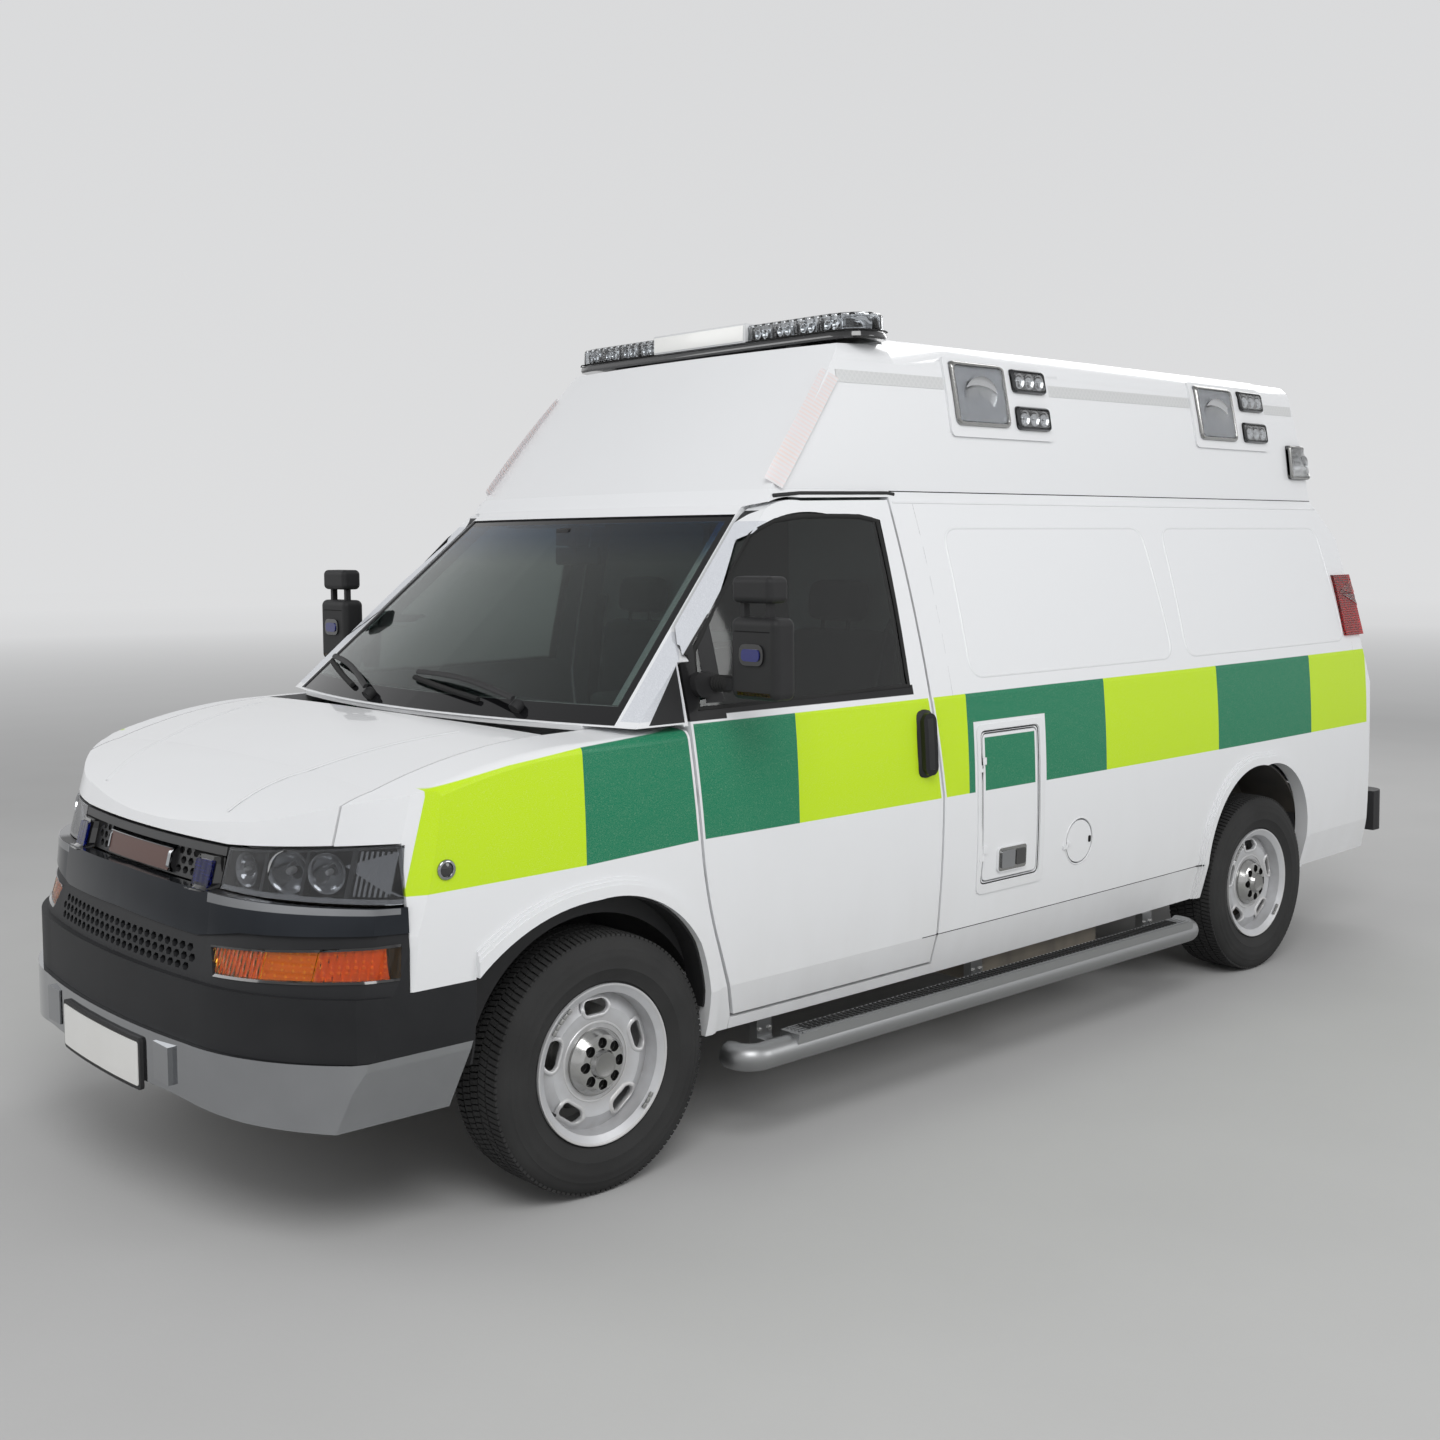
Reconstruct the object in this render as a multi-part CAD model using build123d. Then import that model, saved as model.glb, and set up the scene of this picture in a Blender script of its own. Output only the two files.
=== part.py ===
from build123d import *
import math
import os

os.makedirs("parts", exist_ok=True)

# A high-roof van ambulance. Millimetres; x to the vehicle's left, y to its rear, z up.
# In the drawing y counts from the front axle and z from a base line that lies GROUND_Z under the
# road; save() moves each node into the shared frame.

FRONT_AXLE_Y = -1846.0
GROUND_Z = 27.0
WHEELBASE = 3429.0
FRONT_HALF_TRACK = 874.0
REAR_HALF_TRACK = 852.0

# tyre and rim
TYRE_R = 360.0
TYRE_HALF_W = 113.0
WHEEL_Z = GROUND_Z + TYRE_R
RIM_R = 206.0
RIM_LIP_R = 222.0
RIM_HALF_W = 92.0
HUB_BORE_R = 32.0
RUN_FIT = 0.05
SEAT = 0.3

# body
WIDEST_Y = 1100.0
SIDE_R = 56180.0
SIDE_SWING = 3.85
WALL = 40.0
PANEL_T = 28.0
DOOR_GAP = 10.0
LEAF_GAP = 6.0
GLASS_T = 5.0
GLASS_IN = 6.0
SILL_Z = 381.0
BELT_Z = 1300.0
FLOOR_Z = 560.0
FLOOR_T = 40.0
FLOOR_TOP = FLOOR_Z + FLOOR_T
BODY_REAR_Y = 4565.0
NOSE_Y = -912.0
SCREEN_FOOT_Z = 1298.0
SCREEN_HEAD_Z = 1894.0
SCREEN_HALF = 902.0
CAP_FOOT_Z = 1924.0
CAP_Z = 1972.0
FAR = 7000.0


def outline(plane, start, *steps):
    """A closed face on a plane; a pair of numbers is a corner, two pairs are an arc's middle and end."""
    edges = []
    last = start
    for step in steps + (start,):
        if isinstance(step[0], tuple):
            edges.append(ThreePointArc(last, step[0], step[1]))
            last = step[1]
        elif step != last:
            edges.append(Line(last, step))
            last = step
    return plane * make_face(edges)


def block(x0, x1, y0, y1, z0, z1):
    """A box between two corners."""
    return Pos((x0 + x1) / 2, (y0 + y1) / 2, (z0 + z1) / 2) * Box(x1 - x0, y1 - y0, z1 - z0)


def upright(x, y, z0, z1, r):
    """A cylinder standing at x, y."""
    return Pos(x, y, (z0 + z1) / 2) * Cylinder(r, z1 - z0)


def lying(x0, x1, y, z, r):
    """A cylinder along x."""
    return Pos((x0 + x1) / 2, y, z) * Rot(0, 90, 0) * Cylinder(r, x1 - x0)


def lengthwise(x, y0, y1, z, r):
    """A cylinder along y."""
    return Pos(x, (y0 + y1) / 2, z) * Rot(90, 0, 0) * Cylinder(r, y1 - y0)


def side_prism(points, x0, x1):
    """A y-z outline drawn out along x."""
    return extrude(outline(Plane.YZ.offset(x0), *points), x1 - x0, dir=(1, 0, 0))


def back_prism(points, y0, y1):
    """An x-z outline drawn out along y."""
    return extrude(outline(Plane.XZ.offset(-y0), *points), y1 - y0, dir=(0, 1, 0))


def plan_prism(points, z0, z1, lean=(0.0, 0.0)):
    """An x-y outline drawn up from z0 to z1, leaning by a shift in x and y per unit of height."""
    length = math.hypot(lean[0], lean[1], 1.0)
    return extrude(outline(Plane.XY.offset(z0), *points), (z1 - z0) * length, dir=(lean[0], lean[1], 1.0))


def side_panel(y, z, wide, high, corner, x0=700.0, x1=1200.0):
    """A rounded rectangle on the side, drawn out along x."""
    face = Plane.YZ.offset(x0) * Pos(y, z) * RectangleRounded(wide, high, corner)
    return extrude(face, x1 - x0, dir=(1, 0, 0))


def arm(x, y, z0, z1, angle, length, width):
    """A flat arm that starts on an upright axis and runs out at an angle in plan."""
    return Pos(x, y, (z0 + z1) / 2) * Rot(0, 0, angle) * Pos(length / 2, 0, 0) * Box(length, width, z1 - z0)


def mirrored(shape):
    """The same shape on the other side."""
    return mirror(shape, about=Plane.YZ)


def group(*shapes):
    """Several solids of one node."""
    solids = []
    for shape in shapes:
        solids.extend(shape.solids())
    return Compound(solids)


def both(shape):
    """A shape and its mirror image as separate solids."""
    return group(shape, mirrored(shape))


def whole(half):
    """Two halves joined over the middle plane."""
    return half + mirrored(half)


def largest(shape, least=2e5):
    """Only the solids that are bigger than slivers, in mm3."""
    return Compound([s for s in shape.solids() if s.volume > least])


def save(name, shape):
    """Write one node in the shared frame."""
    moved = Pos(0, FRONT_AXLE_Y, -GROUND_Z) * shape
    export_step(moved, "parts/" + name + ".step")
    box = moved.bounding_box()
    print(name, len(moved.solids()), "solids", round(moved.volume / 1e9, 4), "m3",
          [round(v) for v in (*tuple(box.min), *tuple(box.max))])


# Outer surfaces of the left half, each for a depth below the paint.

HALF_SPACE = block(0, 1300, -1500, 5500, 100, 2800)


def side_form(depth):
    """The barrelled side and crowned roof, turned about a far upright axis."""
    d = depth
    section = outline(
        Plane.XZ.offset(-WIDEST_Y), (-200.0, 200.0), (900.0 - d, 200.0), (945.0 - d, SILL_Z), (984.0 - d,
                520.0),
        ((1004.0 - d, 850.0), (987.0 - d, 1290.0)), ((905.0 - d, 1622.0), (800.0 - d, 1955.0)),
        (783.0 - d, 1975.0), ((760.0 - d, 2200.0), (722.0 - d, 2400.0)),
        ((700.0 - d, 2456.0 - d / 2), (640.0 - d, 2490.0 - d)),
        ((330.0, 2536.0 - d), (-200.0, 2549.0 - d)))
    pole = Axis((1005.0 - SIDE_R, WIDEST_Y, 0), (0, 0, 1))
    return revolve(section.rotate(pole, -SIDE_SWING), axis=pole, revolution_arc=2 * SIDE_SWING)


def screen_front(depth):
    """Space behind the windscreen and the front of the roof cap."""
    d = depth * 1.35
    glass = plan_prism(
        ((0.0, -31.0 + d), ((451.0, 1.5 + d), (SCREEN_HALF, 99.0 + d)), (1100.0, 150.0 + d), (1100.0, FAR),
         (0.0, FAR)), SCREEN_FOOT_Z, CAP_FOOT_Z, (0.0, 1.136))
    cap = plan_prism(
        ((0.0, 692.0 + d), ((400.0, 712.0 + d), (760.0, 772.0 + d)), (1100.0, 860.0 + d), (1100.0, FAR),
         (0.0, FAR)), CAP_FOOT_Z, 2600.0, (0.0, 0.83))
    low = block(0, 1100, 290 + depth, FAR, 200, SCREEN_FOOT_Z)
    shelf = side_prism(((700.0, 2425.0 - depth), (1437.0 + depth, 2468.0 - depth), (1500.0 + depth, 2600.0),
                        (700.0, 2700.0)), -10, 1200)
    return glass + (cap - shelf) + low


REAR_STAGES = (
    # foot z, top z, shift in x over the stage, shift in y
    (200.0, 1150.0, 0.0, 0.0),
    (1150.0, 1800.0, -130.0, -85.0),
    (1800.0, 1964.0, -45.0, -140.0),
    (1964.0, 2600.0, -80.0, -120.0),
)


def rear_form(depth):
    """Space ahead of the rear face and its rounded corner, which lean forward in stages."""
    x = -depth
    y = BODY_REAR_Y - depth
    total = None
    for z0, z1, dx, dy in REAR_STAGES:
        rise = z1 - z0
        stage = plan_prism(
            ((-500.0, -2000.0), (1400.0, -2000.0), (1400.0, y - 190.0), (935.0 + x, y - 190.0),
             ((868.0 + x, y - 50.0), (755.0 + x, y)), (-500.0, y)), z0, z1, (dx / rise, dy / rise))
        total = stage if total is None else total + stage
        x += dx
        y += dy
    return total


def body_form(depth):
    """The cab and load space of the left half at a depth below the paint."""
    return HALF_SPACE & screen_front(depth) & rear_form(depth) & side_form(depth)


NOSE_ARCS = ((250.0, 8.0), (486.0, 32.0), (760.0, 112.0), (940.0, 250.0), (985.0, 345.0))


def nose_outline(front):
    """Plan of everything behind the nose, whose foremost point is given."""
    p = [(x, front + y) for x, y in NOSE_ARCS]
    return ((0.0, front), (p[0], p[1]), (p[2], p[3]), p[4], (1300.0, p[4][1]), (1300.0, 1500.0),
            (0.0, 1500.0))


def front_form(depth, shoulder=30.0):
    """Hood, fenders and lamp faces of the left half at a depth, with a rounded shoulder."""
    d = depth
    axis = Axis((0, 0, 1314.0 - 11400.0), (0, 1, 0))
    top = outline(
        Plane.YZ, (-1100.0, 300.0), (-1100.0, 880.0), (-905.0, 990.0 - d), ((-800.0, 1118.0 - d), (-600.0,
                1216.0 - d)),
        ((-350.0, 1284.0 - d), (-57.0, 1314.0 - d)), (520.0, 1326.0 - d), (520.0, 300.0))
    crown = revolve(top.rotate(axis, -1), axis=axis, revolution_arc=8)
    nose = plan_prism(nose_outline(NOSE_Y + d), 839.0, 1500.0, (0.0, 49.0 / 190.0))
    low = plan_prism(nose_outline(NOSE_Y + d), 300.0, 839.0)
    form = HALF_SPACE & side_form(d) & crown & (nose + low)
    edges = [e for e in form.edges() if e.length > 300 and e.center().X > 880 and e.center().Z > 1100]
    return form.fillet(max(shoulder - d, 4.0), edges)


outer = body_form(0)
shell = outer - body_form(WALL)
pane_form = body_form(GLASS_IN) - body_form(GLASS_IN + GLASS_T)
leaf_form = outer - body_form(24)
front_outer = front_form(0)
front_skin = front_outer - front_form(PANEL_T)

# Wheel arches: the outline of each opening, grown by g, and the raised flare round it.


def front_arch_outline(g):
    """Front wheel arch in y and z."""
    return ((-412.0 - g, 300.0), (-412.0 - g, 706.0 + g / 2),
            ((-232.0 - g * 0.5, 818.0 + g * 0.85), (-35.0, 853.0 + g)),
            ((190.0 + g * 0.5, 806.0 + g * 0.85), (326.0 + g * 0.85, 672.0 + g * 0.5)),
            ((366.0 + g, 550.0), (382.0 + g, 410.0)), (382.0 + g, 300.0))


def rear_arch_outline(g):
    """Rear wheel arch in y and z."""
    return ((3034.0 - g, 300.0), (3034.0 - g, 500.0), ((3140.0 - g * 0.7, 772.0 + g * 0.7), (3470.0, 873.0
            + g)),
            ((3745.0 + g * 0.7, 790.0 + g * 0.6), (3862.0 + g, 520.0)), (3870.0 + g, 300.0))


FLARE_STEPS = (
    # how far the step stands off the paint, how far out from the opening it reaches
    (6.0, 50.0),
    (12.0, 41.0),
    (17.0, 30.0),
)


def flare(arch_outline, y0, y1):
    """The raised band round a wheel arch, stepped down to the paint."""
    total = None
    for proud, reach in FLARE_STEPS:
        step = (side_form(-proud) - side_form(1.0)) & side_prism(arch_outline(reach), 700, 1300)
        total = step if total is None else total + step
    return (total - side_prism(arch_outline(0), 700, 1300)) & block(700, 1300, y0, y1, SILL_Z, 1300)


front_arch = side_prism(front_arch_outline(0), 520, 1300)
rear_arch = side_prism(rear_arch_outline(0), 700, 1300)

# Cab doors: outline, window and hinge.

SIDE_BAND = (700.0, 1200.0)


def door_outline(g):
    """Cab door edge, shrunk by g."""
    return ((484.0 + g, 415.0 + g), (390.0 + g, 685.0), ((357.0 + g, 806.0), (334.0 + g, 967.0)),
            (307.0 + g, 1290.0), (302.0 + g, 1470.0), (331.0 + g * 1.2, 1535.0 - g / 2),
            ((528.0 + g * 1.2, 1738.0 - g / 2), (725.0 + g, 1900.0 - g)),
            ((812.0 + g / 2, 1938.0 - g), (930.0, 1946.0 - g)), (1341.0 - g, 1953.0 - g), (1345.0 - g,
                    BELT_Z),
            (1390.0 - g, 975.0), (1377.0 - g, 415.0 + g))


def window_outline(g):
    """Cab door window edge, shrunk by g."""
    return ((352.0 + g * 2, 1330.0 + g), (372.0 + g * 2, 1520.0), (658.0 + g, 1815.0 - g),
            ((800.0, 1880.0 - g), (1047.0, 1893.0 - g)), ((1180.0, 1893.0 - g), (1272.0 - g, 1877.0 - g)),
            (1252.0 - g, 1340.0 + g))


# Seen from the front, as x and z: the door's edge along the windscreen, the slanting line where it
# leaves the fixed pillar, and the edge of the glass behind the door's own pillar strip.
STRIP_EDGE = ((826.0, 1560.0), (722.0, 1902.0))
STRIP_FOOT = (942.0, 1472.0)
GLASS_EDGE = ((885.0, 1541.0), (843.0, 1643.0), (815.0, 1742.0), (796.0, 1815.0), (785.0, 1900.0))
LEAF_IN_X = 895.0
FOOT_Y = 345.0
STRIP_Y = 790.0
HEADER_X = 748.0


def outward_of(points, y0, y1, g):
    """Space outward of an edge given in the front view, between two y, shrunk by g."""
    edge = [(x + g, z + g / 2) for x, z in points]
    front_view = ((1200.0, 300.0), (LEAF_IN_X + g, 300.0), *edge, (edge[-1][0], 2000.0), (1200.0, 2000.0))
    return back_prism(front_view, y0, y1)


def door_space(g):
    """Space of the cab door, shrunk by g."""
    foot = outward_of(((LEAF_IN_X, 1440.0), STRIP_FOOT) + STRIP_EDGE, 200.0, FOOT_Y, g)
    strip = outward_of(((LEAF_IN_X, 1500.0),) + STRIP_EDGE, FOOT_Y, STRIP_Y, g)
    rest = block(HEADER_X + g, 1200, STRIP_Y - 1, 1500, 300, 2000)
    return side_prism(door_outline(g), *SIDE_BAND) & (foot + strip + rest)


def window_space(g):
    """Space of the cab door's window, shrunk by g."""
    front = outward_of(((LEAF_IN_X, 1500.0),) + GLASS_EDGE, 200.0, STRIP_Y, g)
    return side_prism(window_outline(g), *SIDE_BAND) & (front + block(700, 1200, STRIP_Y - 1, 1500, 300,
            2000))


door_cut = door_space(0)
door_body = door_space(DOOR_GAP)
HANDLE = {"y": 1300.0, "z": 1156.0, "wide": 62.0, "high": 200.0, "proud": 26.0}


def handle_plate(y, z):
    """An upright pull handle that stands off the paint."""
    return (side_form(-HANDLE["proud"]) - side_form(2.0)) & side_panel(y, z, HANDLE["wide"],
            HANDLE["high"], 28)


door_half = (shell & door_body) - window_space(0) - front_arch
door_half += handle_plate(HANDLE["y"], HANDLE["z"])
door_glass = pane_form & window_space(SEAT)

# The cab door turns on two pins inside the fender's rear edge; a gooseneck runs from each to the door.
DOOR_AXIS = {"x": 984.0, "y": 305.0}
DOOR_PIN_R = 3.0
DOOR_EYE_R = 5.5
DOOR_PIN_ZS = (860.0, 1090.0)
NECK = {"deep": 45.0, "half_w": 4.0, "half_h": 10.0, "foot_y": 402.0}
door_pockets = None
door_pins = None
for z in DOOR_PIN_ZS:
    x = DOOR_AXIS["x"]
    y = DOOR_AXIS["y"]
    z0 = z - NECK["half_h"]
    z1 = z + NECK["half_h"]
    neck = (upright(x, y, z0, z1, DOOR_EYE_R) + arm(x, y, z0, z1, 180, NECK["deep"] + NECK["half_w"],
                                                    2 * NECK["half_w"])
            + arm(x - NECK["deep"], y - NECK["half_w"], z0, z1, 90, 60.0 + NECK["half_w"],
                  2 * NECK["half_w"])
            + block(x - NECK["deep"] - NECK["half_w"], x - 20, y + 58, NECK["foot_y"], z0, z1))
    door_half += neck - upright(x, y, z0 - 1, z1 + 1, DOOR_PIN_R + RUN_FIT)
    pocket = block(880, 990.5, 292, 420, z0 - 8, z1 + 8)
    pin = upright(x, y, z0 - 12, z1 + 12, DOOR_PIN_R)
    door_pockets = pocket if door_pockets is None else door_pockets + pocket
    door_pins = pin if door_pins is None else door_pins + pin

# Rear doors: two leaves over the rear face, on outside hinges at the rounded corner.
REAR_LEAF = {"half_low": 842.0, "half_high": 650.0, "z_low": 640.0, "z_high": 1905.0, "mid_gap": 4.0}
REAR_BAND = (4100.0, 4700.0)


def rear_leaf_outline(g):
    """x-z outline of one rear leaf."""
    return ((REAR_LEAF["mid_gap"], REAR_LEAF["z_low"] + g), (REAR_LEAF["half_low"] - g, REAR_LEAF["z_low"]
            + g), (REAR_LEAF["half_low"] - g, 1160.0),
            (REAR_LEAF["half_high"] - g, REAR_LEAF["z_high"] - g), (REAR_LEAF["mid_gap"],
                    REAR_LEAF["z_high"] - g))


REAR_WINDOW = ((70.0, 1240.0), (742.0, 1240.0), (640.0, 1790.0), (70.0, 1790.0))
REAR_PANE = ((70.0 + SEAT, 1240.0 + SEAT), (742.0 - SEAT, 1240.0 + SEAT), (640.0 - SEAT, 1790.0 - SEAT),
             (70.0 + SEAT, 1790.0 - SEAT))
rear_leaf = (shell & back_prism(rear_leaf_outline(DOOR_GAP), *REAR_BAND)) - back_prism(REAR_WINDOW,
        *REAR_BAND)
rear_pane = pane_form & back_prism(REAR_PANE, *REAR_BAND)
rear_cut = back_prism(((-5.0, REAR_LEAF["z_low"]),) + rear_leaf_outline(0)[1:4]
                      + ((-5.0, REAR_LEAF["z_high"]),),
                      *REAR_BAND)


def leaf_hinge(x, y, z, fixed_angle, moving_angle, reach, pin_r, high):
    """A pin on a fixed arm and the eye of a leaf that drops over it, both upright."""
    eye_r = pin_r * 2
    fixed = (arm(x, y, z - high, z - 1, fixed_angle, reach, eye_r * 1.6) + upright(x, y, z - high, z - 1,
            eye_r)
             + upright(x, y, z - 1, z + high, pin_r))
    moving = arm(x, y, z, z + high, moving_angle, reach, eye_r * 1.6) + upright(x, y, z, z + high, eye_r)
    return fixed, moving - upright(x, y, z - 1, z + high + 1, pin_r + RUN_FIT)


REAR_HINGE = {"x": 842.0, "y": BODY_REAR_Y - 20.0, "turn": -33.5, "dip": 14.0, "reach": 46.0}
REAR_HINGE_ZS = (780.0, 1060.0)
rear_hinge_fixed = []
for z in REAR_HINGE_ZS:
    turn = REAR_HINGE["turn"]
    dip = REAR_HINGE["dip"]
    fixed, moving = leaf_hinge(REAR_HINGE["x"], REAR_HINGE["y"], z, turn - dip, 180 + turn + dip,
                               REAR_HINGE["reach"], 4.0, 30.0)
    rear_leaf += moving
    rear_hinge_fixed.append(fixed)

# Locker, fuel flap and sliding door in the sides.
LOCKER = {"y": 1737.0, "z": 913.0, "wide": 306.0, "high": 506.0, "corner": 24.0}
FUEL = {"y": 2140.0, "z": 732.0, "r": 82.0}
LOCKER_HINGE_ZS = (760.0, 1060.0)
LOCKER_HINGE_X = 1003.0
FUEL_HINGE_X = 996.0
SLIDER = {"y": 2100.0, "z": 1200.0, "wide": 1320.0, "high": 1440.0, "corner": 40.0}
locker_cut = side_panel(LOCKER["y"], LOCKER["z"], LOCKER["wide"], LOCKER["high"], LOCKER["corner"])
locker_leaf = leaf_form & side_panel(LOCKER["y"], LOCKER["z"], LOCKER["wide"] - 2 * LEAF_GAP,
                                     LOCKER["high"] - 2 * LEAF_GAP,
                                     LOCKER["corner"] - LEAF_GAP)
locker_latch = (side_form(-7.0) - side_form(2.0)) & side_panel(1743.0, 727.0, 158.0, 86.0, 18)
locker_door = locker_leaf + locker_latch
fuel_cut = lying(800, 1200, FUEL["y"], FUEL["z"], FUEL["r"])
fuel_flap = leaf_form & lying(800, 1200, FUEL["y"], FUEL["z"], FUEL["r"] - LEAF_GAP)
slider_cut = side_panel(SLIDER["y"], SLIDER["z"], SLIDER["wide"], SLIDER["high"], SLIDER["corner"])
slider = shell & side_panel(SLIDER["y"], SLIDER["z"], SLIDER["wide"] - 2 * LEAF_GAP, SLIDER["high"]
                            - 2 * LEAF_GAP, SLIDER["corner"] - LEAF_GAP)
slider += handle_plate(1520.0, HANDLE["z"])
side_hinges = []
locker_front = LOCKER["y"] - LOCKER["wide"] / 2
fuel_front = FUEL["y"] - FUEL["r"]


def side_hinge(x, y, z, pin_r, high):
    """A hinge on the side whose two arms are let into the skin."""
    fixed, moving = leaf_hinge(x, y, z, -90, 90, 22.0, pin_r, high)
    fixed += block(x - 9, x - 1, y - 22, y - 6, z - high, z - 1)
    moving += block(x - 9, x - 1, y + 6, y + 22, z, z + high)
    return fixed, moving


for z in LOCKER_HINGE_ZS:
    locker_door -= block(LOCKER_HINGE_X - 12, LOCKER_HINGE_X + 12, locker_front, locker_front + 12,
                         z - 26, z - 0.5)
    fixed, moving = side_hinge(LOCKER_HINGE_X, locker_front + 3, z, 2.0, 24.0)
    side_hinges.append(fixed)
    locker_door += moving
fixed, moving = side_hinge(FUEL_HINGE_X, fuel_front + 4, FUEL["z"] - 6, 1.8, 12.0)
side_hinges.append(fixed)
fuel_flap += moving

# The shell split at its real panel lines.
door_sill = block(880, 1300, 482, 1281, SILL_Z, 500)
box_part = block(0, 1300, 1280, 5500, SILL_Z, CAP_Z) + door_sill
cab_part = block(0, 1300, -200, 1280, SILL_Z, CAP_Z) - door_sill
cap_part = block(0, 1300, 500, 5500, CAP_Z, 2800)
side_wall = (shell & box_part) - door_cut - rear_arch - rear_cut + flare(rear_arch_outline, 2900, 4000)
for fixed in rear_hinge_fixed:
    side_wall += fixed
side_left = side_wall - locker_cut - fuel_cut
for fixed in side_hinges:
    side_left += fixed
side_right_half = side_wall - slider_cut
cap_half = shell & cap_part

# Windscreen in its frame.
SCREEN_LEAN = (-181.0 / 596.0, 1.136)


def screen_space(g):
    """The windscreen's space, shrunk by g."""
    return plan_prism(((-10.0, -700.0), (SCREEN_HALF - g, -700.0), (SCREEN_HALF - g, 400.0),
                       (-10.0, 400.0)),
                      SCREEN_FOOT_Z + 4.0 + g, SCREEN_HEAD_Z - g, SCREEN_LEAN)


windscreen_half = HALF_SPACE & pane_form & screen_space(SEAT)
screen_frame = None
for deep, shallow, spill in ((60.0, 30.0, 4.0), (30.5, GLASS_IN + GLASS_T + SEAT, -3.0)):
    band = plan_prism(((SCREEN_HALF - 55.0, -700.0), (SCREEN_HALF + spill, -700.0), (SCREEN_HALF + spill,
            700.0),
                       (SCREEN_HALF - 55.0, 700.0)), SCREEN_FOOT_Z, 1960.0, SCREEN_LEAN)
    layer = (body_form(shallow) - body_form(deep)) & band & block(500, 1000, 80, 800, SCREEN_FOOT_Z, 1950)
    screen_frame = layer if screen_frame is None else screen_frame + layer
scuttle = plan_prism(((-1.0, -28.0), ((451.0, 5.0), (800.0, 68.0)), (800.0, 331.0), (-1.0, 331.0)),
                     1284.0, 1299.0)
scuttle += block(790, 900, 314, 331, 1270, 1299)
QUARTER = ((168.0, 1303.0), (296.0, 1303.0), (296.0, 1460.0))
QUARTER_SPACE = ((168.0 - SEAT * 3, 1303.0 - SEAT), (296.0 + SEAT, 1303.0 - SEAT), (296.0 + SEAT, 1460.0
        + SEAT * 3))
quarter = shell & side_prism(QUARTER, 897, 1200)

# Cab frame: pillars, header, firewall, toe board over the wheel and the post inside each fender.
WELL_X = 515.0
TOE_R = 412.0
toe_ring = lying(WELL_X, 905, 0, WHEEL_Z, TOE_R + 26) - lying(WELL_X - 1, 906, 0, WHEEL_Z, TOE_R)
toe = toe_ring & block(WELL_X, 900, 285, 460, FLOOR_TOP + SEAT, 660)
POST = ((402.0, 385.0), (402.0, 560.0), (372.0, 672.0), (325.0, 760.0), (240.0, 860.0), (150.0, 890.0),
        (150.0, 1290.0), (296.0, 1290.0), (325.0, 967.0), (346.0, 806.0), (380.0, 685.0), (474.0,
                415.0), (474.0, 385.0))
post = side_prism(POST, 915, 1000) & front_form(PANEL_T + SEAT)
cab_half = ((shell & cab_part) - door_cut - screen_space(0) - front_arch
            - lying(WELL_X, 1300, 0, WHEEL_Z, TOE_R) - block(-5, 1300, 280, 345, 200, FLOOR_TOP + SEAT)
            - side_prism(QUARTER_SPACE, 896, 1200) - block(880, 1300, 100, 480, SILL_Z - 10, 1292))
cab_half = largest(cab_half) + screen_frame + scuttle + toe + post + block(880, 930, 288, 306, 900, 1240)
cab_half -= door_pockets

# Hood and fenders.
HOOD_HALF = 803.0
FENDER_IN = HOOD_HALF + LEAF_GAP
hood_zone = back_prism(((-5.0, 1036.0), (470.0, 1036.0), (HOOD_HALF, 1061.0), (HOOD_HALF, 1500.0),
                        (-5.0, 1500.0)),
                       -1100, 300)
hood_plan = plan_prism(((-5.0, -1100.0), (HOOD_HALF, -1100.0), (HOOD_HALF, -74.0), ((410.0, -140.0),
        (-5.0, -165.0))),
                       900, 1500)
hood_panel = whole(front_skin & hood_zone & hood_plan)
HOOD_AXIS = {"y": -50.0, "z": 1225.0}
HOOD_PIN_R = 5.0
HOOD_ARM_X = (768.0, 788.0)
hood_arm = side_prism(((-190.0, 1262.0), (-110.0, 1262.0), (-44.0, 1233.0), (-56.0, 1215.0), (-110.0,
        1232.0)), *HOOD_ARM_X)
hood_arm = (hood_arm & front_form(PANEL_T / 2)) + lying(*HOOD_ARM_X, HOOD_AXIS["y"], HOOD_AXIS["z"], 10)
hood_arm -= lying(700, 900, HOOD_AXIS["y"], HOOD_AXIS["z"], HOOD_PIN_R + RUN_FIT)
hood = hood_panel + hood_arm + mirrored(hood_arm)

COVER_SHELF_Z = 700.0
fender_zone = block(FENDER_IN, 1300, -600, 480, SILL_Z, 1400)
fender_nose = back_prism(((FENDER_IN, 1060.0), (1300.0, 1097.0), (1300.0, 1400.0), (FENDER_IN, 1400.0)),
                         -900, -590)
fender_half = ((front_skin & (fender_zone + fender_nose)) - front_arch
               - block(700, 1300, -1000, -412, 300, COVER_SHELF_Z + SEAT))
fender_half = fender_half + flare(front_arch_outline, -412.0, 480.0)
fender_half = largest(fender_half - side_prism(door_outline(0), *SIDE_BAND) - block(700, 1300, 296, 600,
        1296, 1400)
                      - block(700, 880, 290 - SEAT, 600, 300, 1400))
fender_half = (fender_half - (door_pockets & block(880, 990.5, 200, 420, 700, 1200))) + door_pins
fender_half += (block(FENDER_IN, FENDER_IN + 14, -80, -20, 1200, 1262)
                + lying(HOOD_ARM_X[0] - 8, FENDER_IN, HOOD_AXIS["y"], HOOD_AXIS["z"], HOOD_PIN_R))

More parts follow.
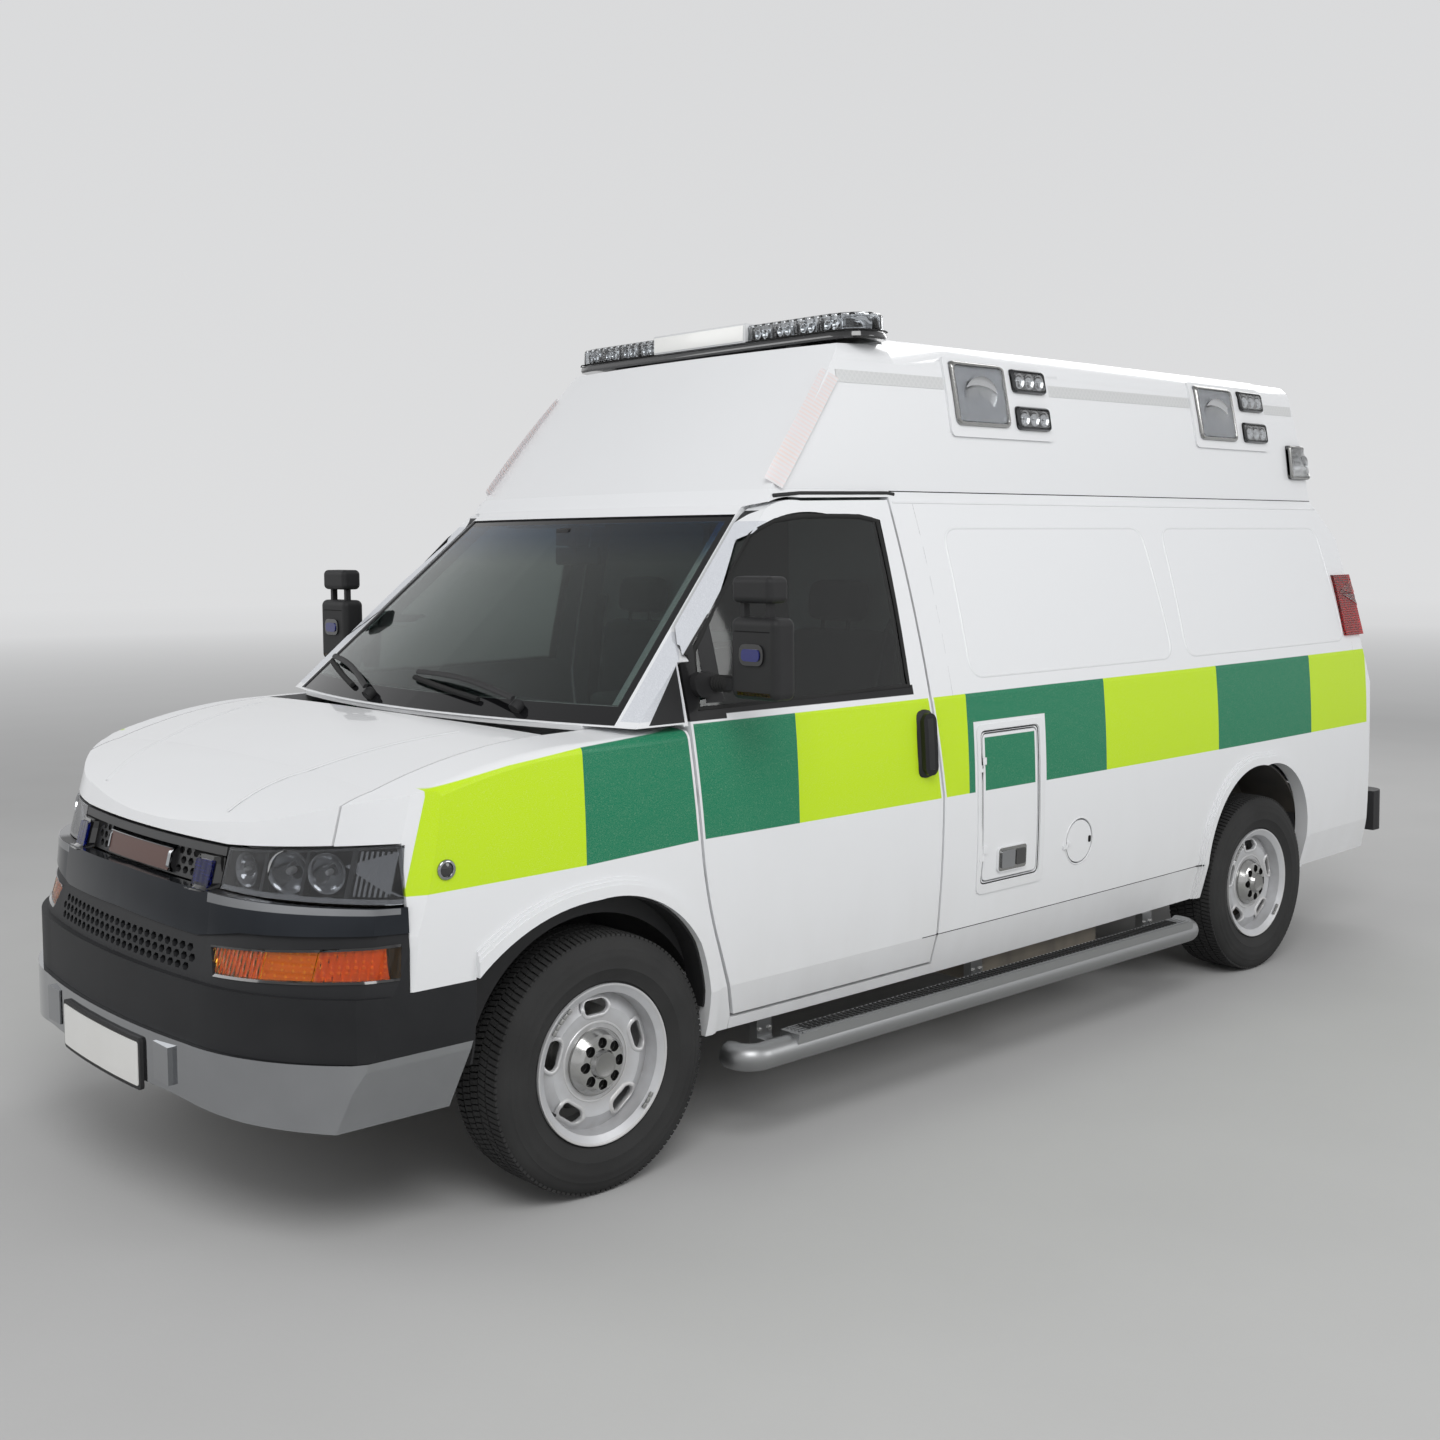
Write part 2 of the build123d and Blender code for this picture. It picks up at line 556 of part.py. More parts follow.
# Nose: lamps, upper grille, crossbar, cover with the lower mesh and amber lamps, and the bright bumper.
LAMP_IN = 470.0
LAMP_FOOT_Z = 922.0
nose_band = front_outer - front_form(70)
lamp_half = nose_band & back_prism(((LAMP_IN, LAMP_FOOT_Z), (1000.0, LAMP_FOOT_Z - 4), (1000.0, 1070.0),
                                    (LAMP_IN, 1030.0)),
                                   -1000, -604)
GRILLE = {"half": LAMP_IN - SEAT, "foot": 928.0, "head": 1028.0, "deep": 30.0}
MESH = {"wide": 30.0, "high": 19.0, "step_x": 38.0, "step_z": 24.0}


def mesh_cells(x0, x1, z0, z1, y0, y1):
    """Six-sided cells in staggered rows, drawn out along y."""
    w = MESH["wide"] / 2
    h = MESH["high"] / 2
    cell = back_prism(((-w, 0.0), (-w / 2, -h), (w / 2, -h), (w, 0.0), (w / 2, h), (-w / 2, h)), y0, y1)
    cells = []
    rows = int((z1 - z0) / MESH["step_z"])
    for row in range(rows):
        shift = (row % 2) * MESH["step_x"] / 2
        x = x0 + w + shift
        while x + w <= x1:
            cells.append(Pos(x, 0, z0 + (row + 0.5) * MESH["step_z"]) * cell)
            x += MESH["step_x"]
    return Compound(cells)


def nose_shell(front, thick, z0, z1, y_end, lean=0.0):
    """A band of the nose between two heights, out to the side and back to y_end."""
    solid = plan_prism(nose_outline(front), z0, z1, (0.0, lean))
    hollow = plan_prism(nose_outline(front + thick), z0 - 1, z1 + 1, (0.0, lean))
    shell_form = (side_form(0) & solid) - (side_form(thick) & hollow)
    return shell_form & block(-1, 1300, -1300, y_end, z0, z1)


grille_zone = back_prism(((-5.0, GRILLE["foot"]), (GRILLE["half"], LAMP_FOOT_Z + SEAT), (GRILLE["half"],
        GRILLE["head"]),
                          (-5.0, GRILLE["head"])), -1000, -604)
grille_half = (front_form(14) - front_form(14 + GRILLE["deep"])) & grille_zone
grille_half += (front_outer - front_form(14 + GRILLE["deep"])) & grille_zone & back_prism(
    ((-5.0, 1006.0), (GRILLE["half"], 1006.0), (GRILLE["half"], 1030.0), (-5.0, 1030.0)), -1000, -604)
grille_half -= mesh_cells(216, 352, 932, 1004, -1000, -700)
BLUE = {"x": 408.0, "z": 964.0, "wide": 88.0, "high": 78.0}
PLATE = {"half": 208.0, "z0": 934.0, "z1": 998.0}
blue_zone = Pos(BLUE["x"], -850, BLUE["z"]) * Box(BLUE["wide"], 300, BLUE["high"])
blue_lamp = (front_form(-8) - front_form(14 - SEAT)) & blue_zone
plate_zone = block(-5, PLATE["half"], -1000, -700, PLATE["z0"], PLATE["z1"])
grille_plate = (front_form(2) - front_form(15)) & plate_zone
BAR_FRONT = -938.0
BAR = ((-5.0, 814.0), (440.0, 806.0), (620.0, 836.0), (1000.0, 853.0), (1000.0, 916.0), (470.0, 921.7),
       (-5.0, 927.7))
bar_solid = nose_shell(BAR_FRONT, 34.0, 800.0, 930.0, -604.0, 0.12)
crossbar = bar_solid & back_prism(BAR, -1100, -500)

COVER = {"front": -985.0, "foot": 541.0, "shelf": COVER_SHELF_Z, "head": 852.7, "lean": 0.30, "thick": 36.0}
COVER_TOP = ((-5.0, 700.0), (1000.0, 700.0), (1000.0, 852.7), (620.0, 835.7), (440.0, 805.7), (-5.0, 813.7))
cover_low = nose_shell(COVER["front"], COVER["thick"], COVER["foot"], COVER["shelf"], -412.0 - SEAT)
cover_up = nose_shell(COVER["front"] + 20, COVER["thick"], COVER["shelf"], COVER["head"], -604.0,
                      COVER["lean"]) & back_prism(COVER_TOP, -1100, -500)
AMBER_VIEW = ((545.0, 722.0), (1000.0, 742.0), (1000.0, 826.0), (508.0, 790.0))
AMBER_LENS = ((545.4, 722.4), (1000.0, 742.4), (1000.0, 825.6), (508.4, 789.6))
AMBER_END_Y = -650.0
amber_cut = back_prism(AMBER_VIEW, -1100, AMBER_END_Y)
cover_half = cover_low + (cover_up - amber_cut)
cover_half -= mesh_cells(-MESH["wide"] / 2, 456, 712, 800, -1100, -700)
amber = (nose_shell(COVER["front"] + 24, 22.0, COVER["shelf"], COVER["head"], -604.0, COVER["lean"])
         & back_prism(AMBER_LENS, -1100, AMBER_END_Y - SEAT))
BUMPER = {"front": -1000.0, "thick": 34.0, "foot": 352.0}
bumper_band = nose_shell(BUMPER["front"], BUMPER["thick"], BUMPER["foot"], COVER["foot"] - SEAT, -400.0)
BUMPER_FRONT_VIEW = ((-5.0, 402.0), (420.0, 398.0), (700.0, 378.0), (1300.0, 352.0), (1300.0, 600.0),
                     (-5.0, 600.0))
BUMPER_SIDE_VIEW = ((-1200.0, 300.0), (-467.0, 352.0), (-415.0, 545.0), (-1200.0, 545.0))
bumper_half = bumper_band & back_prism(BUMPER_FRONT_VIEW, -1300, 0) & side_prism(BUMPER_SIDE_VIEW, -10,
        1300)
bumper_half += block(330, 420, -990, -740.3, 420, 520) & side_prism(((-1200.0, 400.0), (-700.0, 400.0),
        (-700.0, 530.0), (-1200.0, 530.0)), 0, 500)

# Black trim: cowl, wiper arms, quarters, front wheel housings and mud flaps.
COWL_DROP = 34.0
cowl_zone = plan_prism(
    ((-5.0, -176.0), ((410.0, -150.0), (802.0, -84.0)), (902.0, -60.0), (902.0, 92.0), ((451.0, -4.0),
            (-5.0, -37.0))),
    1100, 1500)
cowl_half = ((front_form(COWL_DROP) - front_form(COWL_DROP + 12)) & cowl_zone) - block(752, 1300, -200,
        10, 1100, 1400)
cowl_half += block(-1, 60, -50, -12, 1266, 1284 - SEAT)
HOUSING_X = 530.0
housing = lying(HOUSING_X, 908, 0, WHEEL_Z, TOE_R - SEAT) - lying(HOUSING_X + 6, 909, 0, WHEEL_Z, TOE_R - 6)
housing = housing & block(HOUSING_X, 908, -500, 500, 560, 900)
lip = (side_prism(front_arch_outline(-SEAT), 902, 1100) - side_prism(front_arch_outline(-7), 890,
        1110)) & side_form(8)
web = side_prism(front_arch_outline(-SEAT), 902, 908) - lying(890, 920, 0, WHEEL_Z, TOE_R - 6)
housing = (housing + (lip + web)) & block(HOUSING_X, 1100, -411.5, 400, 470, 900)
mud_flap = block(740, 876, 3856, 3862, 300, 619.5)

# Mirror on the door's front corner.
MIRROR = {"x0": 1076.0, "x1": 1262.0, "y0": 378.0, "y1": 462.0, "z0": 1372.0, "z1": 1600.0}


def softened(shape, radius):
    """A shape with its upright and front edges rounded."""
    return shape.fillet(radius, shape.edges())


mirror_half = softened(block(MIRROR["x0"], MIRROR["x1"], MIRROR["y0"], MIRROR["y1"], MIRROR["z0"],
                             MIRROR["z1"]), 22.0)
mirror_half += softened(block(MIRROR["x0"] + 6, MIRROR["x1"] - 22, MIRROR["y0"], MIRROR["y1"] - 6, 1640,
                              1714), 18.0)
mirror_half += block(MIRROR["x0"] + 24, MIRROR["x0"] + 40, 400, 420, 1590, 1650)
mirror_half += block(MIRROR["x1"] - 60, MIRROR["x1"] - 44, 400, 420, 1590, 1650)
mirror_half += block(960, MIRROR["x0"] + 12, 396, 428, 1392, 1424)
mirror_base = side_panel(385.0, 1404.0, 96.0, 70.0, 30, 900, 1000) & (side_form(-22.0) - side_form(-SEAT))
mirror_half = (mirror_half - side_form(-SEAT)) + mirror_base

# Lamps and light bar on the roof cap.
SCENE_LIGHTS = (
    # y, z, width, height, how far each stands off the cap
    (1882.0, 2320.0, 300.0, 225.0, 22.0),
    (2171.0, 2382.0, 196.0, 86.0, 26.0),
    (2171.0, 2247.0, 196.0, 86.0, 26.0),
    (3489.0, 2330.0, 300.0, 225.0, 22.0),
    (3800.0, 2396.0, 196.0, 86.0, 26.0),
    (3800.0, 2261.0, 196.0, 86.0, 26.0),
    (4178.0, 2144.0, 176.0, 150.0, 30.0),
)
side_lights = []
for y, z, wide, high, proud in SCENE_LIGHTS:
    side_lights.append((side_form(-proud) - side_form(-SEAT)) & side_panel(y, z, wide, high, 10, 500, 1100))
BAR_Z = 2472.0
LIGHT_BAR = ((0.0, 1217.0), (650.0, 1219.0), ((746.0, 1250.0), (768.0, 1330.0)),
             ((742.0, 1405.0), (650.0, 1430.0)), (0.0, 1430.0))
LIGHT_BAR_TOP = ((0.0, 1235.0), (640.0, 1237.0), ((727.0, 1262.0), (748.0, 1330.0)),
                 ((726.0, 1395.0), (640.0, 1416.0)), (0.0, 1416.0))
light_bar = (plan_prism(LIGHT_BAR, BAR_Z, 2500.0) + plan_prism(LIGHT_BAR_TOP, 2500.0, 2560.0)
             + block(-1, 251, 1222, 1428, 2500, 2566))
bar_feet = block(430, 500, 1235, 1410, 2440, BAR_Z) - (side_prism(
    ((700.0, 2425.0 + SEAT), (1437.0, 2468.0 + SEAT), (1437.0, 2300.0), (700.0, 2300.0)), -10, 1200))
light_bar += bar_feet

# Tail lamps on the rear corners and the rear bumper.
TAIL = {"x": 772.0, "z0": 1372.0, "z1": 1640.0, "y": BODY_REAR_Y - 300.0, "proud": 14.0}
tail_form = (side_form(-TAIL["proud"]) & rear_form(-TAIL["proud"])) - (side_form(-SEAT) & rear_form(-SEAT))
tail_half = tail_form & block(TAIL["x"], 1100, TAIL["y"], BODY_REAR_Y + 60, TAIL["z0"], TAIL["z1"])
REAR_BUMPER = ((0.0, 4565.3), (740.0, 4565.3), (745.0, 4572.0), (880.0, 4572.0), (880.0, 4600.0),
               ((855.0, 4672.0), (760.0, 4692.0)), (0.0, 4692.0))
rear_bumper_half = plan_prism(REAR_BUMPER, 455.0, 636.0) - plan_prism(
    ((-1.0, 4560.0), (700.0, 4560.0), (700.0, 4640.0), (-1.0, 4640.0)), 400.0, 600.0)

# Floor, frame rails, wheel housings and brackets.
RAIL_X = 400.0
RAIL_W = 60.0
RAIL_FOOT = 440.0
REAR_WELL_R = 492.0
REAR_WELL_X = 640.0
TOP_Z = 1000.0
floor_half = HALF_SPACE & plan_prism(((0.0, 290.0), (WELL_X, 290.0), (WELL_X, 445.0), (900.0, 445.0),
                                      (960.0, 560.0),
                                      (960.0, 4560.0), (0.0, 4560.0)), FLOOR_Z, FLOOR_TOP)
floor_half = floor_half & body_form(WALL + SEAT)
well_outer = lying(REAR_WELL_X, 1000, WHEELBASE, WHEEL_Z, REAR_WELL_R + 8)
well_inner = lying(REAR_WELL_X + 8, 1001, WHEELBASE, WHEEL_Z, REAR_WELL_R)
well = ((well_outer - well_inner) & block(0, 1300, 2800, 4100, FLOOR_Z, TOP_Z)) & side_form(WALL + SEAT)
floor_half = (floor_half - well_outer) + well
rail_half = block(RAIL_X, RAIL_X + RAIL_W, -700, 4500, RAIL_FOOT, FLOOR_Z)
cross_half = None
for y0, y1 in ((-740.0, -700.0), (-60.0, 60.0), (1500.0, 1560.0), (2560.0, 2620.0), (4300.0, 4360.0)):
    member = block(-1, RAIL_X + 1, y0, y1, RAIL_FOOT, FLOOR_Z - 20)
    cross_half = member if cross_half is None else cross_half + member
cross_half += block(RAIL_X, RAIL_X + RAIL_W, -740, -700, RAIL_FOOT, FLOOR_Z)
for y, out_x in ((700.0, 880.0), (1500.0, 880.0), (2560.0, 880.0), (4200.0, 790.0)):
    cross_half += block(RAIL_X + RAIL_W, out_x, y, y + 50, 480, FLOOR_Z)
cross_half += block(RAIL_X, RAIL_X + RAIL_W, 4499, 4524.7, 480, 560)
floor_frame = whole(floor_half + rail_half + cross_half)

# Wheels: rim with five oval holes and a lobed cap, and the tyre.
BEAD = RIM_HALF_W - SEAT
TYRE_PROFILE = ((RIM_R, -BEAD), (RIM_LIP_R + 4.0, -BEAD), (292.0, -TYRE_HALF_W), (340.0, -104.0), (TYRE_R,
        -84.0),
                (TYRE_R, 84.0), (340.0, 104.0), (292.0, TYRE_HALF_W), (RIM_LIP_R + 4.0, BEAD), (RIM_R,
                        BEAD))
RIM_PROFILE = ((HUB_BORE_R + RUN_FIT, 30.0), (HUB_BORE_R + RUN_FIT, 58.0), (96.0, 58.0), (150.0, 66.0),
               (190.0, 44.0),
               (RIM_R - 10, 88.0), (RIM_LIP_R - 4, 100.0), (RIM_LIP_R, 100.0), (RIM_LIP_R, RIM_HALF_W),
               (RIM_R - SEAT, RIM_HALF_W), (RIM_R - SEAT, -RIM_HALF_W), (RIM_LIP_R,
                       -RIM_HALF_W), (RIM_LIP_R, -98.0),
               (RIM_R - 10, -86.0), (RIM_R - 14, 26.0), (150.0, 52.0), (96.0, 42.0), (75.0, 30.0))
HOLES = {"count": 5, "at_r": 152.0, "long": 88.0, "wide": 46.0}
CAP = {"foot_r": 92.0, "foot_x": 58.0, "ring_r": 78.0, "top_x": 92.0, "lobes": 8, "lobe_r": 15.0,
       "lobe_at": 58.0,
       "eye_r": 36.0, "eye_x": 104.0}


def wheel_turned(points):
    """A wheel section turned about the x axis; the first number is the radius, the second the way out."""
    steps = [(p[1], p[0]) for p in points]
    return revolve(outline(Plane.XY, *steps), axis=Axis.X, revolution_arc=360)


tyre = wheel_turned(TYRE_PROFILE)
rim = wheel_turned(RIM_PROFILE)
hole = Pos(0, 0, HOLES["at_r"]) * Rot(0, 90, 0) * extrude(SlotOverall(HOLES["long"], HOLES["wide"],
        rotation=90), 200, both=True)
for i in range(HOLES["count"]):
    rim -= Rot(360 / HOLES["count"] * i, 0, 0) * hole
cap_profile = ((0.0, CAP["foot_x"]), (CAP["foot_r"], CAP["foot_x"]), (CAP["foot_r"], CAP["foot_x"] + 8),
               (CAP["ring_r"], CAP["top_x"] - 8),
               (CAP["ring_r"] - 10, CAP["top_x"]), (CAP["eye_r"] + 6, CAP["top_x"]), (CAP["eye_r"],
                       CAP["eye_x"]), (0.0, CAP["eye_x"]))
wheel_cap = wheel_turned(cap_profile)
for i in range(CAP["lobes"]):
    pocket = Rot(360 / CAP["lobes"] * i, 0, 0) * Pos(0, 0, CAP["lobe_at"]) * Rot(0, 90,
            0) * Cylinder(CAP["lobe_r"], 60)
    wheel_cap -= Pos(CAP["top_x"] + 12, 0, 0) * pocket
rim += wheel_cap


def placed(shape, side, half_track, y):
    """A left wheel part at its place, or its mirror image on the right."""
    at_place = Pos(half_track, y, WHEEL_Z) * shape
    return at_place if side > 0 else mirrored(at_place)


# Knuckles, arms and axles.
KINGPIN_X = FRONT_HALF_TRACK - 50.0
PIN_R = 14.0
EYE_R = 26.0
EYE_H = 30.0
EYE_Z = 100.0
RAIL_OUT = RAIL_X + RAIL_W
knuckle = (upright(KINGPIN_X, 0, WHEEL_Z - EYE_Z + EYE_H / 2 + 6, WHEEL_Z + EYE_Z - EYE_H / 2 - 6, 34)
           + upright(KINGPIN_X, 0, WHEEL_Z - EYE_Z - EYE_H / 2 - 10, WHEEL_Z + EYE_Z + EYE_H / 2 + 10,
                     PIN_R)
           + lying(KINGPIN_X, FRONT_HALF_TRACK + 56, 0, WHEEL_Z, HUB_BORE_R)
           + lying(KINGPIN_X, FRONT_HALF_TRACK + 24, 0, WHEEL_Z, 60))
arms_half = None
for z, x0, half_w in ((WHEEL_Z - EYE_Z, 330.0, 25.0), (WHEEL_Z + EYE_Z, RAIL_OUT, 22.0)):
    one = (upright(KINGPIN_X, 0, z - EYE_H / 2, z + EYE_H / 2, EYE_R)
           + plan_prism(((x0, -90.0), (KINGPIN_X - 12, -half_w), (KINGPIN_X - 12, half_w), (x0, 90.0),
                         (x0, 50.0),
                         (x0 + 200.0, 0.0), (x0, -50.0)), z - 11, z + 11))
    arms_half = one if arms_half is None else arms_half + one
arms_half -= upright(KINGPIN_X, 0, 200, 560, PIN_R + RUN_FIT)
front_axle = whole(arms_half + block(-1, 340, -95, 95, 250, RAIL_FOOT))
rear_axle = (lying(-REAR_HALF_TRACK + 40, REAR_HALF_TRACK - 40, WHEELBASE, WHEEL_Z, 45)
             + lying(-REAR_HALF_TRACK - 56, REAR_HALF_TRACK + 56, WHEELBASE, WHEEL_Z, HUB_BORE_R)
             + lengthwise(0, WHEELBASE - 130, WHEELBASE + 110, WHEEL_Z, 140))
SPRING = {"x0": 402.0, "x1": 458.0, "y0": 2720.0, "y1": 4140.0, "low": 330.0, "high": 404.0}
spring_side = ((SPRING["y0"], SPRING["high"]), ((WHEELBASE, SPRING["low"] - 24.0), (SPRING["y1"],
        SPRING["high"])), (SPRING["y1"], SPRING["high"] + 20),
               ((WHEELBASE, SPRING["low"]), (SPRING["y0"], SPRING["high"] + 20)))
spring = (side_prism(spring_side, SPRING["x0"], SPRING["x1"]) + block(SPRING["x0"], SPRING["x1"],
        SPRING["y0"], SPRING["y0"] + 40, SPRING["high"], RAIL_FOOT)
          + block(SPRING["x0"], SPRING["x1"], SPRING["y1"] - 40, SPRING["y1"], SPRING["high"], RAIL_FOOT)
          + block(SPRING["x0"], SPRING["x1"], WHEELBASE - 60, WHEELBASE + 60, SPRING["low"] - 20, WHEEL_Z))
rear_axle = rear_axle + spring + mirrored(spring)

# Engine and gearbox as plain blocks, propeller shaft, tank and exhaust.
engine = block(-290, 290, -560, 140, 565, 1060) + block(-RAIL_OUT, RAIL_OUT, -230, -150, FLOOR_Z, 600)
gearbox = block(-150, 150, 96, 700, 400, FLOOR_Z - 1) + block(-150, 150, 96, 285, 400, 580)
shaft = lengthwise(0, 699, 3299, 400, 40)
driveline = engine + gearbox + shaft
tank = block(RAIL_OUT + SEAT, 880, 1640, 2400, 300, 478)
muffler = lengthwise(-620, 1700, 2300, 400, 78)
exhaust = muffler + lengthwise(-620, 760, 1701, 400, 28) + lengthwise(-620, 2299, 2960, 400, 28)
for y in (1500.0, 2560.0):
    exhaust += block(-630, -610, y + 10, y + 40, 400, 480)

# Cab and load space fittings.
DASH = ((330.3, 905.0), (330.3, 1232.0), (470.0, 1268.0), ((600.0, 1262.0), (650.0, 1210.0)),
        (640.0, 1120.0), (560.0, 905.0))
dash_half = side_prism(DASH, -1, 860)
WHEEL_AT = (470.0, 770.0, 1170.0)
HAND_R = 190.0
hand_ring = revolve(Pos(HAND_R, 0, 0) * Rot(90, 0, 0) * RegularPolygon(14, 6), axis=Axis.Z,
                    revolution_arc=360)
hand_wheel = hand_ring + Cylinder(48, 22) + Box(2 * HAND_R, 40, 12) + Pos(0, -HAND_R / 2, 0) * Box(36,
        HAND_R, 12)
hand_wheel += Pos(0, 0, -110) * Cylinder(28, 220)
dashboard = whole(dash_half) + Pos(*WHEEL_AT) * Rot(-58, 0, 0) * hand_wheel
SEAT_SIDE = ((870.0, 600.3), (870.0, 780.0), ((885.0, 880.0), (960.0, 900.0)), (1240.0, 860.0), (1330.0,
        1480.0),
             ((1350.0, 1530.0), (1395.0, 1510.0)), (1400.0, 1240.0), (1370.0, 800.0), (1370.0, 600.3))
seat = side_prism(SEAT_SIDE, 300, 760) + side_prism(
    ((1345.0, 1500.0), (1340.0, 1640.0), ((1370.0, 1680.0), (1410.0, 1650.0)), (1410.0, 1500.0)), 420, 640)
PARTITION_Y = 1436.0
room = body_form(WALL + SEAT)
partition_half = (block(-1, 1000, PARTITION_Y, PARTITION_Y + 30, FLOOR_TOP + SEAT, 2480) & room) - block(
    -5, 230, PARTITION_Y - 5, PARTITION_Y + 40, 640, 1980)
cabinet = block(520, 1000, PARTITION_Y + 29, 2900, FLOOR_TOP + SEAT, 1120) & room
fitout = whole(partition_half) + cabinet + block(-240, 240, 2000, 3900, FLOOR_TOP + SEAT, 780)

# Running boards: a tube bent in at both ends, a ribbed tread and three brackets.
TUBE = {"x": 1042.0, "z": 311.0, "r": 40.0, "bend": 58.0, "y0": 530.0, "y1": 2752.0, "in_x": 960.0}
bend_x = TUBE["x"] - TUBE["bend"]
path = Line((TUBE["in_x"], TUBE["y0"] - TUBE["bend"]), (bend_x, TUBE["y0"] - TUBE["bend"]))
path += ThreePointArc((bend_x, TUBE["y0"] - TUBE["bend"]), (bend_x + TUBE["bend"] * math.sin(math.pi / 4),
                      TUBE["y0"] - TUBE["bend"] * math.cos(math.pi / 4)), (TUBE["x"], TUBE["y0"]))
path += Line((TUBE["x"], TUBE["y0"]), (TUBE["x"], TUBE["y1"]))
path += ThreePointArc((TUBE["x"], TUBE["y1"]), (bend_x + TUBE["bend"] * math.sin(math.pi / 4),
                      TUBE["y1"] + TUBE["bend"] * math.cos(math.pi / 4)), (bend_x, TUBE["y1"]
                              + TUBE["bend"]))
path += Line((bend_x, TUBE["y1"] + TUBE["bend"]), (TUBE["in_x"], TUBE["y1"] + TUBE["bend"]))
board = Pos(0, 0, TUBE["z"]) * sweep(Plane(origin=path @ 0, z_dir=path % 0) * Circle(TUBE["r"]), path=path)
board += block(1002, 1082, 640, 2740, TUBE["z"] + 20, TUBE["z"] + 48)
for i in range(5):
    board += block(1008 + 16 * i, 1014 + 16 * i, 660, 2720, TUBE["z"] + 47, TUBE["z"] + 52)
for y in (640.0, 1640.0, 2660.0):
    board += block(900, TUBE["x"], y - 30, y + 30, TUBE["z"] - 12, TUBE["z"] + 12) + block(
        900, 932, y - 30, y + 30, TUBE["z"], SILL_Z - SEAT)

nodes = {
    "floor_frame": floor_frame,
    "side_left": largest(side_left),
    "side_right": mirrored(largest(side_right_half)),
    "sliding_door": mirrored(slider),
    "cab_frame": whole(cab_half),
    "roof_cap": whole(cap_half),
    "fenders": both(fender_half),
    "windscreen": whole(windscreen_half),
    "grille": group(whole(grille_half), whole(crossbar), whole(grille_plate)),
    "front_lamps": both(group(lamp_half, amber, blue_lamp)),
    "bumper_cover": whole(cover_half),
    "front_bumper": whole(bumper_half),
    "rear_bumper": whole(rear_bumper_half),
    "hood": hood,
    "door_left": door_half,
    "door_right": mirrored(door_half),
    "door_left_glass": door_glass,
    "door_right_glass": mirrored(door_glass),
    "rear_door_left": rear_leaf,
    "rear_door_right": mirrored(rear_leaf),
    "rear_glass_left": rear_pane,
    "rear_glass_right": mirrored(rear_pane),
    "locker_door": locker_door,
    "fuel_flap": fuel_flap,
    "suspension": group(front_axle, rear_axle),
    "knuckle_left": knuckle,
    "knuckle_right": mirrored(knuckle),
    "driveline": group(driveline, tank, exhaust),
    "dashboard": dashboard,
    "seats": both(seat),
    "fitout": fitout,
    "warning_lights": group(whole(light_bar), *[both(s) for s in side_lights]),
    "tail_lamps": both(tail_half),
    "black_trim": group(whole(cowl_half), both(quarter), both(housing), both(mud_flap)),
    "mirror_left": mirror_half,
    "mirror_right": mirrored(mirror_half),
    "running_boards": both(board),
}
CORNERS = (
    ("front_left", 1, FRONT_HALF_TRACK, 0),
    ("front_right", -1, FRONT_HALF_TRACK, 0),
    ("rear_left", 1, REAR_HALF_TRACK, WHEELBASE),
    ("rear_right", -1, REAR_HALF_TRACK, WHEELBASE),
)
for name, side, track, y in CORNERS:
    nodes["wheel_" + name] = placed(rim, side, track, y)
    nodes["tyre_" + name] = placed(tyre, side, track, y)

for name, shape in nodes.items():
    save(name, shape)
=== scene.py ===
"""High-roof van ambulance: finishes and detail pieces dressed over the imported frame.

Metres, +X to the vehicle's left, +Y to its rear, +Z up; it faces -Y.
"""

import logging
import math
from dataclasses import dataclass
from enum import Enum
from typing import Iterable, Sequence

import bmesh
import bpy
from mathutils import Matrix, Vector
from mathutils.bvhtree import BVHTree


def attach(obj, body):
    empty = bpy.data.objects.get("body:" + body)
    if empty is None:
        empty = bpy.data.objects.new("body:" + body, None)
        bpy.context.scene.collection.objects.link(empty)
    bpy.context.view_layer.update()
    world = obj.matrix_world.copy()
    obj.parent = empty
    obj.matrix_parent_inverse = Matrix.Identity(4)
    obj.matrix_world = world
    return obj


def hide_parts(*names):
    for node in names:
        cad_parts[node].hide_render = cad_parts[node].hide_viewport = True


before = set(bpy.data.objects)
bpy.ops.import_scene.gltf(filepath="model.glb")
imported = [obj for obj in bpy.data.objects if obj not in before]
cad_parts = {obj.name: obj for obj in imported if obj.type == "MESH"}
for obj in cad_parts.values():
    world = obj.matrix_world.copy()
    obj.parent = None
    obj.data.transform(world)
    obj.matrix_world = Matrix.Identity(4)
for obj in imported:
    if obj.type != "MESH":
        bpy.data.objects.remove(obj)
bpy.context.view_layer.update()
log = logging.getLogger("ambulance")

AXLE_Y = -1.846
REAR_AXLE_Y = 1.583
GROUND = 0.027
MM = 1000  # drawing millimetres in one metre
WHEEL_Z = 0.360

AHEAD, BEHIND = -4, 6  # where rays at the front and the rear start, clear of the vehicle
ORIGIN = Matrix.Identity(4)

Colour = tuple[float, float, float]
Pair = tuple[float, float]
Mesh = bmesh.types.BMesh
Piece = bpy.types.Object
Material = bpy.types.Material
Socket = bpy.types.NodeSocket
Point = tuple[float, float, float]


def y_of(y: float) -> float:
    """Frame y in metres of a distance in millimetres behind the front axle."""
    return AXLE_Y + y / MM


def z_of(z: float) -> float:
    """Frame z in metres of a drawing height in millimetres."""
    return z / MM - GROUND


# ---------------------------------------------------------------- finishes


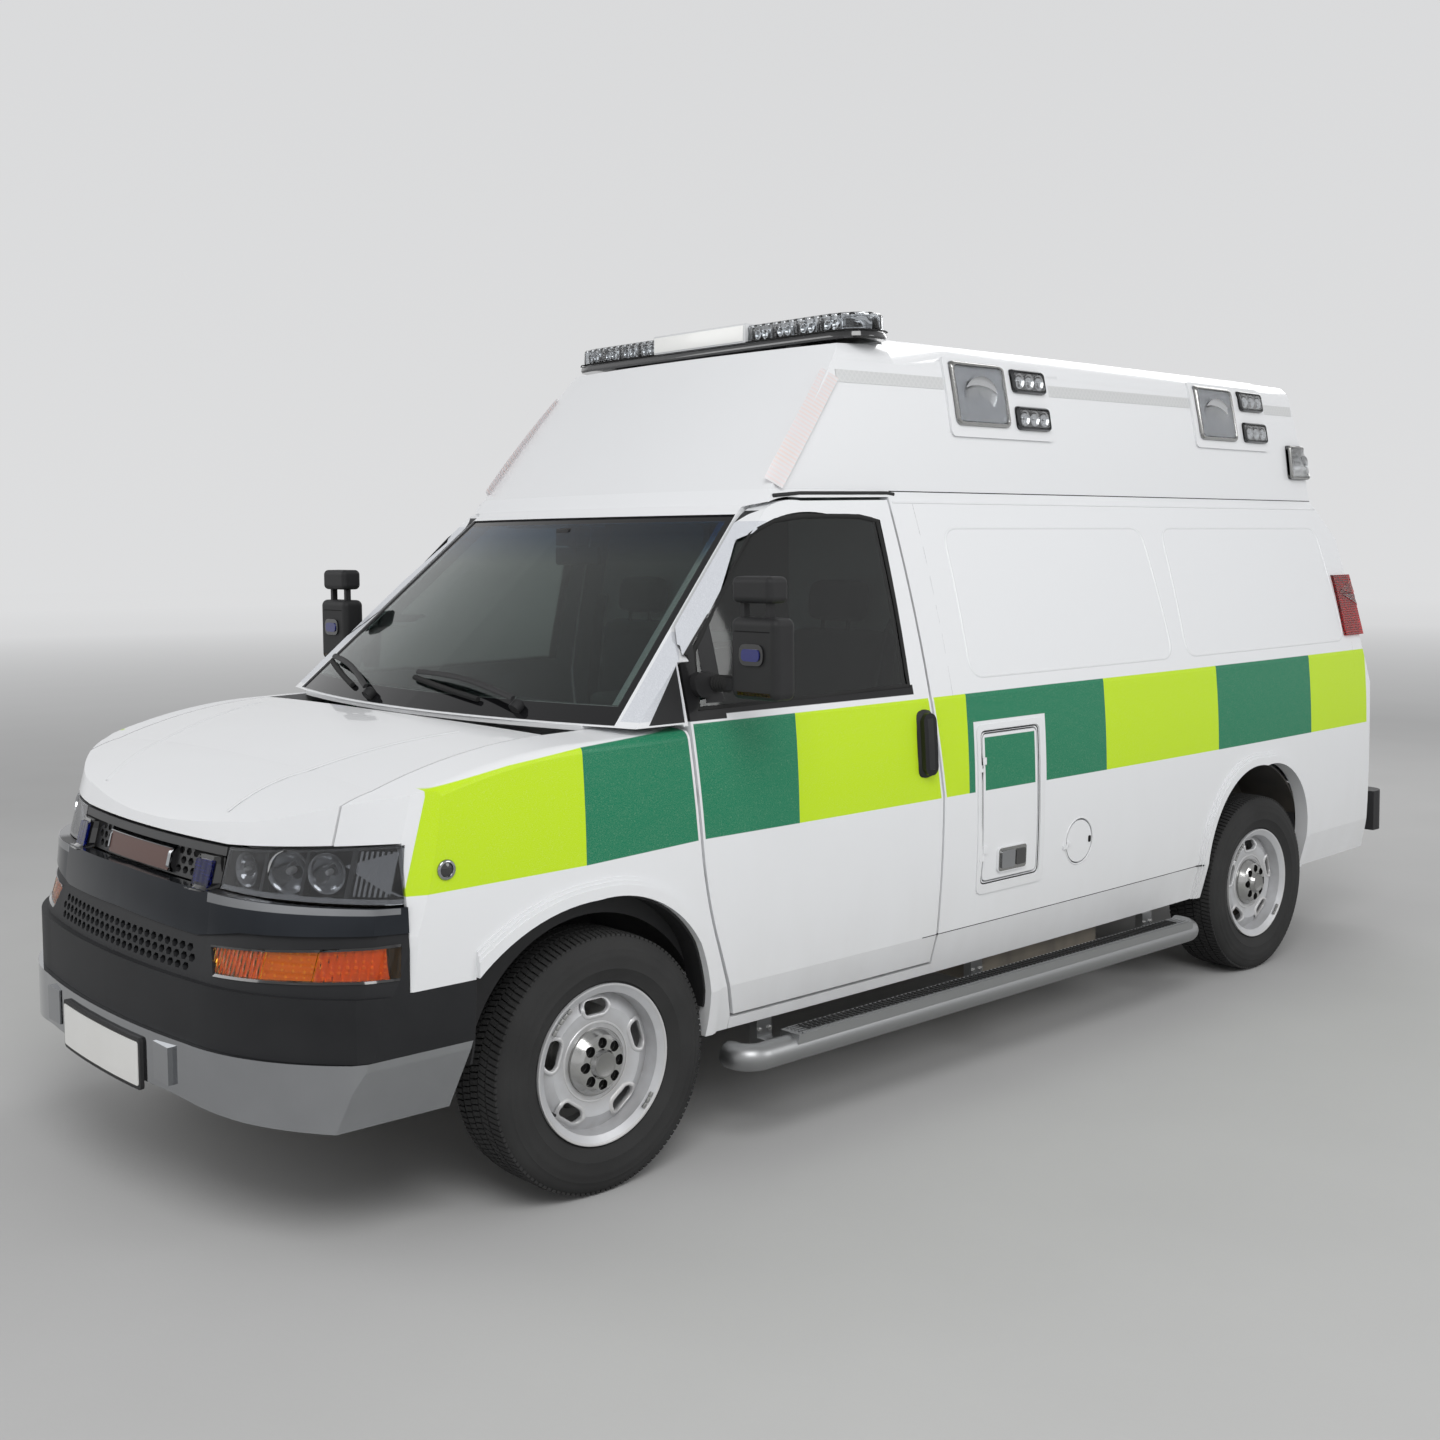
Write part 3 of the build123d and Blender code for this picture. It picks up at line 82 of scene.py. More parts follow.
class NodeNet:
    """Short calls that add and join the nodes of one material."""

    def __init__(self, name: str) -> None:
        """Start a material with one principled shader.

        Args:
            name: The material's name.
        """
        self.material = bpy.data.materials.new(name)
        self.material.use_nodes = True
        self.tree = self.material.node_tree
        self.tree.nodes.clear()
        self.out = self.add("ShaderNodeOutputMaterial")
        self.shader = self.add("ShaderNodeBsdfPrincipled")
        self.tree.links.new(self.shader.outputs[0], self.out.inputs[0])
        self.place = self.add("ShaderNodeTexCoord").outputs["Object"]
        split = self.add("ShaderNodeSeparateXYZ")
        self.tree.links.new(self.place, split.inputs[0])
        self.x, self.y, self.z = split.outputs

    def add(self, kind: str, **settings: object) -> bpy.types.Node:
        """Add a node and set its properties."""
        node = self.tree.nodes.new(kind)
        for key, value in settings.items():
            setattr(node, key, value)
        return node

    def put(self, socket: Socket, value: object) -> None:
        """Join a socket to another, or set its constant."""
        if isinstance(value, Socket):
            self.tree.links.new(value, socket)
        elif value is not None:
            socket.default_value = value

    def calc(self, operation: str, *values: object, clamp: bool = False) -> Socket:
        """A math node's result.

        Args:
            operation: The node's operation.
            *values: Sockets or numbers for its inputs.
            clamp: Whether the result is kept within 0 and 1.

        Returns:
            The output socket.
        """
        node = self.add("ShaderNodeMath", operation=operation, use_clamp=clamp)
        for socket, value in zip(node.inputs, values):
            self.put(socket, value)
        return node.outputs[0]

    def all_of(self, *masks: object) -> Socket:
        """Masks multiplied together."""
        total = masks[0]
        for mask in masks[1:]:
            total = self.calc("MULTIPLY", total, mask)
        return total

    def above(self, value: object, edge: object, soft: float = 0.001) -> Socket:
        """A mask that is 1 where a value is above an edge."""
        gap = self.calc("SUBTRACT", value, edge)
        return self.calc("MULTIPLY_ADD", gap, 0.5 / soft, 0.5, clamp=True)

    def below(self, value: object, edge: object, soft: float = 0.001) -> Socket:
        """A mask that is 1 where a value is below an edge."""
        return self.calc("SUBTRACT", 1, self.above(value, edge, soft))

    def within(self, value: object, low: float, high: float, soft: float = 0.001) -> Socket:
        """A mask that is 1 between two edges."""
        return self.all_of(self.above(value, low, soft), self.below(value, high, soft))

    def either(self, *masks: object) -> Socket:
        """The largest of several masks."""
        total = masks[0]
        for mask in masks[1:]:
            total = self.calc("MAXIMUM", total, mask)
        return total

    def line(self, value: object, points: Sequence[Pair]) -> Socket:
        """A broken line through points, constant beyond its ends.

        Args:
            value: The socket that runs along the line.
            points: Pairs of value and result, in order.

        Returns:
            The result's socket.
        """
        total = None
        for (a, low), (b, high) in zip(points, points[1:]):
            part = self.add("ShaderNodeMapRange", clamp=True)
            for index, number in enumerate((None, a, b, 0, high - low)):
                if number is not None:
                    part.inputs[index].default_value = number
            self.put(part.inputs[0], value)
            total = part.outputs[0] if total is None else self.calc("ADD", total, part.outputs[0])
        return self.calc("ADD", total, points[0][1])

    def mix(self, factor: object, low: object, high: object) -> Socket:
        """Two colours blended by a factor."""
        node = self.add("ShaderNodeMix", data_type="RGBA", clamp_factor=True)
        for index, value in ((0, factor), (6, low), (7, high)):
            if isinstance(value, tuple) and len(value) == 3:
                value = (*value, 1)
            self.put(node.inputs[index], value)
        return node.outputs[2]

    def blend(self, factor: object, low: float, high: float) -> Socket:
        """Two numbers blended by a factor."""
        return self.calc("MULTIPLY_ADD", factor, high - low, low, clamp=False)

    def noise(self, scale: float, detail: float = 3, stretch: Point = (1, 1, 1)) -> Socket:
        """Noise in object space, stretched along the axes."""
        mapping = self.add("ShaderNodeMapping")
        mapping.inputs["Scale"].default_value = stretch
        self.put(mapping.inputs["Vector"], self.place)
        node = self.add("ShaderNodeTexNoise")
        node.inputs["Scale"].default_value = scale
        node.inputs["Detail"].default_value = detail
        self.put(node.inputs["Vector"], mapping.outputs[0])
        return node.outputs["Fac"]

    def cells(self, scale: float, feature: str = "F1") -> Socket:
        """Distance in a cell pattern in object space."""
        node = self.add("ShaderNodeTexVoronoi", feature=feature)
        node.inputs["Scale"].default_value = scale
        self.put(node.inputs["Vector"], self.place)
        return node.outputs["Distance"]

    def relief(self, height: object, distance: float, strength: float = 1) -> Socket:
        """A bump from a height, joined to the shader."""
        node = self.add("ShaderNodeBump")
        node.inputs["Strength"].default_value = strength
        node.inputs["Distance"].default_value = distance
        self.put(node.inputs["Height"], height)
        self.put(self.shader.inputs["Normal"], node.outputs[0])
        return node.outputs[0]

    def set(self, **values: object) -> Material:
        """Set the shader's inputs by name, with underscores for spaces, and return the material."""
        for key, value in values.items():
            socket = self.shader.inputs[key.replace("_", " ")]
            if isinstance(value, tuple) and len(value) == 3 and len(socket.default_value) == 4:
                value = (*value, 1)
            self.put(socket, value)
        return self.material


@dataclass(frozen=True)
class Gloss:
    """Sprayed paint or moulded gloss: a clear coat over a base with a little dust low down."""

    name: str
    colour: Colour
    rough: float = 0.32
    metal: float = 0
    coat: float = 0.6
    dust: float = 0.25
    ripple: float = 0.00006

    def build(self) -> Material:
        """Make the material."""
        net = NodeNet(self.name)
        low = net.line(net.z, ((0.25, 1), (0.75, 0.25), (1.2, 0)))
        dirt = net.all_of(low, net.noise(9, 6, (1, 1, 0.35)), self.dust)
        tone = net.mix(dirt, self.colour, (0.30, 0.26, 0.20))
        net.relief(net.noise(240, 2), self.ripple)
        return net.set(Base_Color=tone, Roughness=net.blend(dirt, self.rough, 0.8), Metallic=self.metal,
                       Coat_Weight=self.coat, Coat_Roughness=0.04)


@dataclass(frozen=True)
class Grained:
    """Moulded plastic or rubber with a fine grain and faded patches."""

    name: str
    colour: Colour
    rough: float = 0.55
    grain: float = 900
    depth: float = 0.00012
    faded: float = 0.35

    def build(self) -> Material:
        """Make the material."""
        net = NodeNet(self.name)
        worn = tuple(min(1, c * (1 + self.faded) + 0.012) for c in self.colour)
        patches = net.noise(5, 5)
        tone = net.mix(patches, self.colour, worn)
        net.relief(net.cells(self.grain), self.depth)
        return net.set(Base_Color=tone, Roughness=net.blend(patches, self.rough, self.rough + 0.12),
                       Specular_IOR_Level=0.25)


@dataclass(frozen=True)
class Metal:
    """Bare, plated or brushed metal."""

    name: str
    colour: Colour
    rough: float = 0.08
    brushed: Point = (1, 1, 1)
    scratch: float = 0.00002
    smear: float = 0.12

    def build(self) -> Material:
        """Make the material."""
        net = NodeNet(self.name)
        film = net.noise(7, 6, self.brushed)
        fine = net.noise(420, 2, self.brushed)
        dull = tuple(c * 0.82 for c in self.colour)
        net.relief(fine, self.scratch)
        return net.set(Base_Color=net.mix(film, self.colour, dull), Metallic=1,
                       Roughness=net.blend(film, self.rough, self.rough + self.smear))


@dataclass(frozen=True)
class Glass:
    """A tinted pane, clear lens or coloured lens."""

    name: str
    tint: Colour
    rough: float = 0.02
    ribs: Point | None = None
    depth: float = 0.0006

    def build(self) -> Material:
        """Make the material."""
        net = NodeNet(self.name)
        film = net.noise(3, 4)
        tone = net.mix(film, self.tint, tuple(c * 0.93 for c in self.tint))
        if self.ribs is not None:
            wave = 0
            for axis, rate in zip((net.x, net.y, net.z), self.ribs):
                if rate:
                    turned = net.calc("SINE", net.calc("MULTIPLY", axis, rate))
                    wave = net.calc("ADD", wave, turned)
            net.relief(wave, self.depth)
        else:
            net.relief(net.noise(2, 2), 0.0003)
        return net.set(Base_Color=tone, Roughness=net.blend(film, self.rough, self.rough + 0.02),
                       Transmission_Weight=1, IOR=1.46)


@dataclass(frozen=True)
class Woven:
    """Seat cloth with a fine weave."""

    name: str
    colour: Colour
    thread: float = 2600

    def build(self) -> Material:
        """Make the material."""
        net = NodeNet(self.name)
        across = net.calc("SINE", net.calc("MULTIPLY", net.x, self.thread))
        along = net.calc("SINE", net.calc("MULTIPLY", net.calc("ADD", net.y, net.z), self.thread))
        weave = net.calc("MULTIPLY", across, along)
        tone = net.mix(net.noise(60, 4), self.colour, tuple(c * 1.7 for c in self.colour))
        net.relief(weave, 0.0003)
        return net.set(Base_Color=tone, Roughness=0.9, Sheen_Weight=0.4, Sheen_Roughness=0.5)


def pillar_film(net: NodeNet) -> Socket:
    """The mask of the silver film down the windscreen pillar, over all that shows in its way."""
    screen_edge = net.line(net.z, ((z_of(1298), 0.914), (z_of(1894), 0.733)))
    foot_edge = net.line(net.y, ((y_of(302), z_of(1466)), (y_of(321), z_of(1482)), (y_of(372), z_of(1532)),
                                 (y_of(447), z_of(1602))))
    window_edge = net.line(net.z, ((z_of(1532), y_of(396)), (z_of(1622), y_of(478)), (z_of(1715), y_of(568)),
                                   (z_of(1808), y_of(664)), (z_of(1847), y_of(728)), (z_of(1880), y_of(775))))
    behind_gap = net.all_of(net.above(net.y, y_of(300)), net.below(net.z, foot_edge))
    return net.all_of(net.within(net.z, z_of(1314), z_of(1872)), net.below(net.y, window_edge),
                      net.above(net.calc("ABSOLUTE", net.x), screen_edge), net.calc("SUBTRACT", 1, behind_gap))


FILM_DARK: Colour = (0.52, 0.54, 0.58)
FILM_PALE: Colour = (0.74, 0.76, 0.80)


@dataclass(frozen=True)
class Livery:
    """White paint with the chequered side band of reflective film, cut back at each gap."""

    name: str
    white: Colour = (0.80, 0.81, 0.825)
    yellow: Colour = (0.54, 0.78, 0)
    green: Colour = (0, 0.19, 0.092)
    lining: Colour = (0.22, 0.22, 0.225)
    first_edge: float = y_of(-66)
    block: float = 0.7905
    rear_end: float = y_of(4440)
    gap_half: float = 0.013
    on_door: bool = False

    def _band(self, net: NodeNet) -> Socket:
        """The mask of the band between its lower and upper edges."""
        top = net.line(net.y, ((y_of(-640), z_of(1182)), (y_of(-300), z_of(1238)), (y_of(-66), z_of(1264)),
                               (y_of(290), z_of(1285)), (y_of(300), z_of(1296)), (y_of(2000), z_of(1304))))
        foot = net.line(net.y, ((y_of(-640), z_of(938)), (y_of(-66), z_of(948)), (y_of(340), z_of(967)),
                                (y_of(1500), z_of(972))))
        wide = net.above(net.calc("ABSOLUTE", net.x), 0.845)
        start = net.line(net.z, ((z_of(938), y_of(-606)), (z_of(1182), y_of(-540))))
        return net.all_of(net.above(net.z, foot), net.below(net.z, top), wide, net.above(net.y, start),
                          net.below(net.y, self.rear_end))

    def _cut_back(self, net: NodeNet) -> Socket:
        """The mask of the bare strips along the door gaps and round the locker."""
        front = net.line(net.z, ((z_of(967), y_of(339)), (z_of(1290), y_of(312))))
        rear = net.line(net.z, ((z_of(975), y_of(1385)), (z_of(1300), y_of(1340))))
        masks = []
        for edge in (front, rear):
            away = net.calc("ABSOLUTE", net.calc("SUBTRACT", net.y, edge))
            masks.append(net.below(away, self.gap_half))
        left = net.above(net.x, 0.5)
        around = net.all_of(net.within(net.y, y_of(1546), y_of(1938)), net.below(net.z, z_of(1206)), left)
        leaf = net.all_of(net.within(net.y, y_of(1600), y_of(1874)), net.below(net.z, z_of(1150)))
        masks.append(net.all_of(around, net.calc("SUBTRACT", 1, leaf)))
        return net.either(*masks)

    def build(self) -> Material:
        """Make the material."""
        net = NodeNet(self.name)
        steps = net.calc("FLOOR", net.calc("DIVIDE", net.calc("SUBTRACT", net.y, self.first_edge), self.block))
        odd = net.calc("MODULO", net.calc("ADD", steps, 101), 2)
        film = net.mix(odd, self.yellow, self.green)
        comb = net.below(net.cells(260, "DISTANCE_TO_EDGE"), 0.06, 0.05)
        film = net.mix(net.calc("MULTIPLY", comb, 0.10), film, (0.9, 0.95, 0.75))
        mask = net.all_of(self._band(net), net.calc("SUBTRACT", 1, self._cut_back(net)))
        low = net.line(net.z, ((0.25, 1), (0.7, 0.22), (1.1, 0)))
        dirt = net.all_of(low, net.noise(9, 6, (1, 1, 0.3)), 0.22)
        tone = net.mix(mask, self.white, film)
        tone = net.mix(pillar_film(net), tone, net.mix(net.cells(420), FILM_DARK, FILM_PALE))
        split = net.add("ShaderNodeSeparateXYZ")
        net.put(split.inputs[0], net.add("ShaderNodeNewGeometry").outputs["Normal"])
        facing = split.outputs[0]
        if self.on_door:
            tone, mask = self._door_black(net, tone, mask, facing)
        tone = net.mix(dirt, tone, (0.32, 0.28, 0.21))
        inward = net.below(net.calc("MULTIPLY", facing, net.calc("SIGN", net.x)), -0.2, 0.05)
        tone = net.mix(inward, tone, self.lining)
        net.relief(net.noise(240, 2), 0.00005)
        return net.set(Base_Color=tone, Roughness=net.blend(mask, 0.28, 0.42), Coat_Weight=0.08, Coat_Roughness=0.05,
                       Specular_IOR_Level=0.2)

    def _door_black(self, net: NodeNet, tone: object, mask: object, facing: object) -> tuple[object, object]:
        """Black for the sail ahead of the window and for the cut edges of the leaf."""
        edge_on = net.below(net.calc("ABSOLUTE", facing), 0.05, 0.01)
        reveal = net.all_of(edge_on, net.above(net.z, z_of(1312)), net.below(net.z, z_of(1905)))
        sail = net.all_of(net.within(net.z, z_of(1303), z_of(1610)), net.below(net.y, y_of(455)),
                          net.calc("SUBTRACT", 1, pillar_film(net)), net.above(net.calc("ABSOLUTE", net.x), 0.880))
        oval = []
        for axis, middle, half in ((net.y, y_of(1300), 0.040), (net.z, z_of(1156), 0.110)):
            away = net.calc("DIVIDE", net.calc("SUBTRACT", axis, middle), half)
            oval.append(net.calc("POWER", net.calc("ABSOLUTE", away), 3))
        cup = net.below(net.calc("ADD", *oval), 1, 0.02)
        belt = net.all_of(net.within(net.z, z_of(1317), z_of(1348)), net.within(net.y, y_of(302), y_of(1262)))
        black = net.either(reveal, sail, cup, belt)
        return net.mix(black, tone, (0.012, 0.012, 0.013)), net.either(mask, black)


@dataclass(frozen=True)
class ScreenGlass:
    """The windscreen: clear pane, opaque black border and a blue band along its head."""

    name: str
    tint: Colour = (0.40, 0.47, 0.45)
    foot: float = z_of(1298)
    head: float = z_of(1894)
    half: float = 0.902
    lean: float = 0.3037

    def build(self) -> Material:
        """Make the material."""
        net = NodeNet(self.name)
        out = net.calc("ABSOLUTE", net.x)
        edge = net.calc("MULTIPLY_ADD", net.calc("SUBTRACT", net.z, self.foot), -self.lean, self.half - 0.030)
        border = net.either(net.above(out, edge), net.below(net.z, self.foot + 0.052),
                            net.above(net.z, self.head - 0.022))
        band = net.line(net.z, ((self.head - 0.150, 0), (self.head - 0.060, 1)))
        film = net.noise(2.5, 4)
        tone = net.mix(band, net.mix(film, self.tint, (0.36, 0.43, 0.41)), (0.05, 0.14, 0.26))
        tone = net.mix(border, tone, (0.008, 0.008, 0.009))
        net.relief(net.noise(2, 2), 0.0003)
        clear = net.calc("SUBTRACT", 1, border)
        return net.set(Base_Color=tone, Roughness=net.blend(film, 0.02, 0.04), Transmission_Weight=clear, IOR=1.46)


@dataclass(frozen=True)
class MirrorShell:
    """Grained black plastic; the pillar's film runs on over the upper corner of the foot."""

    name: str
    black: Colour = (0.016, 0.016, 0.017)
    worn: Colour = (0.030, 0.030, 0.031)
    reach: float = 1

    def build(self) -> Material:
        """Make the material."""
        net = NodeNet(self.name)
        patches = net.noise(5, 5)
        foot = net.all_of(pillar_film(net), net.below(net.calc("ABSOLUTE", net.x), self.reach))
        tone = net.mix(foot, net.mix(patches, self.black, self.worn), net.mix(net.cells(420), FILM_DARK, FILM_PALE))
        net.relief(net.cells(900), 0.00012)
        return net.set(Base_Color=tone, Roughness=net.blend(patches, 0.5, 0.62), Specular_IOR_Level=0.25)


@dataclass(frozen=True)
class WheelPaint:
    """Silver paint on the rim, a bright cap in its middle and brake dust in the hollows."""

    name: str
    silver: Colour = (0.60, 0.61, 0.63)
    cap_r: float = 0.0930

    def build(self) -> Material:
        """Make the material."""
        net = NodeNet(self.name)
        high = net.calc("SUBTRACT", net.z, WHEEL_Z)
        spans = []
        for axle in (AXLE_Y, REAR_AXLE_Y):
            along = net.calc("SUBTRACT", net.y, axle)
            spans.append(net.calc("SQRT", net.calc("ADD", net.calc("MULTIPLY", along, along),
                                                   net.calc("MULTIPLY", high, high))))
        radius = net.calc("MINIMUM", *spans)
        cap = net.all_of(net.below(radius, self.cap_r, 0.0006), net.above(net.calc("ABSOLUTE", net.x), 0.908))
        film = net.noise(26, 5)
        dust = net.all_of(net.line(radius, ((0.105, 0.55), (0.14, 0.15), (0.185, 0.5), (0.20, 0.2))), film)
        tone = net.mix(dust, self.silver, (0.20, 0.17, 0.14))
        tone = net.mix(cap, tone, net.mix(film, (0.56, 0.56, 0.55), (0.42, 0.42, 0.41)))
        net.relief(net.noise(300, 2), 0.00004)
        return net.set(Base_Color=tone, Metallic=net.blend(cap, 0.35, 1), Roughness=net.blend(cap, 0.38, 0.17))


@dataclass(frozen=True)
class GrillePaint:
    """Chrome on the crossbar, darkened as a painted dark reflection, and grained black on the mesh above it."""

    name: str

    def build(self) -> Material:
        """Make the material."""
        net = NodeNet(self.name)
        out = net.calc("ABSOLUTE", net.x)
        top = net.line(out, ((0, z_of(927.9)), (0.470, z_of(921.9)), (0.480, z_of(920))))
        bar = net.below(net.z, top, 0.0004)
        film = net.noise(8, 5)
        # Painted reflection: the crossbar's chrome is kept dark to stand for dark surroundings mirrored in it; its
        # bright top edge is a separate painted highlight strip.
        tone = net.mix(bar, net.mix(film, (0.010, 0.010, 0.011), (0.022, 0.022, 0.023)),
                       net.mix(film, (0.060, 0.066, 0.076), (0.042, 0.046, 0.054)))
        net.relief(net.noise(500, 2), 0.00003)
        return net.set(Base_Color=tone, Metallic=bar, Roughness=net.blend(bar, 0.42, 0.09))


@dataclass(frozen=True)
class Dotted:
    """A coloured backing with rows of brighter dots behind a lens."""

    name: str
    colour: Colour
    dots: Colour
    rate: float = 110
    metal: float = 0

    def build(self) -> Material:
        """Make the material."""
        net = NodeNet(self.name)
        node = net.add("ShaderNodeTexVoronoi")
        node.inputs["Scale"].default_value = self.rate
        node.inputs["Randomness"].default_value = 0
        net.put(node.inputs["Vector"], net.place)
        spot = net.below(node.outputs["Distance"], 0.30, 0.08)
        tone = net.mix(spot, self.colour, self.dots)
        net.relief(spot, 0.0008)
        return net.set(Base_Color=tone, Roughness=0.18, Metallic=self.metal, Coat_Weight=0.8, Coat_Roughness=0.03)


@dataclass(frozen=True)
class Film:
    """Reflective film with slanting bars."""

    name: str
    colour: Colour
    bars: Colour
    rate: float = 420
    share: float = 0.25

    def build(self) -> Material:
        """Make the material."""
        net = NodeNet(self.name)
        slant = net.calc("ADD", net.calc("ADD", net.z, net.y), net.calc("MULTIPLY", net.x, 0.6))
        wave = net.calc("SINE", net.calc("MULTIPLY", slant, self.rate))
        cross = net.calc("SINE", net.calc("MULTIPLY", net.calc("SUBTRACT", net.z, net.y), self.rate))
        mask = net.calc("MULTIPLY", net.either(net.above(wave, 0.6, 0.2), net.above(cross, 0.6, 0.2)), self.share)
        net.relief(net.cells(900), 0.00005)
        return net.set(Base_Color=net.mix(mask, self.colour, self.bars), Roughness=0.28, Metallic=0.35)


@dataclass(frozen=True)
class Pearl:
    """Shimmering film whose colour changes along its length."""

    name: str

    def build(self) -> Material:
        """Make the material."""
        net = NodeNet(self.name)
        slant = net.calc("SINE", net.calc("MULTIPLY", net.calc("ADD", net.z, net.calc("MULTIPLY", net.y, 0.8)), 330))
        bars = net.calc("MULTIPLY", net.above(slant, 0.2, 0.3), 0.7)
        tone = net.mix(net.noise(12, 3), (0.86, 0.62, 0.50), (0.80, 0.76, 0.82))
        tone = net.mix(bars, (0.78, 0.76, 0.77), tone)
        net.relief(net.cells(600), 0.00005)
        return net.set(Base_Color=tone, Roughness=0.3, Metallic=0.15)


class Finishes:
    """All finishes of the vehicle, built once and looked up by name."""

    def __init__(self) -> None:
        """Build every finish."""
        looks = (
            Livery("livery"),
            Livery("livery_door", on_door=True),
            Gloss("white_paint", (0.80, 0.81, 0.825)),
            Gloss("wheel_silver", (0.66, 0.67, 0.69), rough=0.35, metal=0.35, dust=0.5),
            Gloss("chassis_black", (0.02, 0.02, 0.021), rough=0.5, coat=0.1, dust=0.8),
            Gloss("lining", (0.70, 0.71, 0.70), rough=0.45, coat=0.1, dust=0.1),
            Gloss("cast_iron", (0.06, 0.057, 0.055), rough=0.65, coat=0, dust=0.9, ripple=0.0004),
            Gloss("piano_black", (0.012, 0.012, 0.013), rough=0.12, coat=1, dust=0.1),
            Gloss("maroon_panel", (0.075, 0.020, 0.010), rough=0.45, coat=0.15, dust=0.1),
            Gloss("plate_white", (0.82, 0.82, 0.80), rough=0.4, coat=0.2, dust=0.2),
            Gloss("blank_white", (0.86, 0.86, 0.84), rough=0.35, coat=0.3, dust=0),
            Gloss("grey_paint", (0.62, 0.63, 0.64), rough=0.4, coat=0.3, dust=0.1),
            Grained("black_plastic", (0.018, 0.018, 0.019), rough=0.5),
            Grained("bumper_plastic", (0.010, 0.0105, 0.012), rough=0.5, depth=0.00008),
            Grained("cab_plastic", (0.085, 0.088, 0.09), rough=0.7),
            Grained("rubber", (0.012, 0.012, 0.012), rough=0.75, grain=400, faded=0.6),
            Grained("tyre_rubber", (0.020, 0.020, 0.020), rough=0.82, grain=260, faded=0.8),
            # Near-black: the real colour of the seams and the light bar's tray, and painted shade in the cap pockets,
            # the filler notch and behind the grille meshes.
            Grained("black_and_painted_shade", (0.004, 0.004, 0.004), rough=0.9, faded=0.1),
            Metal("chrome", (0.42, 0.43, 0.445), rough=0.045, smear=0.05),
            Metal("dark_chrome", (0.10, 0.102, 0.105), rough=0.08, smear=0.08),
            Metal("cap_chrome", (0.40, 0.40, 0.39), rough=0.16, smear=0.14),
            Metal("reflector", (0.62, 0.63, 0.64), rough=0.10, smear=0.05),
            Metal("aluminium", (0.40, 0.405, 0.41), rough=0.34, brushed=(1, 0.02, 1), scratch=0.0001),
            Metal("steel", (0.45, 0.45, 0.44), rough=0.35),
            ScreenGlass("screen_glass"),
            MirrorShell("mirror_shell"),
            WheelPaint("wheel_paint"),
            GrillePaint("grille_paint"),
            Dotted("blue_dots", (0.004, 0.008, 0.13), (0.010, 0.035, 0.42)),
            Dotted("amber_back", (0.90, 0.34, 0.02), (1, 0.58, 0.10), rate=70),
            Film("pale_film", (0.66, 0.67, 0.67), (0.80, 0.80, 0.80), rate=260),
            Pearl("pearl_film"),
            Gloss("lamp_dark", (0.025, 0.026, 0.028), rough=0.25, coat=0.5, dust=0),
            Gloss("lamp_pale", (0.46, 0.48, 0.52), rough=0.3, coat=0.3, dust=0),
            Gloss("lamp_grey", (0.10, 0.102, 0.105), rough=0.3, coat=0.4, dust=0.1),
            Metal("mirror_glass", (0.80, 0.82, 0.83), rough=0.02, smear=0.02),
            Woven("webbing", (0.03, 0.03, 0.032), thread=1800),
            Glass("milky_lens", (0.90, 0.91, 0.92), rough=0.3),
            Glass("bar_lens", (0.70, 0.72, 0.74), rough=0.03, ribs=(160, 0, 0), depth=0.0008),
            Glass("amber_clear", (1, 0.62, 0.12), rough=0.05, ribs=(0, 0, 260), depth=0.0009),
            Glass("cab_glass", (0.16, 0.18, 0.17)),
            Glass("privacy_glass", (0.045, 0.05, 0.05)),
            Glass("clear_lens", (0.93, 0.94, 0.95)),
            Glass("smoked_lens", (0.50, 0.51, 0.53)),
            Glass("ribbed_lens", (0.88, 0.90, 0.91), ribs=(520, 520, 0), depth=0.0012),
            Glass("amber_lens", (1, 0.46, 0.03), rough=0.06, ribs=(420, 420, 0), depth=0.0009),
            Glass("blue_lens", (0.01, 0.03, 0.40), rough=0.06, ribs=(260, 260, 0), depth=0.0002),
            Glass("red_lens", (0.75, 0.008, 0.012), rough=0.06, ribs=(0, 0, 620), depth=0.0008),
            Woven("seat_cloth", (0.045, 0.047, 0.055)),
        )
        self._made = {look.name: look.build() for look in looks}

    def __getitem__(self, name: str) -> Material:
        """The material of that name."""
        return self._made[name]


# ---------------------------------------------------------------- mesh tools


def new_object(name: str, mesh: bpy.types.Mesh) -> Piece:
    """Link an object that holds a mesh at the origin."""
    piece = bpy.data.objects.new(name, mesh)
    bpy.context.scene.collection.objects.link(piece)
    return piece


def from_bmesh(name: str, bm: Mesh, smooth_angle: float | None = 35) -> Piece:
    """Turn a bmesh into an object with closed seams, outward faces and soft shading.

    Args:
        name: The piece's name.
        bm: The mesh, freed afterwards.
        smooth_angle: Edges sharper than this many degrees stay sharp; None keeps flat faces.

    Returns:
        The new object.
    """
    bmesh.ops.remove_doubles(bm, verts=bm.verts, dist=1e-6)
    bmesh.ops.recalc_face_normals(bm, faces=bm.faces)
    if smooth_angle is not None:
        limit = math.radians(smooth_angle)
        for face in bm.faces:
            face.smooth = True
        for edge in bm.edges:
            edge.smooth = len(edge.link_faces) == 2 and edge.calc_face_angle(0) < limit
    mesh = bpy.data.meshes.new(name)
    bm.to_mesh(mesh)
    bm.free()
    return new_object(name, mesh)


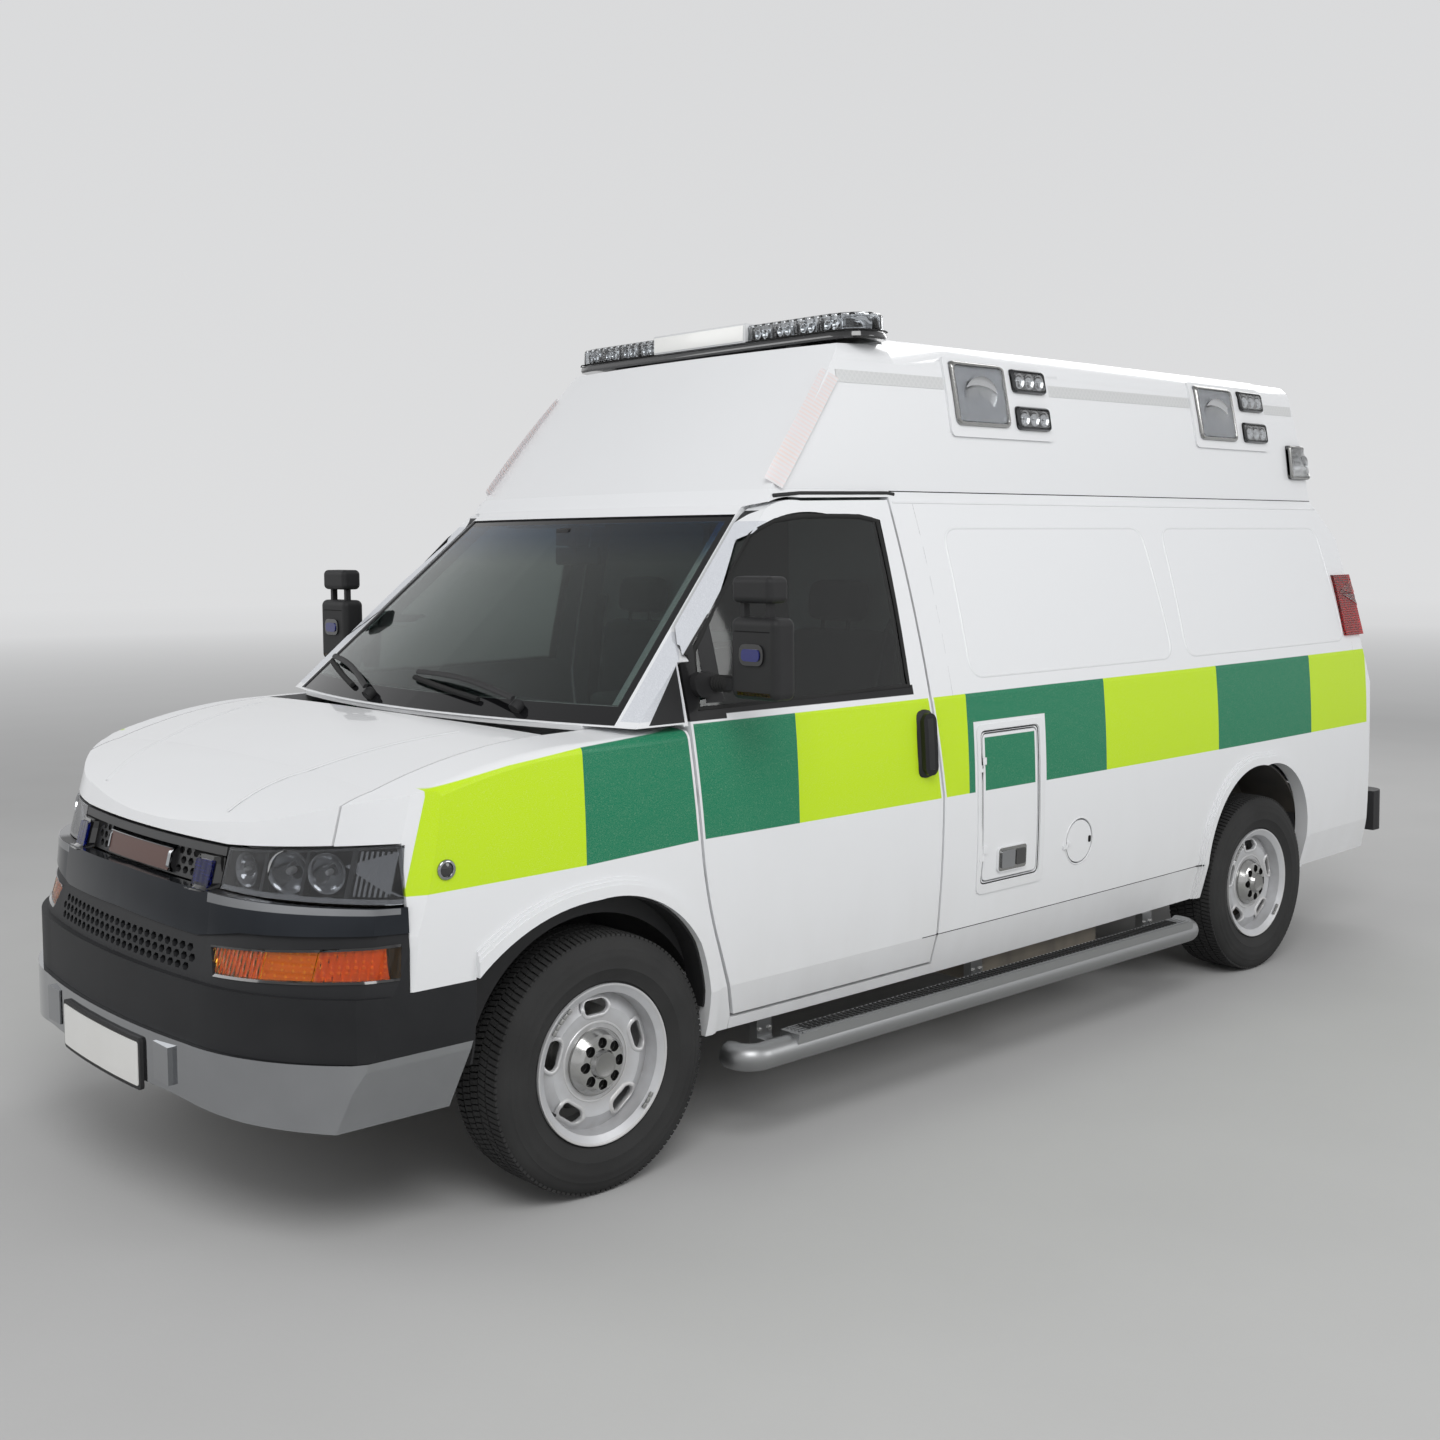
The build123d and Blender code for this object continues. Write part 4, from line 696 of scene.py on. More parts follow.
def box_into(bm: Mesh, low: Sequence[float], high: Sequence[float], bevel: float = 0,
             turn: Matrix | None = None) -> None:
    """Add a box with bevelled edges to a bmesh.

    Args:
        bm: The mesh that it is added to.
        low: Its lowest corner.
        high: Its highest corner.
        bevel: Width of the bevel on every edge.
        turn: A matrix applied afterwards.
    """
    centre = [(a + b) / 2 for a, b in zip(low, high)]
    size = [b - a for a, b in zip(low, high)]
    made = bmesh.ops.create_cube(bm, size=1, matrix=Matrix.Translation(centre) @ Matrix.Diagonal((*size, 1)))
    verts = made["verts"]
    if bevel > 0:
        edges = list({edge for vert in verts for edge in vert.link_edges})
        done = bmesh.ops.bevel(bm, geom=edges, offset=bevel, segments=2, affect="EDGES", profile=0.5)
        verts = list({vert for face in done["faces"] for vert in face.verts} | {v for v in verts if v.is_valid})
    if turn is not None:
        bmesh.ops.transform(bm, matrix=turn, verts=[v for v in verts if v.is_valid])


def rings_into(bm: Mesh, rings: Sequence[list], closed: bool = False) -> None:
    """Join neighbouring rings of corners with quads; a ring of one corner makes triangles.

    Args:
        bm: The mesh that holds the corners.
        rings: Lists of corners, each of one length or of one corner.
        closed: Whether the last ring joins the first.
    """
    pairs = list(zip(rings, rings[1:]))
    if closed:
        pairs.append((rings[-1], rings[0]))
    for one, two in pairs:
        count = max(len(one), len(two))
        for i in range(count):
            j = (i + 1) % count
            corners = ((one[0],) if len(one) == 1 else (one[i], one[j])) + (
                (two[0],) if len(two) == 1 else (two[j], two[i]))
            if len(corners) > 2:
                bm.faces.new(corners)


def turned_into(bm: Mesh, profile: Sequence[Pair], base: Matrix, segments: int = 48) -> None:
    """Add a turned form to a bmesh.

    Args:
        bm: The mesh that it is added to.
        profile: Pairs of radius and distance along the axis, closed on the axis or on itself.
        base: Places the local x axis, which the profile is turned about.
        segments: Steps round the axis.
    """
    rings = []
    for radius, along in profile:
        if radius < 1e-6:
            rings.append([bm.verts.new(base @ Vector((along, 0, 0)))])
            continue
        ring = []
        for i in range(segments):
            a = 2 * math.pi * i / segments
            ring.append(bm.verts.new(base @ Vector((along, radius * math.cos(a), radius * math.sin(a)))))
        rings.append(ring)
    rings_into(bm, rings, closed=profile[0][0] > 1e-6 and profile[-1][0] > 1e-6)


def tube_into(bm: Mesh, path: Sequence[Sequence[float]], radius: float, sides: int = 10,
              flat: float = 1, up: Vector = Vector((0, 0, 1))) -> None:
    """Add a capped tube along a path to a bmesh.

    Args:
        bm: The mesh that it is added to.
        path: Points of its middle line.
        radius: Half its width.
        sides: Faces round it.
        flat: Its height as a share of its width.
        up: The direction in which it is flattened.
    """
    points = [Vector(p) for p in path]
    rings = []
    for i, point in enumerate(points):
        ahead = points[min(i + 1, len(points) - 1)] - points[max(i - 1, 0)]
        ahead.normalize()
        across = ahead.cross(up).normalized()
        top = across.cross(ahead).normalized()
        ring = []
        for k in range(sides):
            a = 2 * math.pi * k / sides
            ring.append(bm.verts.new(point + across * radius * math.cos(a) + top * radius * flat * math.sin(a)))
        rings.append(ring)
    rings_into(bm, rings)
    bm.faces.new(rings[0][::-1])
    bm.faces.new(rings[-1])


def dress(piece: Piece, finish: Material, body: str) -> Piece:
    """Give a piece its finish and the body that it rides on."""
    if not piece.data.materials:
        piece.data.materials.append(finish)
    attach(piece, body)
    log.info("%s: %d faces on %s", piece.name, len(piece.data.polygons), body)
    return piece


class Skin:
    """The outer surface of some CAD nodes, for laying trim on it."""

    def __init__(self, *nodes: str) -> None:
        """Gather the nodes' faces.

        Args:
            *nodes: Names of CAD nodes.
        """
        verts: list[Vector] = []
        faces: list[tuple[int, ...]] = []
        for node in nodes:
            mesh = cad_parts[node].data
            start = len(verts)
            verts.extend(v.co.copy() for v in mesh.vertices)
            faces.extend(tuple(i + start for i in p.vertices) for p in mesh.polygons)
        self._tree = BVHTree.FromPolygons(verts, faces)
        self._middle = sum(verts, Vector()) / len(verts)

    def side(self, y: float, z: float, sign: float = 1) -> Vector:
        """The point of the left (or right) skin at a y and z."""
        return self.hit((sign * 3, y, z), (-sign, 0, 0))

    def hit(self, start: Sequence[float], way: Sequence[float]) -> Vector:
        """The first point that a ray meets, or the nearest one beside it."""
        along = Vector(way).normalized()
        beside = Vector(start) + along * (self._middle - Vector(start)).dot(along)
        return self.meets(start, way) or self._tree.find_nearest(beside)[0]

    def meets(self, start: Sequence[float], way: Sequence[float]) -> Vector | None:
        """The first point that a ray meets, if any."""
        return self._tree.ray_cast(Vector(start), Vector(way))[0]


class Repeat(Enum):
    """How a Geometry Nodes tree repeats its unit."""

    ROUND_AXLE = "round_axle"
    ALONG_LINE = "along_line"


class Repeater:
    """A Geometry Nodes tree that repeats a unit mesh round an axle or along a line."""

    def __init__(self, kind: Repeat) -> None:
        """Build the tree.

        Args:
            kind: Whether copies are turned about x or moved along a line.
        """
        self.group = bpy.data.node_groups.new(kind.value, "GeometryNodeTree")
        side = self.group.interface
        side.new_socket("Geometry", in_out="OUTPUT", socket_type="NodeSocketGeometry")
        self.inputs = {}
        for name, sort in (("Geometry", "Geometry"), ("Count", "Int"), ("Step", "Vector"), ("Turn", "Vector"),
                           ("Start", "Vector"), ("Finish", "Material")):
            made = side.new_socket(name, in_out="INPUT", socket_type="NodeSocket" + sort)
            self.inputs[name] = made.identifier
        kinds = {"given": "NodeGroupInput", "line": "GeometryNodeMeshLine", "index": "GeometryNodeInputIndex",
                 "copies": "GeometryNodeInstanceOnPoints", "turn": "ShaderNodeVectorMath",
                 "move": "GeometryNodeTransform", "real": "GeometryNodeRealizeInstances",
                 "finish": "GeometryNodeSetMaterial", "out": "NodeGroupOutput"}
        nodes = {key: self.group.nodes.new(sort) for key, sort in kinds.items()}
        nodes["turn"].operation = "SCALE"
        for source, output, target, socket in (
                ("given", "Count", "line", "Count"), ("given", "Step", "line", "Offset"),
                ("line", 0, "copies", "Points"), ("given", "Geometry", "copies", "Instance"),
                ("given", "Turn", "turn", 0), ("index", 0, "turn", "Scale"),
                ("turn", 0, "copies", "Rotation"), ("copies", 0, "move", "Geometry"),
                ("given", "Start", "move", "Translation"), ("move", 0, "real", 0), ("real", 0, "finish", "Geometry"),
                ("given", "Finish", "finish", "Material"), ("finish", 0, "out", 0)):
            self.group.links.new(nodes[source].outputs[output], nodes[target].inputs[socket])

    def run(self, unit: Piece, name: str, finish: Material, count: int,
            step: Point = (0, 0, 0), turn: Point = (0, 0, 0),
            start: Point = (0, 0, 0)) -> Piece:
        """Repeat a unit and return the result as a plain mesh object.

        Args:
            unit: The object that is repeated; it is removed.
            name: The result's name.
            finish: Its material.
            count: How many copies.
            step: Shift from one copy to the next.
            turn: Turn from one copy to the next, in radians.
            start: Shift of all copies.

        Returns:
            The new object.
        """
        modifier = unit.modifiers.new("repeat", "NODES")
        modifier.node_group = self.group
        values = {"Count": count, "Step": step, "Turn": turn, "Start": start, "Finish": finish}
        for key, value in values.items():
            modifier[self.inputs[key]] = value
        graph = bpy.context.evaluated_depsgraph_get()
        mesh = bpy.data.meshes.new_from_object(unit.evaluated_get(graph))
        mesh.name = name
        bpy.data.objects.remove(unit)
        if finish.name not in mesh.materials:
            mesh.materials.append(finish)
        return new_object(name, mesh)


def base_at(at: Vector, *axes: Vector) -> Matrix:
    """A base at a point with three axes of its own."""
    return Matrix.Translation(at) @ Matrix(axes).transposed().to_4x4()


def facing_base(at: Vector, way: Vector, high: float = 1) -> Matrix:
    """A base at a point whose x axis looks along a direction, with its height stretched."""
    out = way.normalized()
    across = out.cross(Vector((0, 0, 1))).normalized()
    return base_at(at, out, across, across.cross(out) * high)


@dataclass
class Workshop:
    """What every sub-assembly needs: finishes, repeaters and the skin of the body."""

    finishes: Finishes
    round_axle: Repeater
    along_line: Repeater
    body_skin: Skin
    door_skin: Skin
    cap_skin: Skin

    def make(self, name: str, bm: Mesh, finish: str, slot: str = "", body: str = "chassis",
             angle: float | None = 35) -> Piece:
        """Turn a bmesh into a dressed piece.

        Args:
            name: The piece's name.
            bm: Its mesh, freed afterwards.
            finish: Name of its finish.
            slot: The record's material slot, if it has one; not used.
            body: The body that it rides on.
            angle: Edges sharper than this many degrees stay sharp.

        Returns:
            The piece.
        """
        return dress(from_bmesh(name, bm, angle), self.finishes[finish], body)

    def lay(self, name: str, skin: Skin, outlines: Sequence[Sequence[Point]], way: Sequence[float],
            lift: Pair, finish: str, slot: str = "", body: str = "chassis",
            step: float = 0.03) -> Piece:
        """Lay sheets on a skin as one piece.

        Args:
            name: The piece's name.
            skin: The surface that they lie on.
            outlines: The sheets' corners.
            way: The direction in which they are pressed on the skin.
            lift: How far their faces stand off the skin, and how far their backs lie in it.
            finish: Name of the finish.
            slot: The record's material slot, if it has one.
            body: The body that it rides on.
            step: Largest distance between cuts.

        Returns:
            The piece.
        """
        bm = bmesh.new()
        for outline in outlines:
            laid_into(bm, skin, outline, way, *lift, step)
        return self.make(name, bm, finish, slot, body)

    def row(self, name: str, half: Point, finish: str, slot: str, count: int, step: Point, start: Point,
            bevel: float = 0.0012) -> Piece:
        """A row of small bevelled blocks as one piece.

        Args:
            name: The piece's name.
            half: Half the size of one block.
            finish: Name of the finish.
            slot: The record's material slot, if it has one; not used.
            count: How many blocks.
            step: Shift from one block to the next.
            start: Middle of the first block.
            bevel: Width of the bevel.

        Returns:
            The piece.
        """
        bm = bmesh.new()
        box_into(bm, [-h for h in half], half, bevel)
        made = self.along_line.run(from_bmesh("unit", bm, None), name, self.finishes[finish], count, step=step,
                                   start=start)
        return dress(made, self.finishes[finish], "chassis")


# ---------------------------------------------------------------- sub-assemblies


@dataclass
class CadDressing:
    """Finishes for the CAD nodes whose shape stays."""

    shop: Workshop

    TABLE = (
        ("livery", ("side_left", "side_right", "fenders", "cab_frame", "sliding_door", "locker_door", "fuel_flap")),
        ("livery_door", ("door_left", "door_right")),
        ("white_paint", ("roof_cap", "hood", "rear_door_left", "rear_door_right")),
        ("screen_glass", ("windscreen",)),
        ("cab_glass", ("door_left_glass", "door_right_glass")),
        ("privacy_glass", ("rear_glass_left", "rear_glass_right")),
        ("bumper_plastic", ("bumper_cover",)),
        ("black_plastic", ("black_trim", "rear_bumper")),
        ("mirror_shell", ("mirror_left", "mirror_right")),
        ("chrome", ("front_bumper",)),
        ("chassis_black", ("floor_frame",)),
        ("cast_iron", ("suspension", "knuckle_left", "knuckle_right", "driveline")),
        ("aluminium", ("running_boards",)),
        ("cab_plastic", ("dashboard",)),
        ("lining", ("fitout",)),
        ("red_lens", ("tail_lamps",)),
        ("grille_paint", ("grille",)),
        ("wheel_paint", ("wheel_front_left", "wheel_front_right", "wheel_rear_left", "wheel_rear_right")),
    )

    def dress(self) -> None:
        """Assign each node's finish."""
        for finish, nodes in self.TABLE:
            for node in nodes:
                self.paint(node, finish)

    def paint(self, node: str, finish: str) -> None:
        """Give one CAD node a finish."""
        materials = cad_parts[node].data.materials
        materials.clear()
        materials.append(self.shop.finishes[finish])


def laid_into(bm: Mesh, skin: Skin, outline: Sequence[Sequence[float]], way: Sequence[float],
              proud: float, sunk: float = 0.0004, step: float = 0.03) -> None:
    """Add a sheet that follows a skin to a bmesh.

    Args:
        bm: The mesh that it is added to.
        skin: The surface that it lies on.
        outline: Corners of the sheet as seen along the way.
        way: The direction in which the sheet is pressed on the skin.
        proud: How far its face stands off the skin.
        sunk: How far its back lies in the skin, or off it where negative.
        step: Largest distance between its cuts.
    """
    ahead = Vector(way).normalized()
    across = ahead.cross(Vector((0, 0, 1))).normalized()
    top = across.cross(ahead)
    flat = [(Vector(p).dot(across), Vector(p).dot(top)) for p in outline]
    sheet = bmesh.new()
    sheet.faces.new([sheet.verts.new((u, v, 0)) for u, v in flat])
    for axis in range(2):
        low = min(p[axis] for p in flat)
        high = max(p[axis] for p in flat)
        count = max(1, math.ceil((high - low) / step))
        for i in range(1, count):
            at = Vector((0, 0, 0))
            at[axis] = low + (high - low) * i / count
            normal = Vector((1 - axis, float(axis), 0))
            bmesh.ops.bisect_plane(sheet, geom=sheet.verts[:] + sheet.edges[:] + sheet.faces[:], dist=1e-7,
                                   plane_co=at, plane_no=normal)
    backs = []
    fronts = []
    starts = [across * v.co.x + top * v.co.y - ahead * 6 for v in sheet.verts]
    found = [skin.meets(start, ahead) for start in starts]
    known = [(start, (spot - start).length) for start, spot in zip(starts, found) if spot]
    for start, spot in zip(starts, found):
        if not spot:
            spot = start + ahead * min(known, key=lambda pair: (pair[0] - start).length)[1]
        backs.append(bm.verts.new(spot + ahead * sunk))
        fronts.append(bm.verts.new(spot - ahead * proud))
    sheet.verts.index_update()
    for face in sheet.faces:
        index = [v.index for v in face.verts]
        bm.faces.new([fronts[i] for i in index])
        bm.faces.new([backs[i] for i in reversed(index)])
    for edge in sheet.edges:
        if len(edge.link_faces) == 1:
            loop = edge.link_loops[0]
            a = loop.vert.index
            b = loop.link_loop_next.vert.index
            bm.faces.new((fronts[b], fronts[a], backs[a], backs[b]))
    sheet.free()


def rounded(points: Sequence[Pair], radius: float, steps: int = 4) -> list[Pair]:
    """The corners of a flat outline cut to arcs.

    Args:
        points: The corners.
        radius: How far from each corner its arc begins.
        steps: Parts of each arc.

    Returns:
        The new outline.
    """
    out = []
    for i, point in enumerate(points):
        here = Vector(point)
        before = Vector(points[i - 1]) - here
        after = Vector(points[(i + 1) % len(points)]) - here
        cut = min(radius, before.length * 0.45, after.length * 0.45)
        a = here + before.normalized() * cut
        b = here + after.normalized() * cut
        for k in range(steps + 1):
            t = k / steps
            spot = a * (1 - t) ** 2 + here * 2 * t * (1 - t) + b * t ** 2
            out.append((spot.x, spot.y))
    return out


def side_outline(points: Sequence[Pair]) -> list[Point]:
    """Drawing (y, z) pairs in millimetres as frame points for a sheet on the side."""
    return [(0, y_of(y), z_of(z)) for y, z in points]


def front_outline(points: Sequence[Pair]) -> list[Point]:
    """Drawing (x, z) pairs in millimetres as frame points for a sheet on the front or rear."""
    return [(x / MM, 0, z_of(z)) for x, z in points]


def rectangle(a0: float, a1: float, b0: float, b1: float) -> list[Pair]:
    """The corners of a rectangle."""
    return [(a0, b0), (a1, b0), (a1, b1), (a0, b1)]


SIDES = (("left", 1), ("right", -1))
LEFT = (-1, 0, 0)
RIGHT = (1, 0, 0)
FRONT = (0, 1, 0)
REAR = (0, -1, 0)


@dataclass(frozen=True)
class WheelPlace:
    """Where a wheel stands and what it belongs to."""

    corner: str
    x: float
    y: float
    steered: bool

    @property
    def side(self) -> float:
        """1 on the left, -1 on the right."""
        return math.copysign(1, self.x)

    @property
    def base(self) -> Matrix:
        """Places a form turned about x, with +x pointing outward."""
        turn = ORIGIN if self.side > 0 else Matrix.Rotation(math.pi, 4, "Z")
        return Matrix.Translation((self.x, self.y, WHEEL_Z)) @ turn


WHEELS = (
    WheelPlace("front_left", 0.874, AXLE_Y, True),
    WheelPlace("front_right", -0.874, AXLE_Y, True),
    WheelPlace("rear_left", 0.852, REAR_AXLE_Y, False),
    WheelPlace("rear_right", -0.852, REAR_AXLE_Y, False),
)


@dataclass
class Tyre:
    """A tyre with grooved tread, shoulder blocks and ringed side walls."""

    shop: Workshop
    place: WheelPlace
    pitches: int = 64
    base_r: float = 0.3515
    block_r: float = 0.3598

    PROFILE = ((0.2062, 0.0890), (0.2262, 0.0915), (0.2290, 0.0965), (0.2340, 0.0975), (0.2400, 0.1010),
               (0.2620, 0.1085), (0.2640, 0.1102), (0.2665, 0.1102), (0.2685, 0.1094), (0.2920, 0.1126),
               (0.3020, 0.1126), (0.3032, 0.1120), (0.3180, 0.1108), (0.3190, 0.1098), (0.3290, 0.1075),
               (0.3380, 0.1035), (0.3480, 0.0955))
    RIBS = ((-0.0145, 0.0145, 0, 0.74), (0.0215, 0.0505, 0.35, 0.78), (-0.0505, -0.0215, 0.65, 0.78),
            (0.0575, 0.0940, 0.15, 0.70), (-0.0940, -0.0575, 0.85, 0.70))

    def build(self) -> Piece:
        """Make the carcass and its tread."""
        bm = bmesh.new()
        outer = list(self.PROFILE)
        inner = [(r, -x) for r, x in reversed(self.PROFILE)]
        crown = [(self.base_r, x) for x in (0.0905, 0.054, 0, -0.054, -0.0905)]
        turned_into(bm, outer + crown + inner, self.place.base, 72)
        carcass = from_bmesh(f"tyre_{self.place.corner}_carcass", bm, 40)
        carcass.data.materials.append(self.shop.finishes["tyre_rubber"])
        tread = self._tread()
        joined = self._joined(carcass, tread)
        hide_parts(f"tyre_{self.place.corner}")
        return dress(joined, self.shop.finishes["tyre_rubber"], f"wheel_{self.place.corner}")

    def _tread(self) -> Piece:
        """One pitch of blocks repeated round the axle."""
        bm = bmesh.new()
        pitch = 2 * math.pi / self.pitches
        for x0, x1, shift, share in self.RIBS:
            for half in range(2):
                a0 = (shift + half * 0.5) * pitch
                a1 = a0 + share * pitch * 0.5
                skew = 0.16 * pitch if x0 < 0 else -0.16 * pitch
                corners = ((x0, a0), (x1, a0 + skew), (x1, a1 + skew), (x0, a1))
                rings = []
                for radius in (self.base_r - 0.004, self.block_r):
                    ring = []
                    for x, a in corners:
                        drop = 0.0038 if radius > self.base_r and abs(x) > 0.09 else 0
                        r = radius - drop
                        ring.append(bm.verts.new((x, r * math.sin(a), r * math.cos(a))))
                    rings.append(ring)
                bm.faces.new(rings[0])
                bm.faces.new(rings[1][::-1])
                rings_into(bm, rings)
        unit = from_bmesh("tread_unit", bm, None)
        ring = self.shop.round_axle.run(unit, f"tread_{self.place.corner}", self.shop.finishes["tyre_rubber"],
                                        self.pitches, turn=(pitch, 0, 0))
        ring.data.transform(self.place.base)
        return ring

    @staticmethod
    def _joined(one: Piece, two: Piece) -> Piece:
        """Two mesh objects of one finish as one."""
        bm = bmesh.new()
        bm.from_mesh(one.data)
        bm.from_mesh(two.data)
        bmesh.ops.recalc_face_normals(bm, faces=bm.faces)
        bm.to_mesh(one.data)
        bm.free()
        bpy.data.objects.remove(two)
        return one


@dataclass
class WheelDressing:
    """Lipped holes, balance weights, valve, cap ring and the brake behind a wheel."""

    shop: Workshop
    place: WheelPlace
    hole_at: float = 0.152
    hole_half_long: float = 0.0445
    hole_half_wide: float = 0.0235
    holes: int = 5

    def build(self) -> None:
        """Make the pieces on this wheel."""
        self._hole_lips()
        self._rim_details()
        self._cap()
        self._brake()

    def _ring_point(self, angle: float, grow: float) -> Pair:
        """A point of the slot's outline, grown outward: (along the rim, outward)."""
        half = self.hole_half_long - self.hole_half_wide
        r = self.hole_half_wide + grow
        x = math.cos(angle)
        return (math.copysign(half, x) if abs(x) > 1e-9 else 0) + r * x, r * math.sin(angle)

    def _hole_lips(self) -> None:
        """Rolled lips round the oval holes."""
        bm = bmesh.new()
        steps = 32
        section = ((0.0085, 0), (0.0062, 0.0030), (0.0020, 0.0046), (-0.0024, 0.0040), (-0.0042, 0.0012),
                   (-0.0042, -0.0080), (-0.0010, -0.0080), (0, -0.001))
        rings = []
        for k in range(steps):
            angle = 2 * math.pi * (k + 0.5) / steps
            ring = []
            for grow, lift in section:
                along, out = self._ring_point(angle, grow)
                radius = self.hole_at + out
                face = self._dish_x(radius)
                ring.append(bm.verts.new((face + lift, along, radius)))
            rings.append(ring)
        rings_into(bm, rings, closed=True)
        unit = from_bmesh("lip_unit", bm, 60)
        turn = 2 * math.pi / self.holes
        lips = self.shop.round_axle.run(unit, f"hole_lips_{self.place.corner}", self.shop.finishes["wheel_silver"],
                                        self.holes, turn=(turn, 0, 0))
        self._put(lips, "wheel_silver")

    @staticmethod
    def _dish_x(radius: float) -> float:
        """The dish's outer face at a radius, as in the rim's section."""
        table = ((0.096, 0.058), (0.150, 0.066), (0.190, 0.044), (0.196, 0.088))
        for (r0, x0), (r1, x1) in zip(table, table[1:]):
            if radius <= r1:
                return x0 + (x1 - x0) * (radius - r0) / (r1 - r0)
        return table[-1][1]

    def _put(self, piece: Piece, finish: str, body: str = "") -> None:
        """Move a piece made round the origin to this wheel and dress it."""
        piece.data.transform(self.place.base)
        dress(piece, self.shop.finishes[finish], body or f"wheel_{self.place.corner}")

    def _rim_details(self) -> None:
        """Balance weights clipped on the lip, the valve and a raised ring on the dish."""
        bm = bmesh.new()
        for start, count in ((0.6, 5), (3.9, 3)):
            for k in range(count):
                a = start + k * 0.085
                turn = Matrix.Rotation(a, 4, "X")
                box_into(bm, (0.0945, -0.0075, 0.1985), (0.1015, 0.0075, 0.2085), 0.0015, turn)
        weights = from_bmesh(f"balance_weights_{self.place.corner}", bm, 30)
        self._put(weights, "steel")
        bm = bmesh.new()
        stem = Matrix.Rotation(2.2, 4, "X") @ Matrix.Translation((0, 0, 0.1885))
        turned_into(bm, ((0, 0.040), (0.0058, 0.040), (0.0052, 0.060), (0.0046, 0.062), (0.0046, 0.074),
                         (0.0038, 0.078), (0, 0.078)), stem, 14)
        self._put(from_bmesh(f"valve_{self.place.corner}", bm, 30), "black_plastic")
        bm = bmesh.new()
        turned_into(bm, ((0.1035, 0.0555), (0.1065, 0.0620), (0.1100, 0.0625), (0.1135, 0.0585)),
                    ORIGIN, 64)
        turned_into(bm, ((0.2145, 0.0985), (0.2175, 0.1012), (0.2215, 0.1012), (0.2222, 0.0985), (0.2222, 0.0935),
                         (0.2150, 0.0935)), ORIGIN, 72)
        self._put(from_bmesh(f"rim_rings_{self.place.corner}", bm, 50), "wheel_silver")

    def _cap(self) -> None:
        """A bright ring round the cap and a blank badge in its eye; near-black discs in the cap's pockets are painted
        shade.
        """
        bm = bmesh.new()
        turned_into(bm, ((0.0765, 0.0835), (0.0790, 0.0790), (0.0885, 0.0672), (0.0925, 0.0662), (0.0935, 0.0635),
                         (0.0925, 0.0600), (0.0880, 0.0600), (0.0760, 0.0800)), ORIGIN, 64)
        turned_into(bm, ((0, 0.1040), (0, 0.1052), (0.0290, 0.1046), (0.0320, 0.1064), (0.0345, 0.1060),
                         (0.0358, 0.1036)), ORIGIN, 48)
        self._put(from_bmesh(f"cap_rings_{self.place.corner}", bm, 45), "cap_chrome")
        # Painted shade: near-black discs set in the cap's pockets.
        bm = bmesh.new()
        for k in range(8):
            at = Matrix.Rotation(math.pi / 4 * k, 4, "X") @ Matrix.Translation((0, 0, 0.058))
            turned_into(bm, ((0, 0.0742), (0, 0.0752), (0.0142, 0.0746), (0.0148, 0.0742)), at, 20)
        self._put(from_bmesh(f"cap_pocket_painted_shade_{self.place.corner}", bm, 30), "black_and_painted_shade")

    def _brake(self) -> None:
        """A disc and its bell in front; a drum behind."""
        bm = bmesh.new()
        if self.place.steered:
            turned_into(bm, ((0.062, 0.026), (0.062, 0.020), (0.092, 0.016), (0.096, -0.020), (0.148, -0.020),
                             (0.149, -0.044), (0.094, -0.044), (0.086, 0.010)), ORIGIN, 64)
            finish = "steel"
        else:
            turned_into(bm, ((0.060, 0.026), (0.060, 0.020), (0.140, 0.014), (0.150, 0.004), (0.152, -0.060),
                             (0.144, -0.060), (0.142, 0.004), (0.134, 0.008)), ORIGIN, 64)
            finish = "cast_iron"
        self._put(from_bmesh(f"brake_{self.place.corner}", bm, 35), finish)


